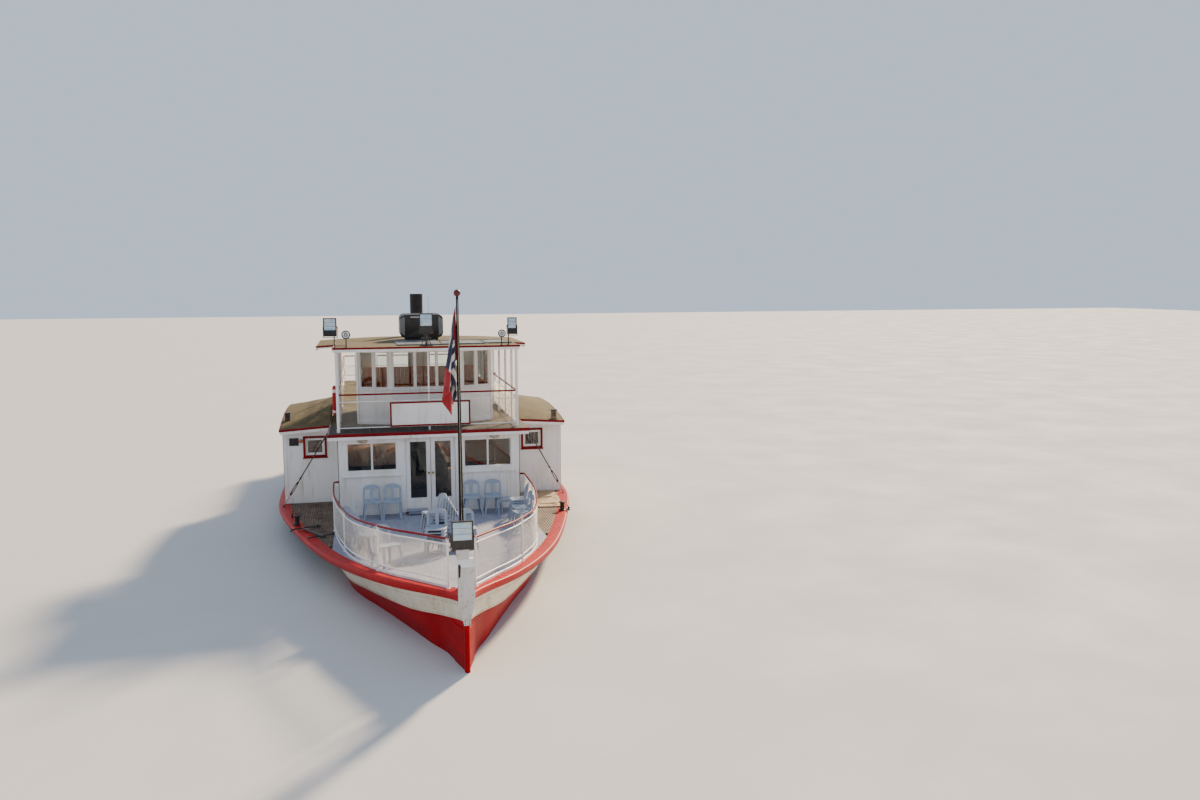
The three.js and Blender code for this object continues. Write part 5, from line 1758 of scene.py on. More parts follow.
    def lining(self) -> None:
        """Makes the saloon's varnished lining and its ceiling beams, seen through the windows."""
        maker = Maker()
        inside = self.half - self.wall - 0.004
        low, high = self.floor + 0.02, self.sill - 0.02
        for sign in (-1, 1):
            for y in steps(self.fore + 0.08, self.aft - 0.1, 108)[:-1]:
                if abs(y) >= 0.3:
                    maker.block((sign * inside, y + 0.002, low), (sign * (inside - 0.014), y + 0.117, high))
        for y, way in ((self.fore + self.wall, 1), (self.aft - self.wall, -1)):
            for x in steps(-2.18, 2.18, 36)[:-1]:
                if abs(x + 0.06) >= 0.75:
                    maker.block((x + 0.002, y + way * 0.003, low), (x + 0.119, y + way * 0.016, high))
        maker.piece("saloon_wainscot", [CEDAR], Slot.VARNISH, angle=50)
        beams = Maker()
        for y in steps(self.fore + 0.75, self.aft - 0.75, 15):
            beams.block((-2.1, y - 0.035, 2.64), (2.1, y + 0.035, 2.765))
        beams.piece("saloon_beams", [WHITE], Slot.WHITE, bevel=0.006, angle=50)

    def boiler(self) -> None:
        """Makes the casing of boiler and engine: lagging, hoops, the shaft's way through, a fire door."""
        maker = Maker()
        x, (low, high), arch = self.boiler_half, self.boiler_ends, 0.62
        crown = [(x * cos(a), self.boiler_top - arch + arch * sin(a)) for a in steps(0, pi, 16)]
        outline = [(-x, self.floor), (x, self.floor), *crown]
        for y0, y1 in ((low, -0.14), (0.14, high)):
            maker.plate(outline, y1 - y0, facing(0, y1, 0))
            for y in steps(y0 + 0.08, y1 - 0.08, 3):
                maker.plate(outline, 0.04, facing(0, y + 0.02, 0), 1)
        maker.block((-x, -0.15, self.floor), (x, 0.15, 0.98), 0)
        fire_door = [(0.0, 0.0), (0.24, 0.0), (0.24, 0.02), (0.2, 0.028), (0.03, 0.03), (0.03, 0.045),
                     (0, 0.045)]
        maker.turned(fire_door, facing(0, low, 1.22), 1, 24)
        maker.piece("boiler_and_engine", [BLACK, IRON], Slot.IRON, replaces=["engine"], bevel=0.004)

    def build(self) -> None:
        """Makes every piece of it."""
        dress(WHITE, "house_front", "house_aft", "house_port", "house_starboard")
        self.windows()
        self.doorways()
        self.trim()
        self.lights()
        self.doors()
        self.lining()
        self.boiler()


@dataclass(frozen=True)
class MainRoof(Assembly):
    """The main roof, which is the upper deck: canvas, fascia, walkway and the bare name board."""

    fore: float = -4.55
    aft: float = 9.0
    half: float = 2.48
    top: float = 2.83
    fascia: float = 0.15
    nose: float = 0.075
    walkway: float = -3.17

    def build(self) -> None:
        """Makes every piece of it."""
        dress(ROOF_BOARDS, "main_roof")
        maker = Maker()
        corners = ((-self.half, self.fore), (self.half, self.fore), (self.half, self.aft),
                   (-self.half, self.aft))
        path = [Vector((x, y, self.top + 0.002)) for x, y in corners]
        moulded(maker, path, self.fascia + 0.004, 0.012, 0, 1, True, self.nose)
        maker.piece("main_roof_fascia", [WHITE, RED], Slot.RED)
        self.canvas()
        self.board()

    def canvas(self) -> None:
        """Lays the canvas on the upper deck in lapped strips, and the walkway in front of the gallery."""
        maker = Maker()
        low, high, strips, half = self.walkway + 0.01, self.aft - 0.02, 13, self.half - 0.01
        span = (high - low) / strips
        for i in range(strips):
            y = low + i * span
            maker.block((-half, y, self.top),
                        (half, min(y + span + 0.03, high), self.top + 0.004 + 0.003 * (i % 2)))
        maker.piece("upper_deck_canvas", [CANVAS], Slot.ROOF)
        walkway = Maker()
        span = 2 * half / 5
        for i in range(5):
            x = i * span - half
            walkway.block((x, self.fore + 0.012, self.top),
                          (x + span - 0.003, self.walkway, self.top + 0.006))
        walkway.piece("gallery_walkway", [WALKED_CANVAS], Slot.ROOF, bevel=0.002)

    def board(self) -> None:
        """Makes the bare name board: a white panel in a red frame, held by screws to the rails."""
        node = Box.of("name_board")
        maker = Maker()
        place = facing(node.middle.x, node.high.y, node.middle.z)
        width, thick, height = node.size
        maker.plate(bar(width - 0.06, height - 0.06), thick - 0.012, place, 0)
        rounds = ((0.0, 0.0), (0.0, thick - 0.004), (0.006, thick), (0.028, thick), (0.036, thick - 0.006),
                  (0.042, thick - 0.012), (0.042, 0.004))
        maker.levels([(bar(width - 2 * inset, height - 2 * inset), z) for inset, z in rounds], place, 1,
                     True)
        for x in (-0.7, 0.0, 0.7):
            for y in (-height / 2 + 0.06, height / 2 - 0.06):
                maker.rivet(place @ Vector((x, y, thick - 0.012)), AHEAD, 0.008, 2)
        maker.piece("bare_name_board", [WHITE, RED, ZINC], Slot.WHITE, replaces=["name_board"], angle=30)


@dataclass(frozen=True)
class PaddleBoxes(Assembly):
    """The paddle boxes: walls, small framed windows, arched canvas roofs, and the wheels inside."""

    half: float = 2.556
    outer: float = 3.687
    house: float = 2.25
    floor: float = 0.745
    roof_half: float = 2.81
    roof_outer: float = 3.745
    roof_inner: float = 2.4803
    window: Row = (2.64, 3.14, 2.01, 2.47)
    shaft_z: float = 1.12
    wheel_faces: Pair = (2.54, 3.38)

    def roof_z(self, x: float, y: float) -> float:
        """The height of a box's roof, arched along the boat and falling to its outer edge."""
        t = (self.roof_outer - x) / (self.roof_outer - self.roof_inner)
        return 2.737 + 0.083 * t + (0.205 + 0.175 * t) * (1 - (y / self.roof_half) ** 2)

    def roof(self, side: Side) -> None:
        """Makes a box's roof: canvas over boards, with folds, a red moulding and a white edge board.

        Args:
            side: the side of the boat.
        """
        sign = side.value
        maker = Maker()
        xs = steps(self.roof_inner, self.roof_outer, 8)
        ys = steps(-self.roof_half, self.roof_half, 36)

        def fold(x: float, y: float) -> float:
            """How far the canvas stands off the boards."""
            return 0.006 * sin(x * 9 + y * 2.3) * sin(y * 5.1 - x * 3) + 0.002

        def edge(x: float, y: float) -> Vector:
            """A point of the line that a moulding follows."""
            return Vector((sign * x, y, self.roof_z(x, y) + 0.004))

        maker.loft([
            [Vector((sign * x, y, self.roof_z(x, y) + fold(x, y))) for x in xs]
            + [Vector((sign * x, y, self.roof_z(x, y) - 0.04)) for x in reversed(xs)]
            for y in ys
        ])
        fore, aft = ([edge(x, y) for x in (self.roof_inner, self.roof_outer)]
                     for y in (-self.roof_half, self.roof_half))
        rim = [edge(self.roof_outer, y) for y in ys]
        for path, depth in ((fore, 0.13), (rim, 0.1), (list(reversed(aft)), 0.13)):
            moulded(maker, path if sign > 0 else list(reversed(path)), depth, 0.012, 1, 2, nose=0.058)
        finishes = [CANVAS, WHITE, RED]
        maker.piece(f"{side.word}_box_roof", finishes, Slot.ROOF, replaces=[f"box_roof_{side.word}"],
                    angle=35)

    def openings(self, side: Side) -> None:
        """Makes a box's windows, fore and aft, in red casings with white sashes.

        Args:
            side: the side of the boat.
        """
        low, high, sill, head = self.window
        wood, glass = Maker(), Maker()
        for y, yaw in ((-self.half, 0), (self.half, 180)):
            place = facing(side.value * (low + high) / 2, y, (sill + head) / 2, yaw)
            window = Window(place, high - low, head - sill, casing=0.05, proud=0.032, sash=0.06, sill=0.045)
            window.make(wood, glass, 1, 0)
        wood.piece(f"{side.word}_box_windows", [WHITE, RED], Slot.RED, bevel=0.003, angle=50)
        glazing(f"{side.word}_box_window_glass", glass)

    def trim(self, side: Side) -> None:
        """Makes a box's corner boards, its cover strips and the board along its foot.

        Args:
            side: the side of the boat.
        """
        sign, proud = side.value, 0.014
        maker = Maker()

        def outside(low: float, high: float, foot: float, top: float) -> None:
            """Adds a board to the box's outer wall."""
            maker.block((sign * self.outer, low, foot), (sign * (self.outer + proud), high, top))

        for way in (-1, 1):
            y = way * self.half
            for x0, x1 in ((self.outer - 0.08, self.outer + proud), (self.house + 0.02, self.house + 0.08)):
                maker.block((sign * x0, y, self.floor), (sign * x1, y + way * proud, 2.6))
            outside(y - way * 0.08, y + way * proud, self.floor, 2.66)
        for y in steps(-1.9, 1.9, 4):
            outside(y - 0.03, y + 0.03, 0.9, 2.72)
        outside(-self.half, self.half, self.floor, 0.9)
        maker.piece(f"{side.word}_box_trim", [WHITE], Slot.WHITE, bevel=0.003, angle=50)

    def fittings(self) -> None:
        """Makes the louvre and the signal lamp on the starboard box, and the vents on both roofs."""
        vent = Maker()
        place = facing(-3.42, -self.half, 2.38)
        vent.ring(bar(0.24, 0.2), bar(0.2, 0.16), 0.022, place)
        for y in steps(-0.07, 0.07, 6):
            vent.block((-0.1, y - 0.004, 0.001), (0.1, y + 0.012, 0.014), 0, place)
        vent.plate(bar(0.21, 0.17), 0.002, place, 1)
        vent.piece("starboard_box_louvre", [BLACK, FUNNEL_BLACK], Slot.BLACK, bevel=0.002)
        lamp = Maker()
        spot = facing(-3.24, -self.half, 2.4)
        lamp.turned([(0, 0), (0.05, 0), (0.05, 0.02), (0.03, 0.03), (0, 0.03)], spot, 0, 16)
        lamp.turned([(0.034, 0.028), (0.048, 0.035), (0.05, 0.07), (0.035, 0.1), (0, 0.108)], spot, 1, 16)
        lamp.turned([(0.052, 0.03), (0.056, 0.03), (0.056, 0.045), (0.052, 0.045)], spot, 0, 16)
        lamp.piece("starboard_signal_lamp", [ZINC, AMBER], Slot.STEEL)
        cowls = Maker()
        # The starboard vent is drawn all in black enamel as painted shade, as that roof lies in shade; the
        # port one is brown-grey with a black cap
        for x, y, high, tone in ((3.49, -2.68, 0.25, 0), (-3.6, -1.9, 0.2, 1)):
            base = at(x, y, self.roof_z(abs(x), y) - 0.02)
            for wide, foot, top, shade in ((0.13, 0, high, tone), (0.155, 0, 0.035, tone),
                                           (0.16, high, high + 0.035, 1)):
                cowls.plate(bar(wide, wide), top - foot, base @ at(z=foot), shade)
            for z in steps(0.1, high - 0.04, 4):
                cowls.block((-0.05, -0.074, z), (0.05, -0.06, z + 0.012), 1, base)
        cowls.piece("box_roof_vents", [VENT_BROWN, BLACK], Slot.BLACK, bevel=0.005)

    def wheels(self) -> None:
        """Dresses the shaft and the wheels, and bolts the floats to their arms."""
        dress(IRON, "paddle_shaft")
        dress(WHEEL_RED, "paddle_wheel_port", "paddle_wheel_starboard")
        hub = [(0.262, -0.012), (0.262, 0.012), (0.21, 0.02), (0.12, 0.026), (0.0765, 0.026),
               (0.0765, -0.012)]
        for side in Side:
            maker = Maker()
            for x in self.wheel_faces:
                place = facing(side.value * x, 0, self.shaft_z, 90 * side.value)
                maker.levels([(circle(radius, 24), height) for radius, height in hub], place, 0, True)
                out = Vector((side.value if x > self.wheel_faces[0] else -side.value, 0, 0))
                for i in range(10):
                    turn = TURN * i / 10
                    for reach in (1.02, 1.14, 1.34, 1.48):
                        spot = (side.value * (x + 0.02), -reach * sin(turn),
                                self.shaft_z + reach * cos(turn))
                        maker.rivet(Vector(spot), out, 0.016)
            maker.piece(f"{side.word}_wheel_hubs", [IRON], Slot.IRON, "paddles")

    def build(self) -> None:
        """Makes every piece of it."""
        dress(WHITE, "box_walls_port", "box_walls_starboard")
        for side in Side:
            self.roof(side)
            self.openings(side)
            self.trim(side)
        self.fittings()
        self.wheels()


# Upper cabin and what stands on its roof


@dataclass(frozen=True)
class Cabin(Assembly):
    """The upper cabin: bowed front of seven panes, cedar lining, doors, bench and steering."""

    fore: float = -3.2
    shoulder: float = -2.85
    face: float = 0.9
    half: float = 1.75
    aft: float = 0.1
    wall: float = 0.05
    floor: float = 2.831
    sill: float = 3.8
    head: float = 4.74
    low_head: float = 4.64
    front_panes: tuple[Pair, ...] = ((-0.84, -0.3), (-0.26, 0.26), (0.3, 0.84))
    bowed_panes: tuple[Pair, ...] = ((0.09, 0.43), (0.5, 0.84))
    side_panes: tuple[Pair, ...] = ((-1.7, -1.05), (-0.8, -0.15))

    def openings(self) -> list[Window]:
        """The cabin's windows.

        Returns:
            The windows, from the front aft.
        """
        middle, tall = (self.sill + self.head) / 2, self.head - self.sill
        frame = {"casing": 0.02, "proud": 0.016, "sash": 0.014, "sill": 0.0, "wall": self.wall}
        windows = [Window(facing((a + b) / 2, self.fore, middle), b - a, tall, **frame)
                   for a, b in self.front_panes]
        slope = atan2(self.shoulder - self.fore, self.half - self.face)
        middle, low = (self.sill + self.low_head) / 2, self.low_head - self.sill
        for side in Side:
            for a, b in self.bowed_panes:
                run = (a + b) / 2
                x, y = self.face + run * cos(slope), self.fore + run * sin(slope)
                place = facing(side.value * x, y, (self.sill + self.head) / 2, degrees(slope) * side.value)
                windows.append(Window(place, b - a, tall, **frame))
            for a, b in self.side_panes:
                place = facing(side.value * self.half, (a + b) / 2, middle, 90 * side.value)
                windows.append(Window(place, b - a, low, **{**frame, "casing": 0.06}))
            place = facing(side.value * 0.8, self.aft, middle, 180)
            windows.append(Window(place, 1.0, low, **{**frame, "casing": 0.06}))
        return windows

    def joinery(self) -> None:
        """Makes the windows, the sill ledge and the corner posts of the bowed front."""
        wood, glass = Maker(), Maker()
        for window in self.openings():
            window.make(wood, glass)
        bow = [(self.half, self.shoulder + 0.04), (self.half, self.shoulder), (self.face, self.fore)]
        front = [(-x, y) for x, y in bow] + list(reversed(bow))
        runs = (
            (self.sill - 0.035,
             [(0.0, -0.02), (0.045, -0.02), (0.05, -0.012), (0.045, 0.008), (0.0, 0.014)]),
            (self.floor + 0.02, [(0.0, -0.01), (0.018, -0.01), (0.018, 0.1), (0.012, 0.11), (0.0, 0.11)]),
        )
        for z, section in runs:
            wood.sweep([Vector((x, y, z)) for x, y in front], section)
        for side in Side:
            for x, y, yaw in ((self.face, self.fore, 12), (self.half, self.shoulder, 56)):
                place = facing(side.value * x, y, self.floor + 0.02, yaw * side.value)
                wood.block((-0.035, 0, -0.02), (0.035, 1.975, 0.016), 0, place)
        wood.piece("cabin_joinery", [WHITE], Slot.WHITE, bevel=0.003)
        glazing("cabin_window_glass", glass)

    def lining(self) -> None:
        """Lines the cabin with cedar boards up to the windows, and sets the bench with its tall back."""
        maker = Maker()
        inside, top, low = self.half - self.wall - 0.004, self.sill - 0.03, self.floor + 0.02
        for sign in SIGNS:
            for y in steps(-1.88, self.aft - 0.08, 17)[:-1]:
                maker.block((sign * inside, y + 0.0015, low), (sign * (inside - 0.012), y + 0.109, top))
        for x in steps(-inside, inside, 31)[:-1]:
            maker.block((x + 0.0015, self.aft - 0.068, low), (x + 0.108, self.aft - 0.056, top))
        maker.block((-inside, self.aft - 0.085, top), (inside, self.aft - 0.052, top + 0.03))
        maker.piece("cabin_lining", [CEDAR], Slot.VARNISH, angle=50)
        bench = Maker()
        back, seat, tall = self.aft - 0.1, 3.27, 4.05
        bench.block((-inside + 0.03, back - 0.42, seat), (inside - 0.03, back, seat + 0.03))
        for x in steps(-1.5, 1.5, 4):
            bench.block((x - 0.02, back - 0.4, self.floor + 0.005), (x + 0.02, back, seat))
        for x in steps(-1.62, 1.62, 27)[:-1]:
            bench.block((x + 0.001, back - 0.035, seat + 0.06), (x + 0.119, back - 0.015, tall))
        bench.block((-1.64, back - 0.05, tall), (1.64, back - 0.005, tall + 0.035))
        bench.piece("cabin_bench", [CEDAR], Slot.VARNISH, bevel=0.003, angle=50)

    def doors(self) -> None:
        """Dresses the cabin doors and gives each its glass."""
        for side in Side:
            name, sign = f"cabin_door_{side.word}", side.value
            dress(CEDAR, name)
            leaf = Box.of(name)
            outer = leaf.high.x if side is Side.PORT else leaf.low.x
            span = sorted((sign * (leaf.low.y + 0.1), sign * (leaf.high.y - 0.09)))
            place = facing(outer - sign * 0.0035, 0, leaf.low.z, 90 * sign)
            leaf_trim(name, (*span, 0.94, 1.64), 0.012, 0.036, place, sign * (leaf.high.y - 0.05), CEDAR)

    def steering(self) -> None:
        """Makes the steering wheel, turned spokes and rim with brass, and its pedestal."""
        box = Box.of("steering_pedestal")
        stand = Maker()
        foot, head = box.low.z, box.high.z
        for low, high, grow in ((foot, foot + 0.1, 1.0), (foot + 0.1, head - 0.06, 0.86),
                                (head - 0.06, head, 1.0)):
            place = at(box.middle.x, box.middle.y, low)
            stand.plate(bar(box.size.x * grow, box.size.y * grow), high - low, place)
        stand.piece("steering_stand", [CEDAR], Slot.VARNISH, replaces=["steering_pedestal"], bevel=0.008)
        wheel = Maker()
        centre = Vector((0, box.high.y + 0.06, 3.7))
        rim = [(0.37, -0.014), (0.37, 0.014), (0.358, 0.022), (0.322, 0.022), (0.31, 0.014), (0.31, -0.014),
               (0.322, -0.022),
               (0.358, -0.022)]
        around = facing(*centre)
        wheel.levels([(circle(reach, 48), depth) for reach, depth in rim], around, 0, True)
        spoke = [(0.0, 0.0), (0.016, 0.05), (0.02, 0.12), (0.012, 0.17), (0.019, 0.24), (0.013, 0.3),
                 (0.013, 0.37),
                 (0.012, 0.375), (0.018, 0.39), (0.0145, 0.415), (0.0, 0.42)]
        for i in range(8):
            wheel.turned(spoke, at(*centre) @ Matrix.Rotation(TURN * i / 8, 4, "Y"), 0, 10)
        hub = [(0.0, -0.04), (0.02, -0.04), (0.055, -0.038), (0.06, 0), (0.055, 0.04), (0.04, 0.0595),
               (0.0, 0.0595)]
        wheel.turned(hub, around, 1, 20)
        wheel.piece("ships_wheel", [CEDAR, BRASS], Slot.VARNISH, "steering_wheel", ["steering_wheel"])

    def build(self) -> None:
        """Makes every piece of it."""
        dress(WHITE, "cabin_front", "cabin_port", "cabin_starboard", "cabin_aft")
        self.joinery()
        self.lining()
        self.doors()
        self.steering()


@dataclass(frozen=True)
class Flood:
    """A flood lamp: a finned case whose glass is over a black lower part, in a stirrup."""

    maker: Maker
    place: Matrix
    width: float
    height: float
    depth: float
    chin: float

    def make(self) -> None:
        """Adds the lamp; its place is the middle of its front face, its tones are black and lens."""
        maker = self.maker
        w, h, back = self.width / 2, self.height / 2, -self.depth
        rim, set_back = 0.022, -0.03
        low = -h + rim + self.chin
        maker.ring(bar(self.width, self.height), bar(self.width - 2 * rim, self.height - 2 * rim),
                   -set_back,
                   self.place @ at(z=set_back))
        case = ((1.0, set_back), (0.97, set_back - 0.006), (0.97, 0.55 * back), (0.8, back + 0.004),
                (0.7, back))
        maker.levels([(bar(self.width * s, self.height * s), z) for s, z in case], self.place)
        for x in steps(-w * 0.7, w * 0.7, 5):
            maker.block((x - 0.004, -h * 0.62, back), (x + 0.004, h * 0.62, back / 2), 0, self.place)
        maker.block((rim - w, rim - h, -0.026), (w - rim, low, -0.006), 0, self.place)
        maker.block((rim - w, low, -0.022), (w - rim, h - rim, -0.014), 1, self.place)
        for y in steps(low, h - rim, 3)[1:-1]:
            maker.block((rim - w, y - 0.002, -0.014), (w - rim, y + 0.002, -0.011), 0, self.place)
        pivot = [(0, 0), (0.024, 0), (0.024, 0.012), (0, 0.014)]
        for sign in (-1, 1):
            maker.turned(pivot, self.place @ at(sign * w, 0, back / 2, 90 * sign, "Y"), 0, 12)
        stirrup = [(-w - 0.01, 0), (-w - 0.01, -h - 0.03), (w + 0.01, -h - 0.03), (w + 0.01, 0)]
        maker.sweep([self.place @ Vector((x, y, back / 2)) for x, y in stirrup], bar(0.02, 0.02))


@dataclass(frozen=True)
class TopRoof(Assembly):
    """The roof over gallery and cabin, with the lamps, the cooler, the collectors and the funnel."""

    fore: float = -4.35
    step: float = -2.1
    aft: float = 0.6
    half: float = 2.3
    wide: float = 2.79
    top: float = 4.94
    camber: float = 0.09
    fascia_depth: float = 0.11
    lamp_y: float = -4.24
    funnel_y: float = 0.8
    funnel_top: float = 6.18

    def crown(self, x: float) -> float:
        """The height of the wide part of the roof."""
        return self.top - self.camber * (x / self.wide) ** 2

    def fascia(self) -> None:
        """Makes the white boards and red mouldings round the roof."""
        maker = Maker()
        corners = ((-self.half, self.step), (-self.half, self.fore), (self.half, self.fore),
                   (self.half, self.step))
        moulded(maker, [Vector((x, y, self.top + 0.002)) for x, y in corners], self.fascia_depth + 0.002,
                0.012, 0, 1)
        for sign in SIGNS:
            ends = [Vector((sign * self.wide, y, self.crown(self.wide) + 0.002))
                    for y in (self.step, self.aft)]
            moulded(maker, ends if sign > 0 else list(reversed(ends)), self.fascia_depth + 0.002, 0.006, 0,
                    1)
        arc = [(x, self.crown(x) + 0.002) for x in steps(-self.wide, self.wide, 18)]
        for y, row in ((self.step, arc), (self.aft, list(reversed(arc)))):
            moulded(maker, [Vector((x, y, z)) for x, z in row], 0.075, 0.01, 0, 1)
        maker.piece("top_roof_fascia", [WHITE, RED], Slot.RED)

    def canvas(self) -> None:
        """Lays the canvas and the flat rubber collectors on the roof."""
        dress(ROOF_BOARDS, "top_roof")
        maker = Maker()
        parts = (
            (self.half - 0.015, 10, self.fore + 0.02, self.step + 0.03, lambda x: self.top),
            (self.wide - 0.015, 20, self.step + 0.03, self.aft - 0.02, self.crown),
        )
        for half, columns, low, high, height in parts:
            xs, rows = steps(-half, half, columns), []
            for y in steps(low, high, 8):
                upper = [(x, y, height(x) + 0.006 + 0.003 * sin(4 * x + y) * sin(3 * y)) for x in xs]
                rows.append(upper + [(x, y, height(x) - 0.001) for x in reversed(xs)])
            maker.loft(rows)
        maker.piece("top_roof_canvas", [CANVAS], Slot.ROOF)
        sheets = Maker()
        for x0, x1, y0, y1, turn in ((-0.75, 0.35, -3.9, -2.2, 1.5), (0.42, 1.5, -3.8, -2.3, -2),
                                     (1.56, 2.15, -3.6, -2.25, 3)):
            middle = at((x0 + x1) / 2, (y0 + y1) / 2, self.top + 0.009, turn)
            width, run = x1 - x0, y1 - y0
            for x in steps(-width / 2, width / 2, ceil(width / 0.045))[:-1]:
                sheets.block((x, -run / 2, 0), (x + 0.041, run / 2, 0.012), 0, middle)
            for y in (-run / 2, run / 2):
                ends = [middle @ Vector((x, y, 0.012)) for x in (-width / 2 - 0.03, width / 2 + 0.03)]
                sheets.tube(ends, 0.019)
        sheets.piece("roof_collectors", [COLLECTOR], Slot.BLACK)

    def cooler(self) -> None:
        """Makes the cooler: a case with round corners and pale ribbed ends on its plinth."""
        box = Box.of("cooler")
        maker = Maker()
        plinth, corner, w, deep = 0.075, 0.15, box.size.x / 2, box.size.y
        h = box.size.z - plinth
        around = []
        for cx, cz, first in ((w - corner, corner, -90), (w - corner, h - corner, 0),
                              (corner - w, h - corner, 90),
                              (corner - w, corner, 180)):
            for i in range(7):
                turn = radians(first + 15 * i)
                around.append((cx + corner * cos(turn), cz - h / 2 + corner * sin(turn)))
        place = facing(box.middle.x, box.high.y, box.high.z - h / 2)
        levels = [(0.0, 0.93), (0.012, 0.98), (0.03, 1.0)]
        for k in range(9):
            levels += [(0.09 * k + depth, share)
                       for depth, share in ((0.05, 1.0), (0.056, 0.978), (0.08, 0.978), (0.086, 1.0))]
        levels += [(deep - 0.012, 0.985), (deep - 0.001, 0.95)]
        maker.levels([([(x * s, z * s) for x, z in around], depth) for depth, s in levels], place)
        for sign in (-1, 1):
            for x in steps(w - 0.12, w - 0.03, 3):
                tall = h / 2 - 0.05 - max(0.0, x - w + corner) * 0.7
                maker.block((sign * x - 0.006, -tall, deep - 0.004), (sign * x + 0.006, tall, deep), 1,
                            place)
        lip = [(x * 0.96, z * 0.96) for x, z in around if z > h / 2 - corner * 0.5]
        maker.sweep([place @ Vector((x, z, deep)) for x, z in lip], bar(0.008, 0.008), 1)
        maker.block((-0.3, h / 2 - 0.1, deep - 0.003), (-0.02, h / 2 - 0.065, deep), 1, place)
        half = 0.45
        maker.block((-half, box.low.y + 0.1, box.low.z),
                    (half, box.high.y - 0.1, box.low.z + plinth + 0.02))
        maker.piece("roof_cooler", [BLACK, ZINC], Slot.BLACK, replaces=["cooler"], bevel=0.003, angle=30)

    def round_lamp(self, maker: Maker, place: Matrix, radius: float) -> None:
        """Adds a round lamp: a spun bowl with a black lip, a bright ring, a domed lens and a small pale
        dome at its middle.

        Args:
            maker: the piece that takes it.
            place: the middle of its face.
            radius: its radius.
        """
        bowl = ((0.0, -0.15), (0.5, -0.148), (0.75, -0.1), (0.97, -0.03), (1.0, -0.008), (0.98, 0.012),
                (0.75, 0.012), (0.73, 0))
        lens = ((0.5, 0.001), (0.42, 0.006), (0.25, 0.01), (0.0, 0.012))
        # The small pale dome in the lens's middle stands for the bright spot seen there
        spot = ((0.2, 0.008), (0.15, 0.02), (0.0, 0.024))
        for profile, tone in ((bowl, 0), (lens, 3), (spot, 1)):
            maker.turned([(radius * share, depth) for share, depth in profile], place, tone, 28)
        rim = ((0.74, -0.004), (0.74, 0.01), (0.6, 0.006), (0.48, 0.002), (0.48, -0.004))
        maker.levels([(circle(radius * share, 28), depth) for share, depth in rim], place, 2, True)

    def lamps(self) -> None:
        """Makes the pairs of lamps on the roof's front edge, with their posts and the bar between them."""
        base = self.top + 0.001
        rows = (
            ("starboard", -2.355, 0.34, 0.45, 0.285, 0.13, -2.26, -1.98, 0.108, 0.32),
            ("port", 2.125, 0.26, 0.427, 0.277, 0.13, 2.04, 1.865, 0.1, 0.3),
        )
        for name, x, width, height, rise, chin, post, round_x, radius, round_z in rows:
            maker = Maker()
            front = self.lamp_y - 0.078
            face = facing(x, front, base + rise + height / 2, -6)
            Flood(maker, face, width - 0.02, height, 0.15, chin).make()
            self.round_lamp(maker, facing(round_x, self.lamp_y - 0.07, base + round_z), radius)
            for px, high in ((post, rise), (round_x, round_z - radius * 0.6)):
                maker.tube([(px, self.lamp_y, base), (px, self.lamp_y, base + high)], 0.014, 0, 10)
                maker.foot(at(px, self.lamp_y, base), 0.04)
            maker.tube([(post, self.lamp_y, base + 0.048), (round_x, self.lamp_y, base + 0.048)], 0.008)
            finishes = [FUNNEL_BLACK, LENS, REFLECTOR, DARK_LENS]
            maker.piece(f"{name}_roof_lamps", finishes, Slot.BLACK, replaces=[f"roof_lamps_{name}"],
                        bevel=0.002, angle=35)

    def centre_lamp(self) -> None:
        """Makes the large lamp in the middle, on its swivel post with the worm gear and legs."""
        maker = Maker()
        box, base = Box.of("roof_lamp_centre"), self.top + 0.001
        x, y, rise = box.middle.x, box.middle.y, 0.343
        size = (box.size.x - 0.03, box.high.z - base - rise, box.size.y - 0.01)
        Flood(maker, facing(x, box.low.y + 0.003, base + rise + size[1] / 2), *size, 0.15).make()
        maker.tube([(x, y, base), (x, y, base + rise)], 0.02, 0, 12)
        for px, bend in ((-0.13, 0.03), (0.13, -0.03), (0.06, 0.05)):
            legs = ((px, 0.04, 0), (px * 0.6, 0, 0.14), (px * 0.5 + bend, 0, rise))
            maker.tube([(x + dx, y + dy, base + dz) for dx, dy, dz in legs], 0.01)
        for z, reach in ((0.05, 0.03), (0.12, 0.045), (0.2, 0.03), (0.28, 0.05)):
            maker.turned([(0.018, 0), (reach, 0.004), (reach, 0.03), (0.018, 0.036)], at(x, y, base + z), 0,
                         14)
        for half, low, thick in ((0.16, 0.0, 0.02), (0.13, 0.19, 0.025), (0.17, 0.31, 0.02)):
            maker.block((x - half, y - 0.03, base + low), (x + half, y + 0.03, base + low + thick))
        finishes = [BLACK, LENS]
        maker.piece("centre_roof_lamp", finishes, Slot.BLACK, replaces=["roof_lamp_centre"], bevel=0.002,
                    angle=35)

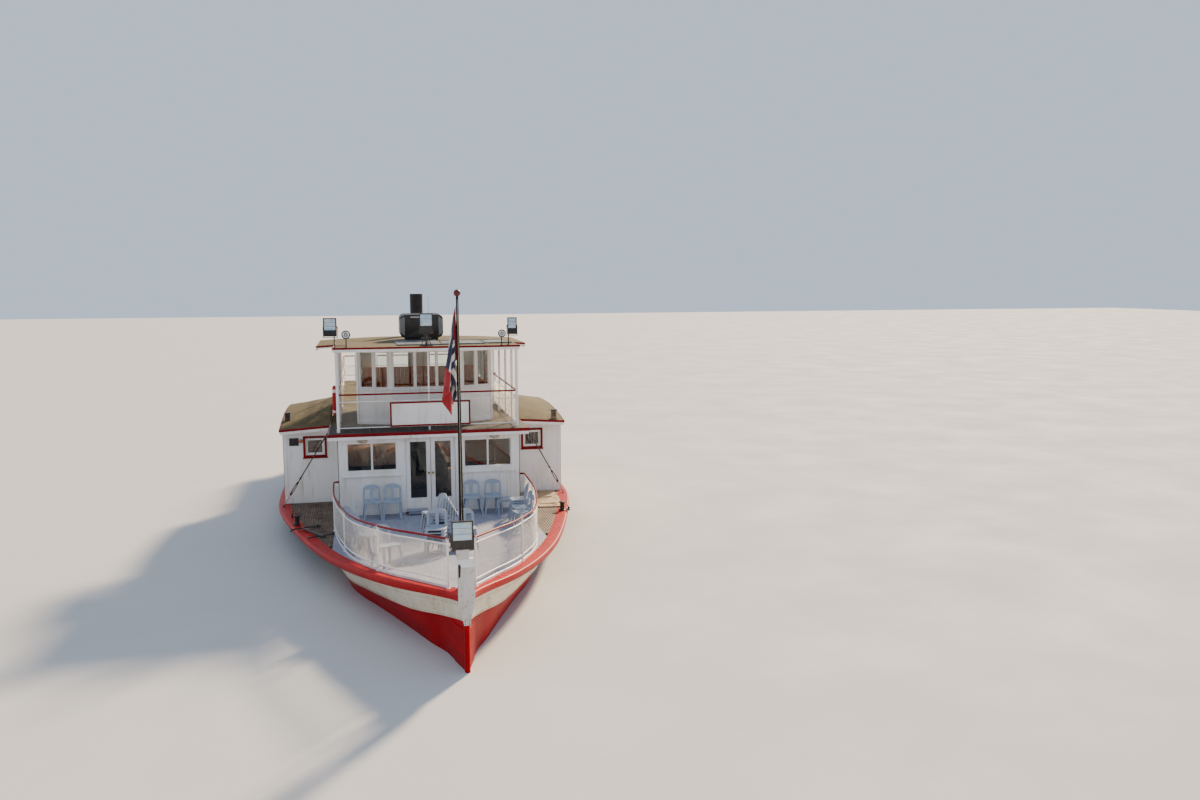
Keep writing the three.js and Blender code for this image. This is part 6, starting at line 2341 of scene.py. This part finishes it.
    def funnel(self) -> None:
        """Makes the funnel: lapped plates, bands, rolled rim and collar, and the whip aerial beside it."""
        maker = Maker()
        high, flue = self.funnel_top, 5.3
        profile = [(0.06, 1.902), (0.19, 1.902), (0.19, 2.832), (0.28, 2.832), (0.28, 2.87), (0.21, 2.93),
                   (0.19, 2.94)]
        for z in (3.7, 4.5, 5.3):
            profile += [(0.19, z), (0.1885, z + 0.003), (0.1885, z + 0.03), (0.187, z + 0.033)]
        profile += [(0.187, high - 0.06), (0.19, high - 0.05), (0.19, high - 0.008), (0.187, high - 0.001),
                    (0.181, high - 0.001)]
        profile += [(0.178, high - 0.01), (0.178, flue), (0.0, flue)]
        maker.turned(profile, at(0, self.funnel_y, 0), 0, 40)
        for z in (3.0, 3.8, 4.6, 5.4, high - 0.1):
            for turn in (TURN * (i + 0.5) / 20 for i in range(20)):
                way = Vector((cos(turn), sin(turn), 0))
                maker.rivet(Vector((0, self.funnel_y, z)) + way * 0.186, way, 0.006)
        maker.piece("funnel_casing", [FUNNEL_BLACK], Slot.BLACK, replaces=["funnel"], angle=35)
        aerial = Maker()
        mast = [(0, 0), (0.03, 0), (0.03, 0.015), (0.012, 0.03), (0.01, 0.12), (0.0045, 0.13), (0.003, 1.2),
                (0.0, 1.201)]
        aerial.turned(mast, at(0.28, -0.3, self.top), 0, 8)
        aerial.piece("whip_aerial", [BLACK], Slot.BLACK)

    def build(self) -> None:
        """Makes every piece of it."""
        self.fascia()
        self.canvas()
        self.cooler()
        self.lamps()
        self.centre_lamp()
        self.funnel()


# Gear: bow lamp, staff, flag, stays, lifebuoy, bollards, ladder, rudder


@dataclass(frozen=True)
class Gear(Assembly):
    """Fittings on deck and over the side."""

    staff_y: float = -12.6
    staff_top: float = 6.37
    stay_head: Row = (2.52, -3.9, 2.76)
    stay_foot: Row = (3.7, -2.9, 0.78)
    wire: float = 0.0085
    buoy_radius: float = 0.32
    rudder_y: float = 12.07
    flag_hoist: float = 0.85
    flag_fly: float = 1.3
    flag_top: float = 6.16
    flag_tilt: float = 0.55
    flag_squares: tuple[int, int] = (22, 34)
    flag_gap: float = 0.03
    breeze: Row = (-0.5, 0.2, -9.7)
    fall_frames: int = 110

    def bow_lamp(self) -> None:
        """Makes the flood lamp on the stem, with its post and the slack chain under it."""
        box = Box.of("bow_lamp")
        maker = Maker()
        x, y, height = box.middle.x, box.middle.y, 0.48
        face = facing(x, box.low.y + 0.002, box.high.z - height / 2)
        Flood(maker, face, box.size.x - 0.022, height, box.size.y - 0.004, 0.13).make()
        maker.tube([(x, y, box.low.z), (x, y, box.high.z - height + 0.01)], 0.018, 0, 12)
        maker.foot(at(x, y, box.low.z), 0.034)
        maker.block((x - 0.105, y - 0.055, box.low.z), (x + 0.105, y + 0.055, box.high.z - height - 0.01),
                    3)
        for i, t in enumerate(steps(0, 1, 9)):
            drop = sin(pi * t)
            link = at(x - 0.15 + 0.13 * t, box.low.y + 0.03, box.high.z - height - 0.02 - 0.09 * drop,
                      90 * (i % 2), "X")
            maker.tube([link @ Vector((0.012 * a, 0, 0.009 * b)) for a, b in circle(1, 8)], 0.0032, 2, 6,
                       closed=True)
        finishes = [BLACK, LENS, IRON, CASING]
        maker.piece("bow_flood_lamp", finishes, Slot.BLACK, replaces=["bow_lamp"], bevel=0.002, angle=35)

    def staff(self) -> None:
        """Makes the flagstaff with its crimson truck, its shoe and the flag's halyard."""
        maker = Maker()
        y, z = self.staff_y, LINES.deck(self.staff_y)
        high = self.staff_top - z
        profile = [(0.0, 0.004), (0.09, 0.004), (0.09, 0.05), (0.075, 0.062), (0.055, 0.075), (0.045, 0.1)]
        profile += [(0.045 - 0.023 * t, 0.1 + (high - 0.15) * t) for t in steps(0.1, 1, 8)]
        maker.turned(profile, at(0, y, z))
        ball = [(0.001, -0.058)] + [(0.06 * cos(a), 0.06 * sin(a))
                                    for a in steps(-1.2, 1.45, 10)] + [(0.0, 0.061)]
        maker.turned(ball, at(0, y, self.staff_top + 0.008), 1, 24)
        halyard = [(0.0, y - 0.046 + 0.012 * t - 0.006 * sin(3 * t), z + 0.9 + (high - 1.0) * t)
                   for t in steps(0, 1, 24)]
        maker.tube(halyard, 0.003, 2, 5)
        maker.block((-0.012, y - 0.05, z + 0.86), (0.012, y - 0.03, z + 1.0), 3)
        finishes = [STAFF_BLACK, TURNBUCKLE, ROPE, BRASS]
        maker.piece("flag_staff", finishes, Slot.BLACK, replaces=["flagstaff"])

    def stay(self, side: Side) -> None:
        """Makes a stay: laid wire, its thimbles, the open turnbuckle and the eyes it is shackled to.

        Args:
            side: the side of the boat.
        """
        mirror = Vector((side.value, 1, 1))
        head, foot = Vector(self.stay_head) * mirror, Vector(self.stay_foot) * mirror
        way, length = (foot - head).normalized(), (foot - head).length
        run = aim(head, way)
        start, stop, splice = length * 0.67, length * 0.85, length * 0.6
        maker = Maker()
        for strand in range(3):
            path = []
            for s in steps(0.02, splice + 0.03, 56):
                turn = TURN * (strand / 3 + s / 0.16)
                path.append(run @ Vector((self.wire * cos(turn), self.wire * sin(turn), s)))
            maker.tube(path, self.wire, 0, 5)
        maker.turned([(0, splice - 0.02), (0.02, splice), (0.024, splice + 0.05), (0.013, splice + 0.08),
                      (0.011, start)], run)
        knuckle = [(0.0, 0), (0.024, 0.0), (0.03, 0.02), (0.028, 0.06), (0.012, 0.075)]
        for base, way_in in ((start, 1), (stop, -1)):
            maker.turned([(radius, base + way_in * s) for radius, s in knuckle], run, 1, 12)
        for sign in (-1, 1):
            bow = [(sign * (0.02 + 0.022 * sin(pi * t)), start + (stop - start) * t)
                   for t in steps(0.06, 0.94, 8)]
            maker.tube([run @ Vector((x, 0, s)) for x, s in bow], 0.012, 1)
        maker.turned([(0.012, stop - 0.1), (0.012, length - 0.03), (0, length - 0.03)], run, 2, 10)
        for spot, size in ((0.0, 0.03), (length, 0.036)):
            link = [run @ Vector((x, 0, spot + z)) for x, z in circle(size, 14)]
            maker.tube(link, 0.008, 1, 7, closed=True)
        maker.block((head.x - side.value * 0.0385, head.y - 0.02, 2.742),
                    (head.x + side.value * 0.0195, head.y + 0.02, 2.778))
        maker.turned([(0, 0), (0.042, 0), (0.042, 0.012), (0.02, 0.02), (0, 0.03)],
                     at(foot.x, foot.y, 0.7405), 1, 14)
        finishes = [STAY_WIRE, TURNBUCKLE, ZINC]
        maker.piece(f"{side.word}_wire_stay", finishes, Slot.STEEL, replaces=[f"stay_{side.word}"])

    def lifebuoy(self) -> None:
        """Makes the lifebuoy: painted canvas ring, bands, its grab line and the hooks it hangs on."""
        box = Box.of("lifebuoy")
        centre, tube = box.middle, box.size.x / 2 - 0.002
        maker = Maker()

        def spot(a: float, b: float, radius: float) -> Vector:
            """A point round the ring at a, round its section at b."""
            reach = self.buoy_radius + radius * cos(b)
            return centre + Vector((radius * sin(b), reach * cos(a), reach * sin(a)))

        section = [TURN * i / 14 for i in range(14)]
        maker.loft([[spot(TURN * i / 48, b, tube) for b in section] for i in range(48)], 0, closed=True)
        for i in range(4):
            start, end = (TURN / 8 + TURN * k / 4 for k in (i, i + 1))
            band = steps(start - 0.13, start + 0.13, 5)
            maker.loft([[spot(a, b, tube + 0.0015) for b in section] for a in band], 1)
            slack = [(a, sin(pi * k / 12)) for k, a in enumerate(steps(start, end, 12))]
            line = [centre + (spot(a, 0.0, tube + 0.004 - 0.012 * sag) - centre) * 0.985
                    for a, sag in slack]
            maker.tube(line, 0.005, 2, 6)
        for y in (-0.15, 0.15):
            hook = ((-2.252, -0.17), (-2.27, -0.24), (-2.3, -0.2), (-2.31, -0.16))
            maker.tube([(x, centre.y + y, centre.z + z) for x, z in hook], 0.006, 3, 6)
        finishes = [BUOY_RED, WHITE, ROPE, ZINC]
        maker.piece("ring_lifebuoy", finishes, Slot.RED, replaces=["lifebuoy"], angle=50)

    def bollards(self) -> None:
        """Makes the cast bollards and their bolts."""
        profile = [(0, 0), (0.088, 0), (0.09, 0.004), (0.09, 0.016), (0.084, 0.022), (0.064, 0.03),
                   (0.056, 0.05),
                   (0.054, 0.17), (0.06, 0.19), (0.082, 0.203), (0.085, 0.212), (0.08, 0.226),
                   (0.05, 0.233), (0, 0.235)]
        for side in Side:
            name = f"bollard_{side.word}"
            box, maker = Box.of(name), Maker()
            place = at(box.middle.x, box.middle.y, box.low.z)
            maker.turned(profile, place, 0, 28)
            for x, y in circle(0.077, 6):
                maker.rivet(place @ Vector((x, y, 0.022)), UP, 0.007)
            maker.piece(f"{side.word}_cast_bollard", [IRON], Slot.BLACK, replaces=[name])

    def ladder(self) -> None:
        """Makes the ladder to the upper deck: strings, and housed treads with brass nosings."""
        maker = Maker()
        low, high, head, aft = -1.85, -1.15, 9.0005, 10.31
        foot = LINES.deck(aft)
        string = [(aft - 0.16, foot + 0.001), (head, 2.77), (head, 2.87), (head + 0.06, 2.87),
                  (aft, foot + 0.001)]
        for x in (low, high - 0.04):
            maker.plate(string, 0.04, athwart(x, 0))
        for t in steps(0.12, 0.92, 7):
            y, z = aft - 0.08 + (head + 0.08 - aft) * t, foot + (2.83 - foot) * t
            maker.block((low + 0.012, y - 0.1, z - 0.015), (high - 0.012, y + 0.1, z + 0.013))
            maker.block((low + 0.05, y + 0.085, z + 0.004), (high - 0.05, y + 0.102, z + 0.0155), 1)
        maker.piece("deck_ladder", [CEDAR, BRASS], Slot.VARNISH, replaces=["ladder"], bevel=0.003)

    def rudder(self) -> None:
        """Makes the rudder: a plated blade on straps, its stock, the hub and the tiller."""
        y = self.rudder_y
        top = LINES.deck(y) + 0.258
        maker = Maker()
        maker.turned([(0.0, -0.849), (0.044, -0.849), (0.045, -0.845), (0.045, top), (0, top)], at(0, y, 0),
                     0, 24)
        blade = [(0.02, -0.83), (0.8, -0.83), (0.83, -0.78), (0.83, -0.3), (0.8, -0.17), (0.6, -0.131),
                 (0.02, -0.131)]
        maker.plate(blade, 0.038, athwart(-0.019, y))
        for z in (-0.7, -0.5, -0.3):
            for way in (-1, 1):
                maker.block((way * 0.019, y + 0.03, z - 0.03), (way * 0.0235, y + 0.62, z + 0.03))
                for run in steps(0.1, 0.56, 5):
                    maker.rivet(Vector((way * 0.0235, y + run, z)), Vector((way, 0, 0)), 0.009)
        hub = [(0.046, top - 0.108), (0.09, top - 0.106), (0.09, top - 0.014), (0.046, top - 0.01)]
        maker.turned(hub, at(0, y, 0), 1, 24)
        taper = ((0.06, 1.0), (0.3, 0.96), (0.7, 0.8), (0.88, 0.78), (0.9, 0.6))
        tiller = [(bar(0.058 * share, 0.058 * share), reach) for reach, share in taper]
        maker.levels(tiller, facing(0, y, top - 0.06), 1)
        maker.piece("plated_rudder", [HULL_RED, IRON], Slot.RED, "rudder", ["rudder"], bevel=0.002)

    def flag(self) -> None:
        """Lays the flag out beside its staff, lets it fall limp, and hangs it there."""
        rows, columns = self.flag_squares
        points, faces = [], []
        for i in range(columns + 1):
            out = self.flag_fly * i / columns
            drop = self.flag_top - out * sin(self.flag_tilt)
            y = self.staff_y + self.flag_gap * sin(6 * pi * i / columns) * i / columns
            for j in range(rows + 1):
                points.append((-self.flag_gap - out * cos(self.flag_tilt), y,
                               drop - self.flag_hoist * j / rows))
        for a in (i * (rows + 1) + j for i in range(columns) for j in range(rows)):
            faces.append((a, a + 1, a + rows + 2, a + rows + 1))
        mesh = bpy.data.meshes.new("hanging_flag")
        mesh.from_pydata(points, [], faces)
        layer = mesh.uv_layers.new(name="cloth")
        for loop in mesh.loops:
            i, j = divmod(loop.vertex_index, rows + 1)
            layer.data[loop.index].uv = (i / columns, 1 - j / rows)
        mesh.materials.append(FLAG.material())
        mesh = self.fall(mesh, rows)
        made = settle("hanging_flag", mesh, ROOT, ["flag"], 0, 80)
        smooth = made.modifiers.new("smooth_cloth", "SUBSURF")
        smooth.levels = smooth.render_levels = 1

    def fall(self, mesh: Mesh, rows: int) -> Mesh:
        """Runs the cloth simulation until the flag hangs still.

        Args:
            mesh: the flag laid out beside its staff.
            rows: how many squares its hoist has.

        Returns:
            The fallen flag, with its weave's coordinates kept.
        """
        scene = bpy.context.scene
        flag = placed("flag_in_the_air", mesh)
        hoist = flag.vertex_groups.new(name="hoist")
        hoist.add(list(range(rows + 1)), 1.0, "ADD")
        cloth = flag.modifiers.new("fall", "CLOTH")
        cloth.settings.quality = 8
        cloth.settings.mass = 0.15
        cloth.settings.air_damping = 3
        cloth.settings.tension_stiffness = cloth.settings.compression_stiffness = 25
        cloth.settings.shear_stiffness = 10
        cloth.settings.bending_stiffness = 0.3
        cloth.settings.vertex_group_mass = "hoist"
        cloth.collision_settings.use_collision = False
        cloth.collision_settings.use_self_collision = True
        cloth.collision_settings.self_distance_min = 0.008
        calm = tuple(scene.gravity)
        scene.gravity = self.breeze
        for moment in range(1, self.fall_frames + 1):
            scene.frame_set(moment)
        fallen = bpy.data.meshes.new_from_object(flag.evaluated_get(bpy.context.evaluated_depsgraph_get()))
        bpy.data.objects.remove(flag)
        scene.frame_set(1)
        scene.gravity = calm
        return fallen

    def build(self) -> None:
        """Makes every piece of it."""
        self.bow_lamp()
        self.staff()
        for side in Side:
            self.stay(side)
        self.lifebuoy()
        self.bollards()
        self.ladder()
        self.rudder()
        self.flag()


# Deck furniture


@dataclass(frozen=True)
class Chair:
    """A stacking chair moulded in one piece: splayed legs, dished seat, arched back with two openings."""

    maker: Maker
    place: Matrix
    width: float = 0.46
    seat: float = 0.43
    height: float = 0.8
    shell: float = 0.008
    columns: Row = (-1, -0.9, -0.76, -0.46, -0.17, 0.17, 0.46, 0.76, 0.9, 1)
    rows: Row = (0, 0.1, 0.3, 0.52, 0.72, 0.82, 0.9, 0.96, 1)
    opening: Row = (0.17, 0.76, 0.1, 0.72)

    def back_point(self, u: float, v: float) -> Vector:
        """A point of the back.

        Args:
            u: how far across, from -1 to 1.
            v: how far up, from 0 at the seat to 1 at the top.

        Returns:
            The point, in the chair's own frame.
        """
        crown = max(0.0, (v - 0.72) / 0.28)
        across = u * (1 - 0.26 * crown**2.6)
        z = self.seat - 0.01 + (self.height - self.seat + 0.01) * v - 0.03 * crown * abs(u) ** 3
        return Vector((across * self.width * (0.47 - 0.02 * v), 0.17 + 0.075 * v - 0.035 * u * u, z))

    def back(self) -> None:
        """Adds the back: a rim round two openings and a middle splat."""
        inner, outer, low, high = self.opening
        grid = {}
        for i, u in enumerate(self.columns):
            for j, v in enumerate(self.rows):
                point = self.back_point(u, v)
                grid[i, j] = (self.place @ point, self.place @ (point + Vector((0, self.shell * 2, 0))))

        def solid(i: int, j: int) -> bool:
            """Whether there is plastic between one line of the grid and the next.

            Args:
                i: the line's number across.
                j: the line's number up.

            Returns:
                Whether there is.
            """
            if not (0 <= i < len(self.columns) - 1 and 0 <= j < len(self.rows) - 1):
                return False
            u, v = (self.columns[i] + self.columns[i + 1]) / 2, (self.rows[j] + self.rows[j + 1]) / 2
            return not (inner < abs(u) < outer and low < v < high)

        for i, j in ((i, j) for i in range(len(self.columns) - 1) for j in range(len(self.rows) - 1)
                     if solid(i, j)):
            corners = [(i, j), (i + 1, j), (i + 1, j + 1), (i, j + 1)]
            faces = [(0, 1, 2, 3), (7, 6, 5, 4)]
            for k, (di, dj) in enumerate(((0, -1), (1, 0), (0, 1), (-1, 0))):
                if not solid(i + di, j + dj):
                    n = (k + 1) % 4
                    faces.append((k, n, n + 4, k + 4))
            self.maker.patch([grid[c][0] for c in corners] + [grid[c][1] for c in corners], faces)

    def pan(self) -> None:
        """Adds the dished seat with its turned-down front edge."""
        half = [(0.215, 0.2), (0.22, 0.0), (0.215, -0.17), (0.18, -0.215)]
        outline = half + [(-x, y) for x, y in reversed(half)]
        upper = [(1.0, -0.03), (1.0, -0.004), (0.97, 0.0), (0.8, -0.004), (0.4, -0.012), (0.02, -0.014)]
        lower = [(share, z - self.shell) for share, z in reversed(upper[2:])] + [(0.97, -0.03)]
        outlines = [([(x * share, y * share) for x, y in outline], self.seat + z)
                    for share, z in upper + lower]
        self.maker.levels(outlines, self.place, 0, True)

    def leg(self, head: Vector, foot: Vector) -> None:
        """Adds a leg: an angle section that tapers to its foot.

        Args:
            head: the leg's upper end.
            foot: its lower end.
        """
        rings = []
        x, y, thin = copysign(1, -foot.x), copysign(1, -foot.y), self.shell
        for t in steps(0, 1, 3):
            size = 0.06 - 0.024 * t
            section = ((0, 0), (x * size, 0), (x * size, y * thin), (x * thin, y * thin),
                       (x * thin, y * size), (0, y * size))
            rings.append([self.place @ (head.lerp(foot, t) + Vector((a, b, 0))) for a, b in section])
        self.maker.loft(rings)

    def make(self) -> None:
        """Adds the chair, facing the place's -y, with its feet on the place's xy plane."""
        self.back()
        self.pan()
        for x in (-1, 1):
            self.leg(Vector((x * 0.19, -0.19, self.seat - 0.01)), Vector((x * 0.235, -0.235, 0.0)))
            self.leg(Vector((x * 0.19, 0.17, self.seat + 0.02)), Vector((x * 0.23, 0.25, 0.0)))


@dataclass(frozen=True)
class Furniture(Assembly):
    """What stands about on deck: chairs, a low table, a step, the anchor, a sheet of plywood, cleats."""

    wall_chairs: Row = (-1.47, -0.98, 1.0, 1.52)
    nested: int = 6

    def stand(self, x: float, y: float, turn: float, lift: float = 0.0) -> Matrix:
        """A place on the deck, tipped to its sheer."""
        slope = atan2(LINES.deck(y + 0.25) - LINES.deck(y - 0.25), 0.5)
        return at(x, y, LINES.deck(y) + lift, degrees(slope), "X") @ at(turn=turn)

    def chairs(self) -> None:
        """Sets out the chairs in their groups."""
        groups = {
            "chairs_by_the_house": [self.stand(x, -4.78, 3 * (-1) ** i)
                                    for i, x in enumerate(self.wall_chairs)],
            "nested_chairs": [self.stand(0.03 - 0.047 * i, -8.55, -70, 0.08 * i)
                              for i in range(self.nested)],
            "loose_chairs": [
                *(self.stand(-0.21, -9.02 - 0.03 * i, -12, 0.075 * i) for i in range(3)),
                self.stand(0.47, -8.45, 4), self.stand(-1.23, -9.84, 32),
            ],
            "chairs_by_starboard_rail": [self.stand(-1.86 + 0.26 * t, -7.2 - 1.3 * t, 70 + 8 * t)
                                         for t in steps(0, 1, 3)],
            "chairs_by_port_rail": [
                *(self.stand(2.0 + 0.02 * i, -5.75, -96, 0.045 * i) for i in range(3)),
                self.stand(2.02, -6.35, -88), self.stand(1.96, -6.9, -80),
            ],
            "saloon_chairs": [
                at(x, y, 0.742, 180 if y > -3 else 0) for x in (-1.75, -1.15, 1.15, 1.75)
                for y in (-3.9, -3.1, -2.3)
            ],
        }
        for name, places in groups.items():
            maker = Maker()
            for place in places:
                Chair(maker, place).make()
            maker.piece(name, [CHAIR], Slot.WHITE)

    def table(self) -> None:
        """Makes the low slatted table by the house and the step at the doors."""
        maker = Maker()
        place, high = self.stand(1.8, -4.95, 4), 0.36
        for x in steps(-0.22, 0.22, 6)[:-1]:
            maker.block((x + 0.004, -0.2, high), (x + 0.07, 0.2, high + 0.02), 0, place)
        for x in (-0.2, 0.2):
            for y in (-0.17, 0.17):
                maker.block((x - 0.02, y - 0.02, 0), (x + 0.02, y + 0.02, high), 0, place)
        for y in (-0.18, 0.16):
            maker.block((-0.22, y, high - 0.06), (0.22, y + 0.02, high), 0, place)
        maker.piece("low_table", [CHAIR], Slot.WHITE, bevel=0.004, angle=50)
        step = Maker()
        spot = at(-0.36, -4.58, 0.742)
        step.block((-0.25, -0.14, 0.1), (0.25, 0.12, 0.125), 0, spot)
        for x in (-0.22, 0.2):
            step.block((x, -0.12, 0.0), (x + 0.02, 0.1, 0.1), 0, spot)
        step.block((-0.22, -0.11, 0.03), (0.22, -0.09, 0.09), 0, spot)
        step.piece("door_step", [DECK], Slot.DECK, bevel=0.004, angle=50)

    def anchor(self) -> None:
        """Makes the small anchor that lies on the starboard guard."""
        maker = Maker()
        crown, ring = (Vector((x, y, LINES.deck(y) + rise))
                       for x, y, rise in ((-3.11, -5.59, 0.05), (-2.58, -6.6, 0.04)))
        way = (ring - crown).normalized()
        side = way.cross(UP).normalized()
        maker.tube([crown, ring], 0.024, 0, 10)
        for sign in (-1, 1):
            bend = [(0.264 * (1 - cos(a)), sign * 0.36 * sin(a), 0.01 * sin(a)) for a in steps(0, 1.35, 8)]
            arm = [crown + way * a + side * b + UP * c for a, b, c in bend]
            maker.tube(arm, 0.021)
            out = (arm[-1] - arm[-3]).normalized()
            palm = [arm[-1] + out * reach + UP * rise
                    for reach, rise in ((0.07, 0), (-0.06, 0.055), (-0.09, 0), (-0.06, -0.03))]
            across = out.cross(UP) * 0.008
            maker.loft([[point - across for point in palm], [point + across for point in palm]])
            knob = [(0, -0.03), (0.022, -0.02), (0.028, 0), (0.022, 0.02), (0, 0.03)]
            maker.turned(knob, Matrix.Translation(ring + side * (0.3 * sign) - way * 0.1), 0, 10)
        maker.tube([ring + side * 0.3 - way * 0.1, ring - side * 0.3 - way * 0.1], 0.015)
        loop = [ring + way * (0.05 + a) + side * b for a, b in circle(0.05, 16)]
        maker.tube(loop, 0.009, closed=True)
        maker.piece("small_anchor", [BLACK], Slot.BLACK)

    def hatch(self) -> None:
        """Makes the sheet of plywood on battens that lies on the port guard, and the cleats."""
        maker = Maker()
        outline = [(2.72, -4.6), (3.3, -4.66), (3.44, -3.6), (3.46, -2.62), (2.72, -2.62)]
        for low, thick, share in ((0.0, 0.012, 0.97), (0.012, 0.018, 1.0)):
            rings = []
            for height in (low, low + thick):
                rings.append([(3.1 + (x - 3.1) * share, y, LINES.deck(y) + 0.001 + height)
                              for x, y in outline])
            maker.loft(rings)
        for y in (-4.3, -3.5, -2.8):
            base = LINES.deck(y) + 0.03
            maker.block((2.8, y - 0.035, base), (3.26, y + 0.035, base + 0.018))
            for x in (2.85, 3.05, 3.22):
                maker.rivet(Vector((x, y, base + 0.018)), UP, 0.008, 1)
        maker.piece("plywood_hatch", [PLYWOOD, ZINC], Slot.PLANKS, bevel=0.003, angle=50)
        cleats = Maker()
        for x, y in ((3.42, -5.0), (-3.42, -4.1), (1.9, 10.6), (-1.9, 10.6)):
            base = Vector((x, y, LINES.deck(y)))
            for shift in (-0.05, 0.05):
                cleats.tube([base + Vector((0, shift, 0)), base + Vector((0, shift, 0.07))], 0.016, 0, 10)
            horn = [base + Vector((0, s, 0.075 + 0.02 * (s / 0.17) ** 2)) for s in steps(-0.17, 0.17, 8)]
            cleats.tube(horn, 0.014, 0, 10)
            cleats.block((x - 0.03, y - 0.085, base.z - 0.004), (x + 0.03, y + 0.085, base.z + 0.012))
        cleats.piece("deck_cleats", [IRON], Slot.IRON)

    def build(self) -> None:
        """Makes every piece of it."""
        self.chairs()
        self.table()
        self.anchor()
        self.hatch()


# Studio


@dataclass(frozen=True)
class Studio:
    """The photograph's camera, a pale floor at the waterline, sky light and a low warm sun."""

    eye: Row = (-1.538, -29.595, 6.606)
    yaw: float = 0.2314
    pitch: float = 0.1206
    roll: float = -0.0026
    lens: float = 29.97
    sun_yaw: float = 0.62
    sun_height: float = 28.0
    sun: float = 11.0
    sky: float = 1.02
    floor_half: float = 160.0
    sensor: float = 36.0
    sky_colour: str = "#cddbef"
    sun_colour: str = "#ffe4bd"
    sun_breadth: float = 6.0

    def camera(self) -> None:
        """Sets the camera."""
        data = bpy.data.cameras.new("photo_camera")
        data.lens = self.lens
        data.sensor_width = self.sensor
        made = placed("photo_camera", data)
        way = heading(self.yaw, -self.pitch)
        turned = way.to_track_quat("-Z", "Y").to_matrix().to_4x4() @ Matrix.Rotation(self.roll, 4, "Z")
        made.matrix_world = at(*self.eye) @ turned
        bpy.context.scene.camera = made

    def lights(self) -> None:
        """Sets the sky and the sun."""
        world = bpy.data.worlds.new("studio")
        bpy.context.scene.world = world
        world.use_nodes = True
        ground = world.node_tree.nodes["Background"]
        ground.inputs["Color"].default_value = linear(self.sky_colour)
        ground.inputs["Strength"].default_value = self.sky
        sun = bpy.data.lights.new("low_sun", "SUN")
        sun.energy = self.sun
        sun.angle = radians(self.sun_breadth)
        sun.color = linear(self.sun_colour)[:3]
        source = heading(self.sun_yaw, radians(self.sun_height))
        placed("low_sun", sun).rotation_euler = source.to_track_quat("Z", "Y").to_euler()

    def floor(self) -> None:
        """Lays the pale floor at the waterline."""
        mesh = bpy.data.meshes.new("floor")
        mesh.from_pydata([(x, y, 0) for x, y in bar(2 * self.floor_half, 2 * self.floor_half)], [],
                         [(0, 1, 2, 3)])
        mesh.materials.append(STUDIO_FLOOR.material())
        made = bpy.data.objects.new("floor", mesh)
        bpy.context.scene.collection.objects.link(made)

    def set_up(self) -> None:
        """Sets up all of it."""
        self.camera()
        self.lights()
        self.floor()


def main() -> None:
    """Builds the boat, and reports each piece."""
    logging.basicConfig(level=logging.INFO, format="%(message)s")
    Studio().set_up()
    for assembly in (Hull(), Decks(), Railings(), House(), MainRoof(), PaddleBoxes(), Cabin(), TopRoof(),
                     Gear(), Furniture()):
        LOG.info("%s", type(assembly).__name__)
        assembly.build()
    bpy.context.view_layer.update()


if __name__ == "__main__":
    main()
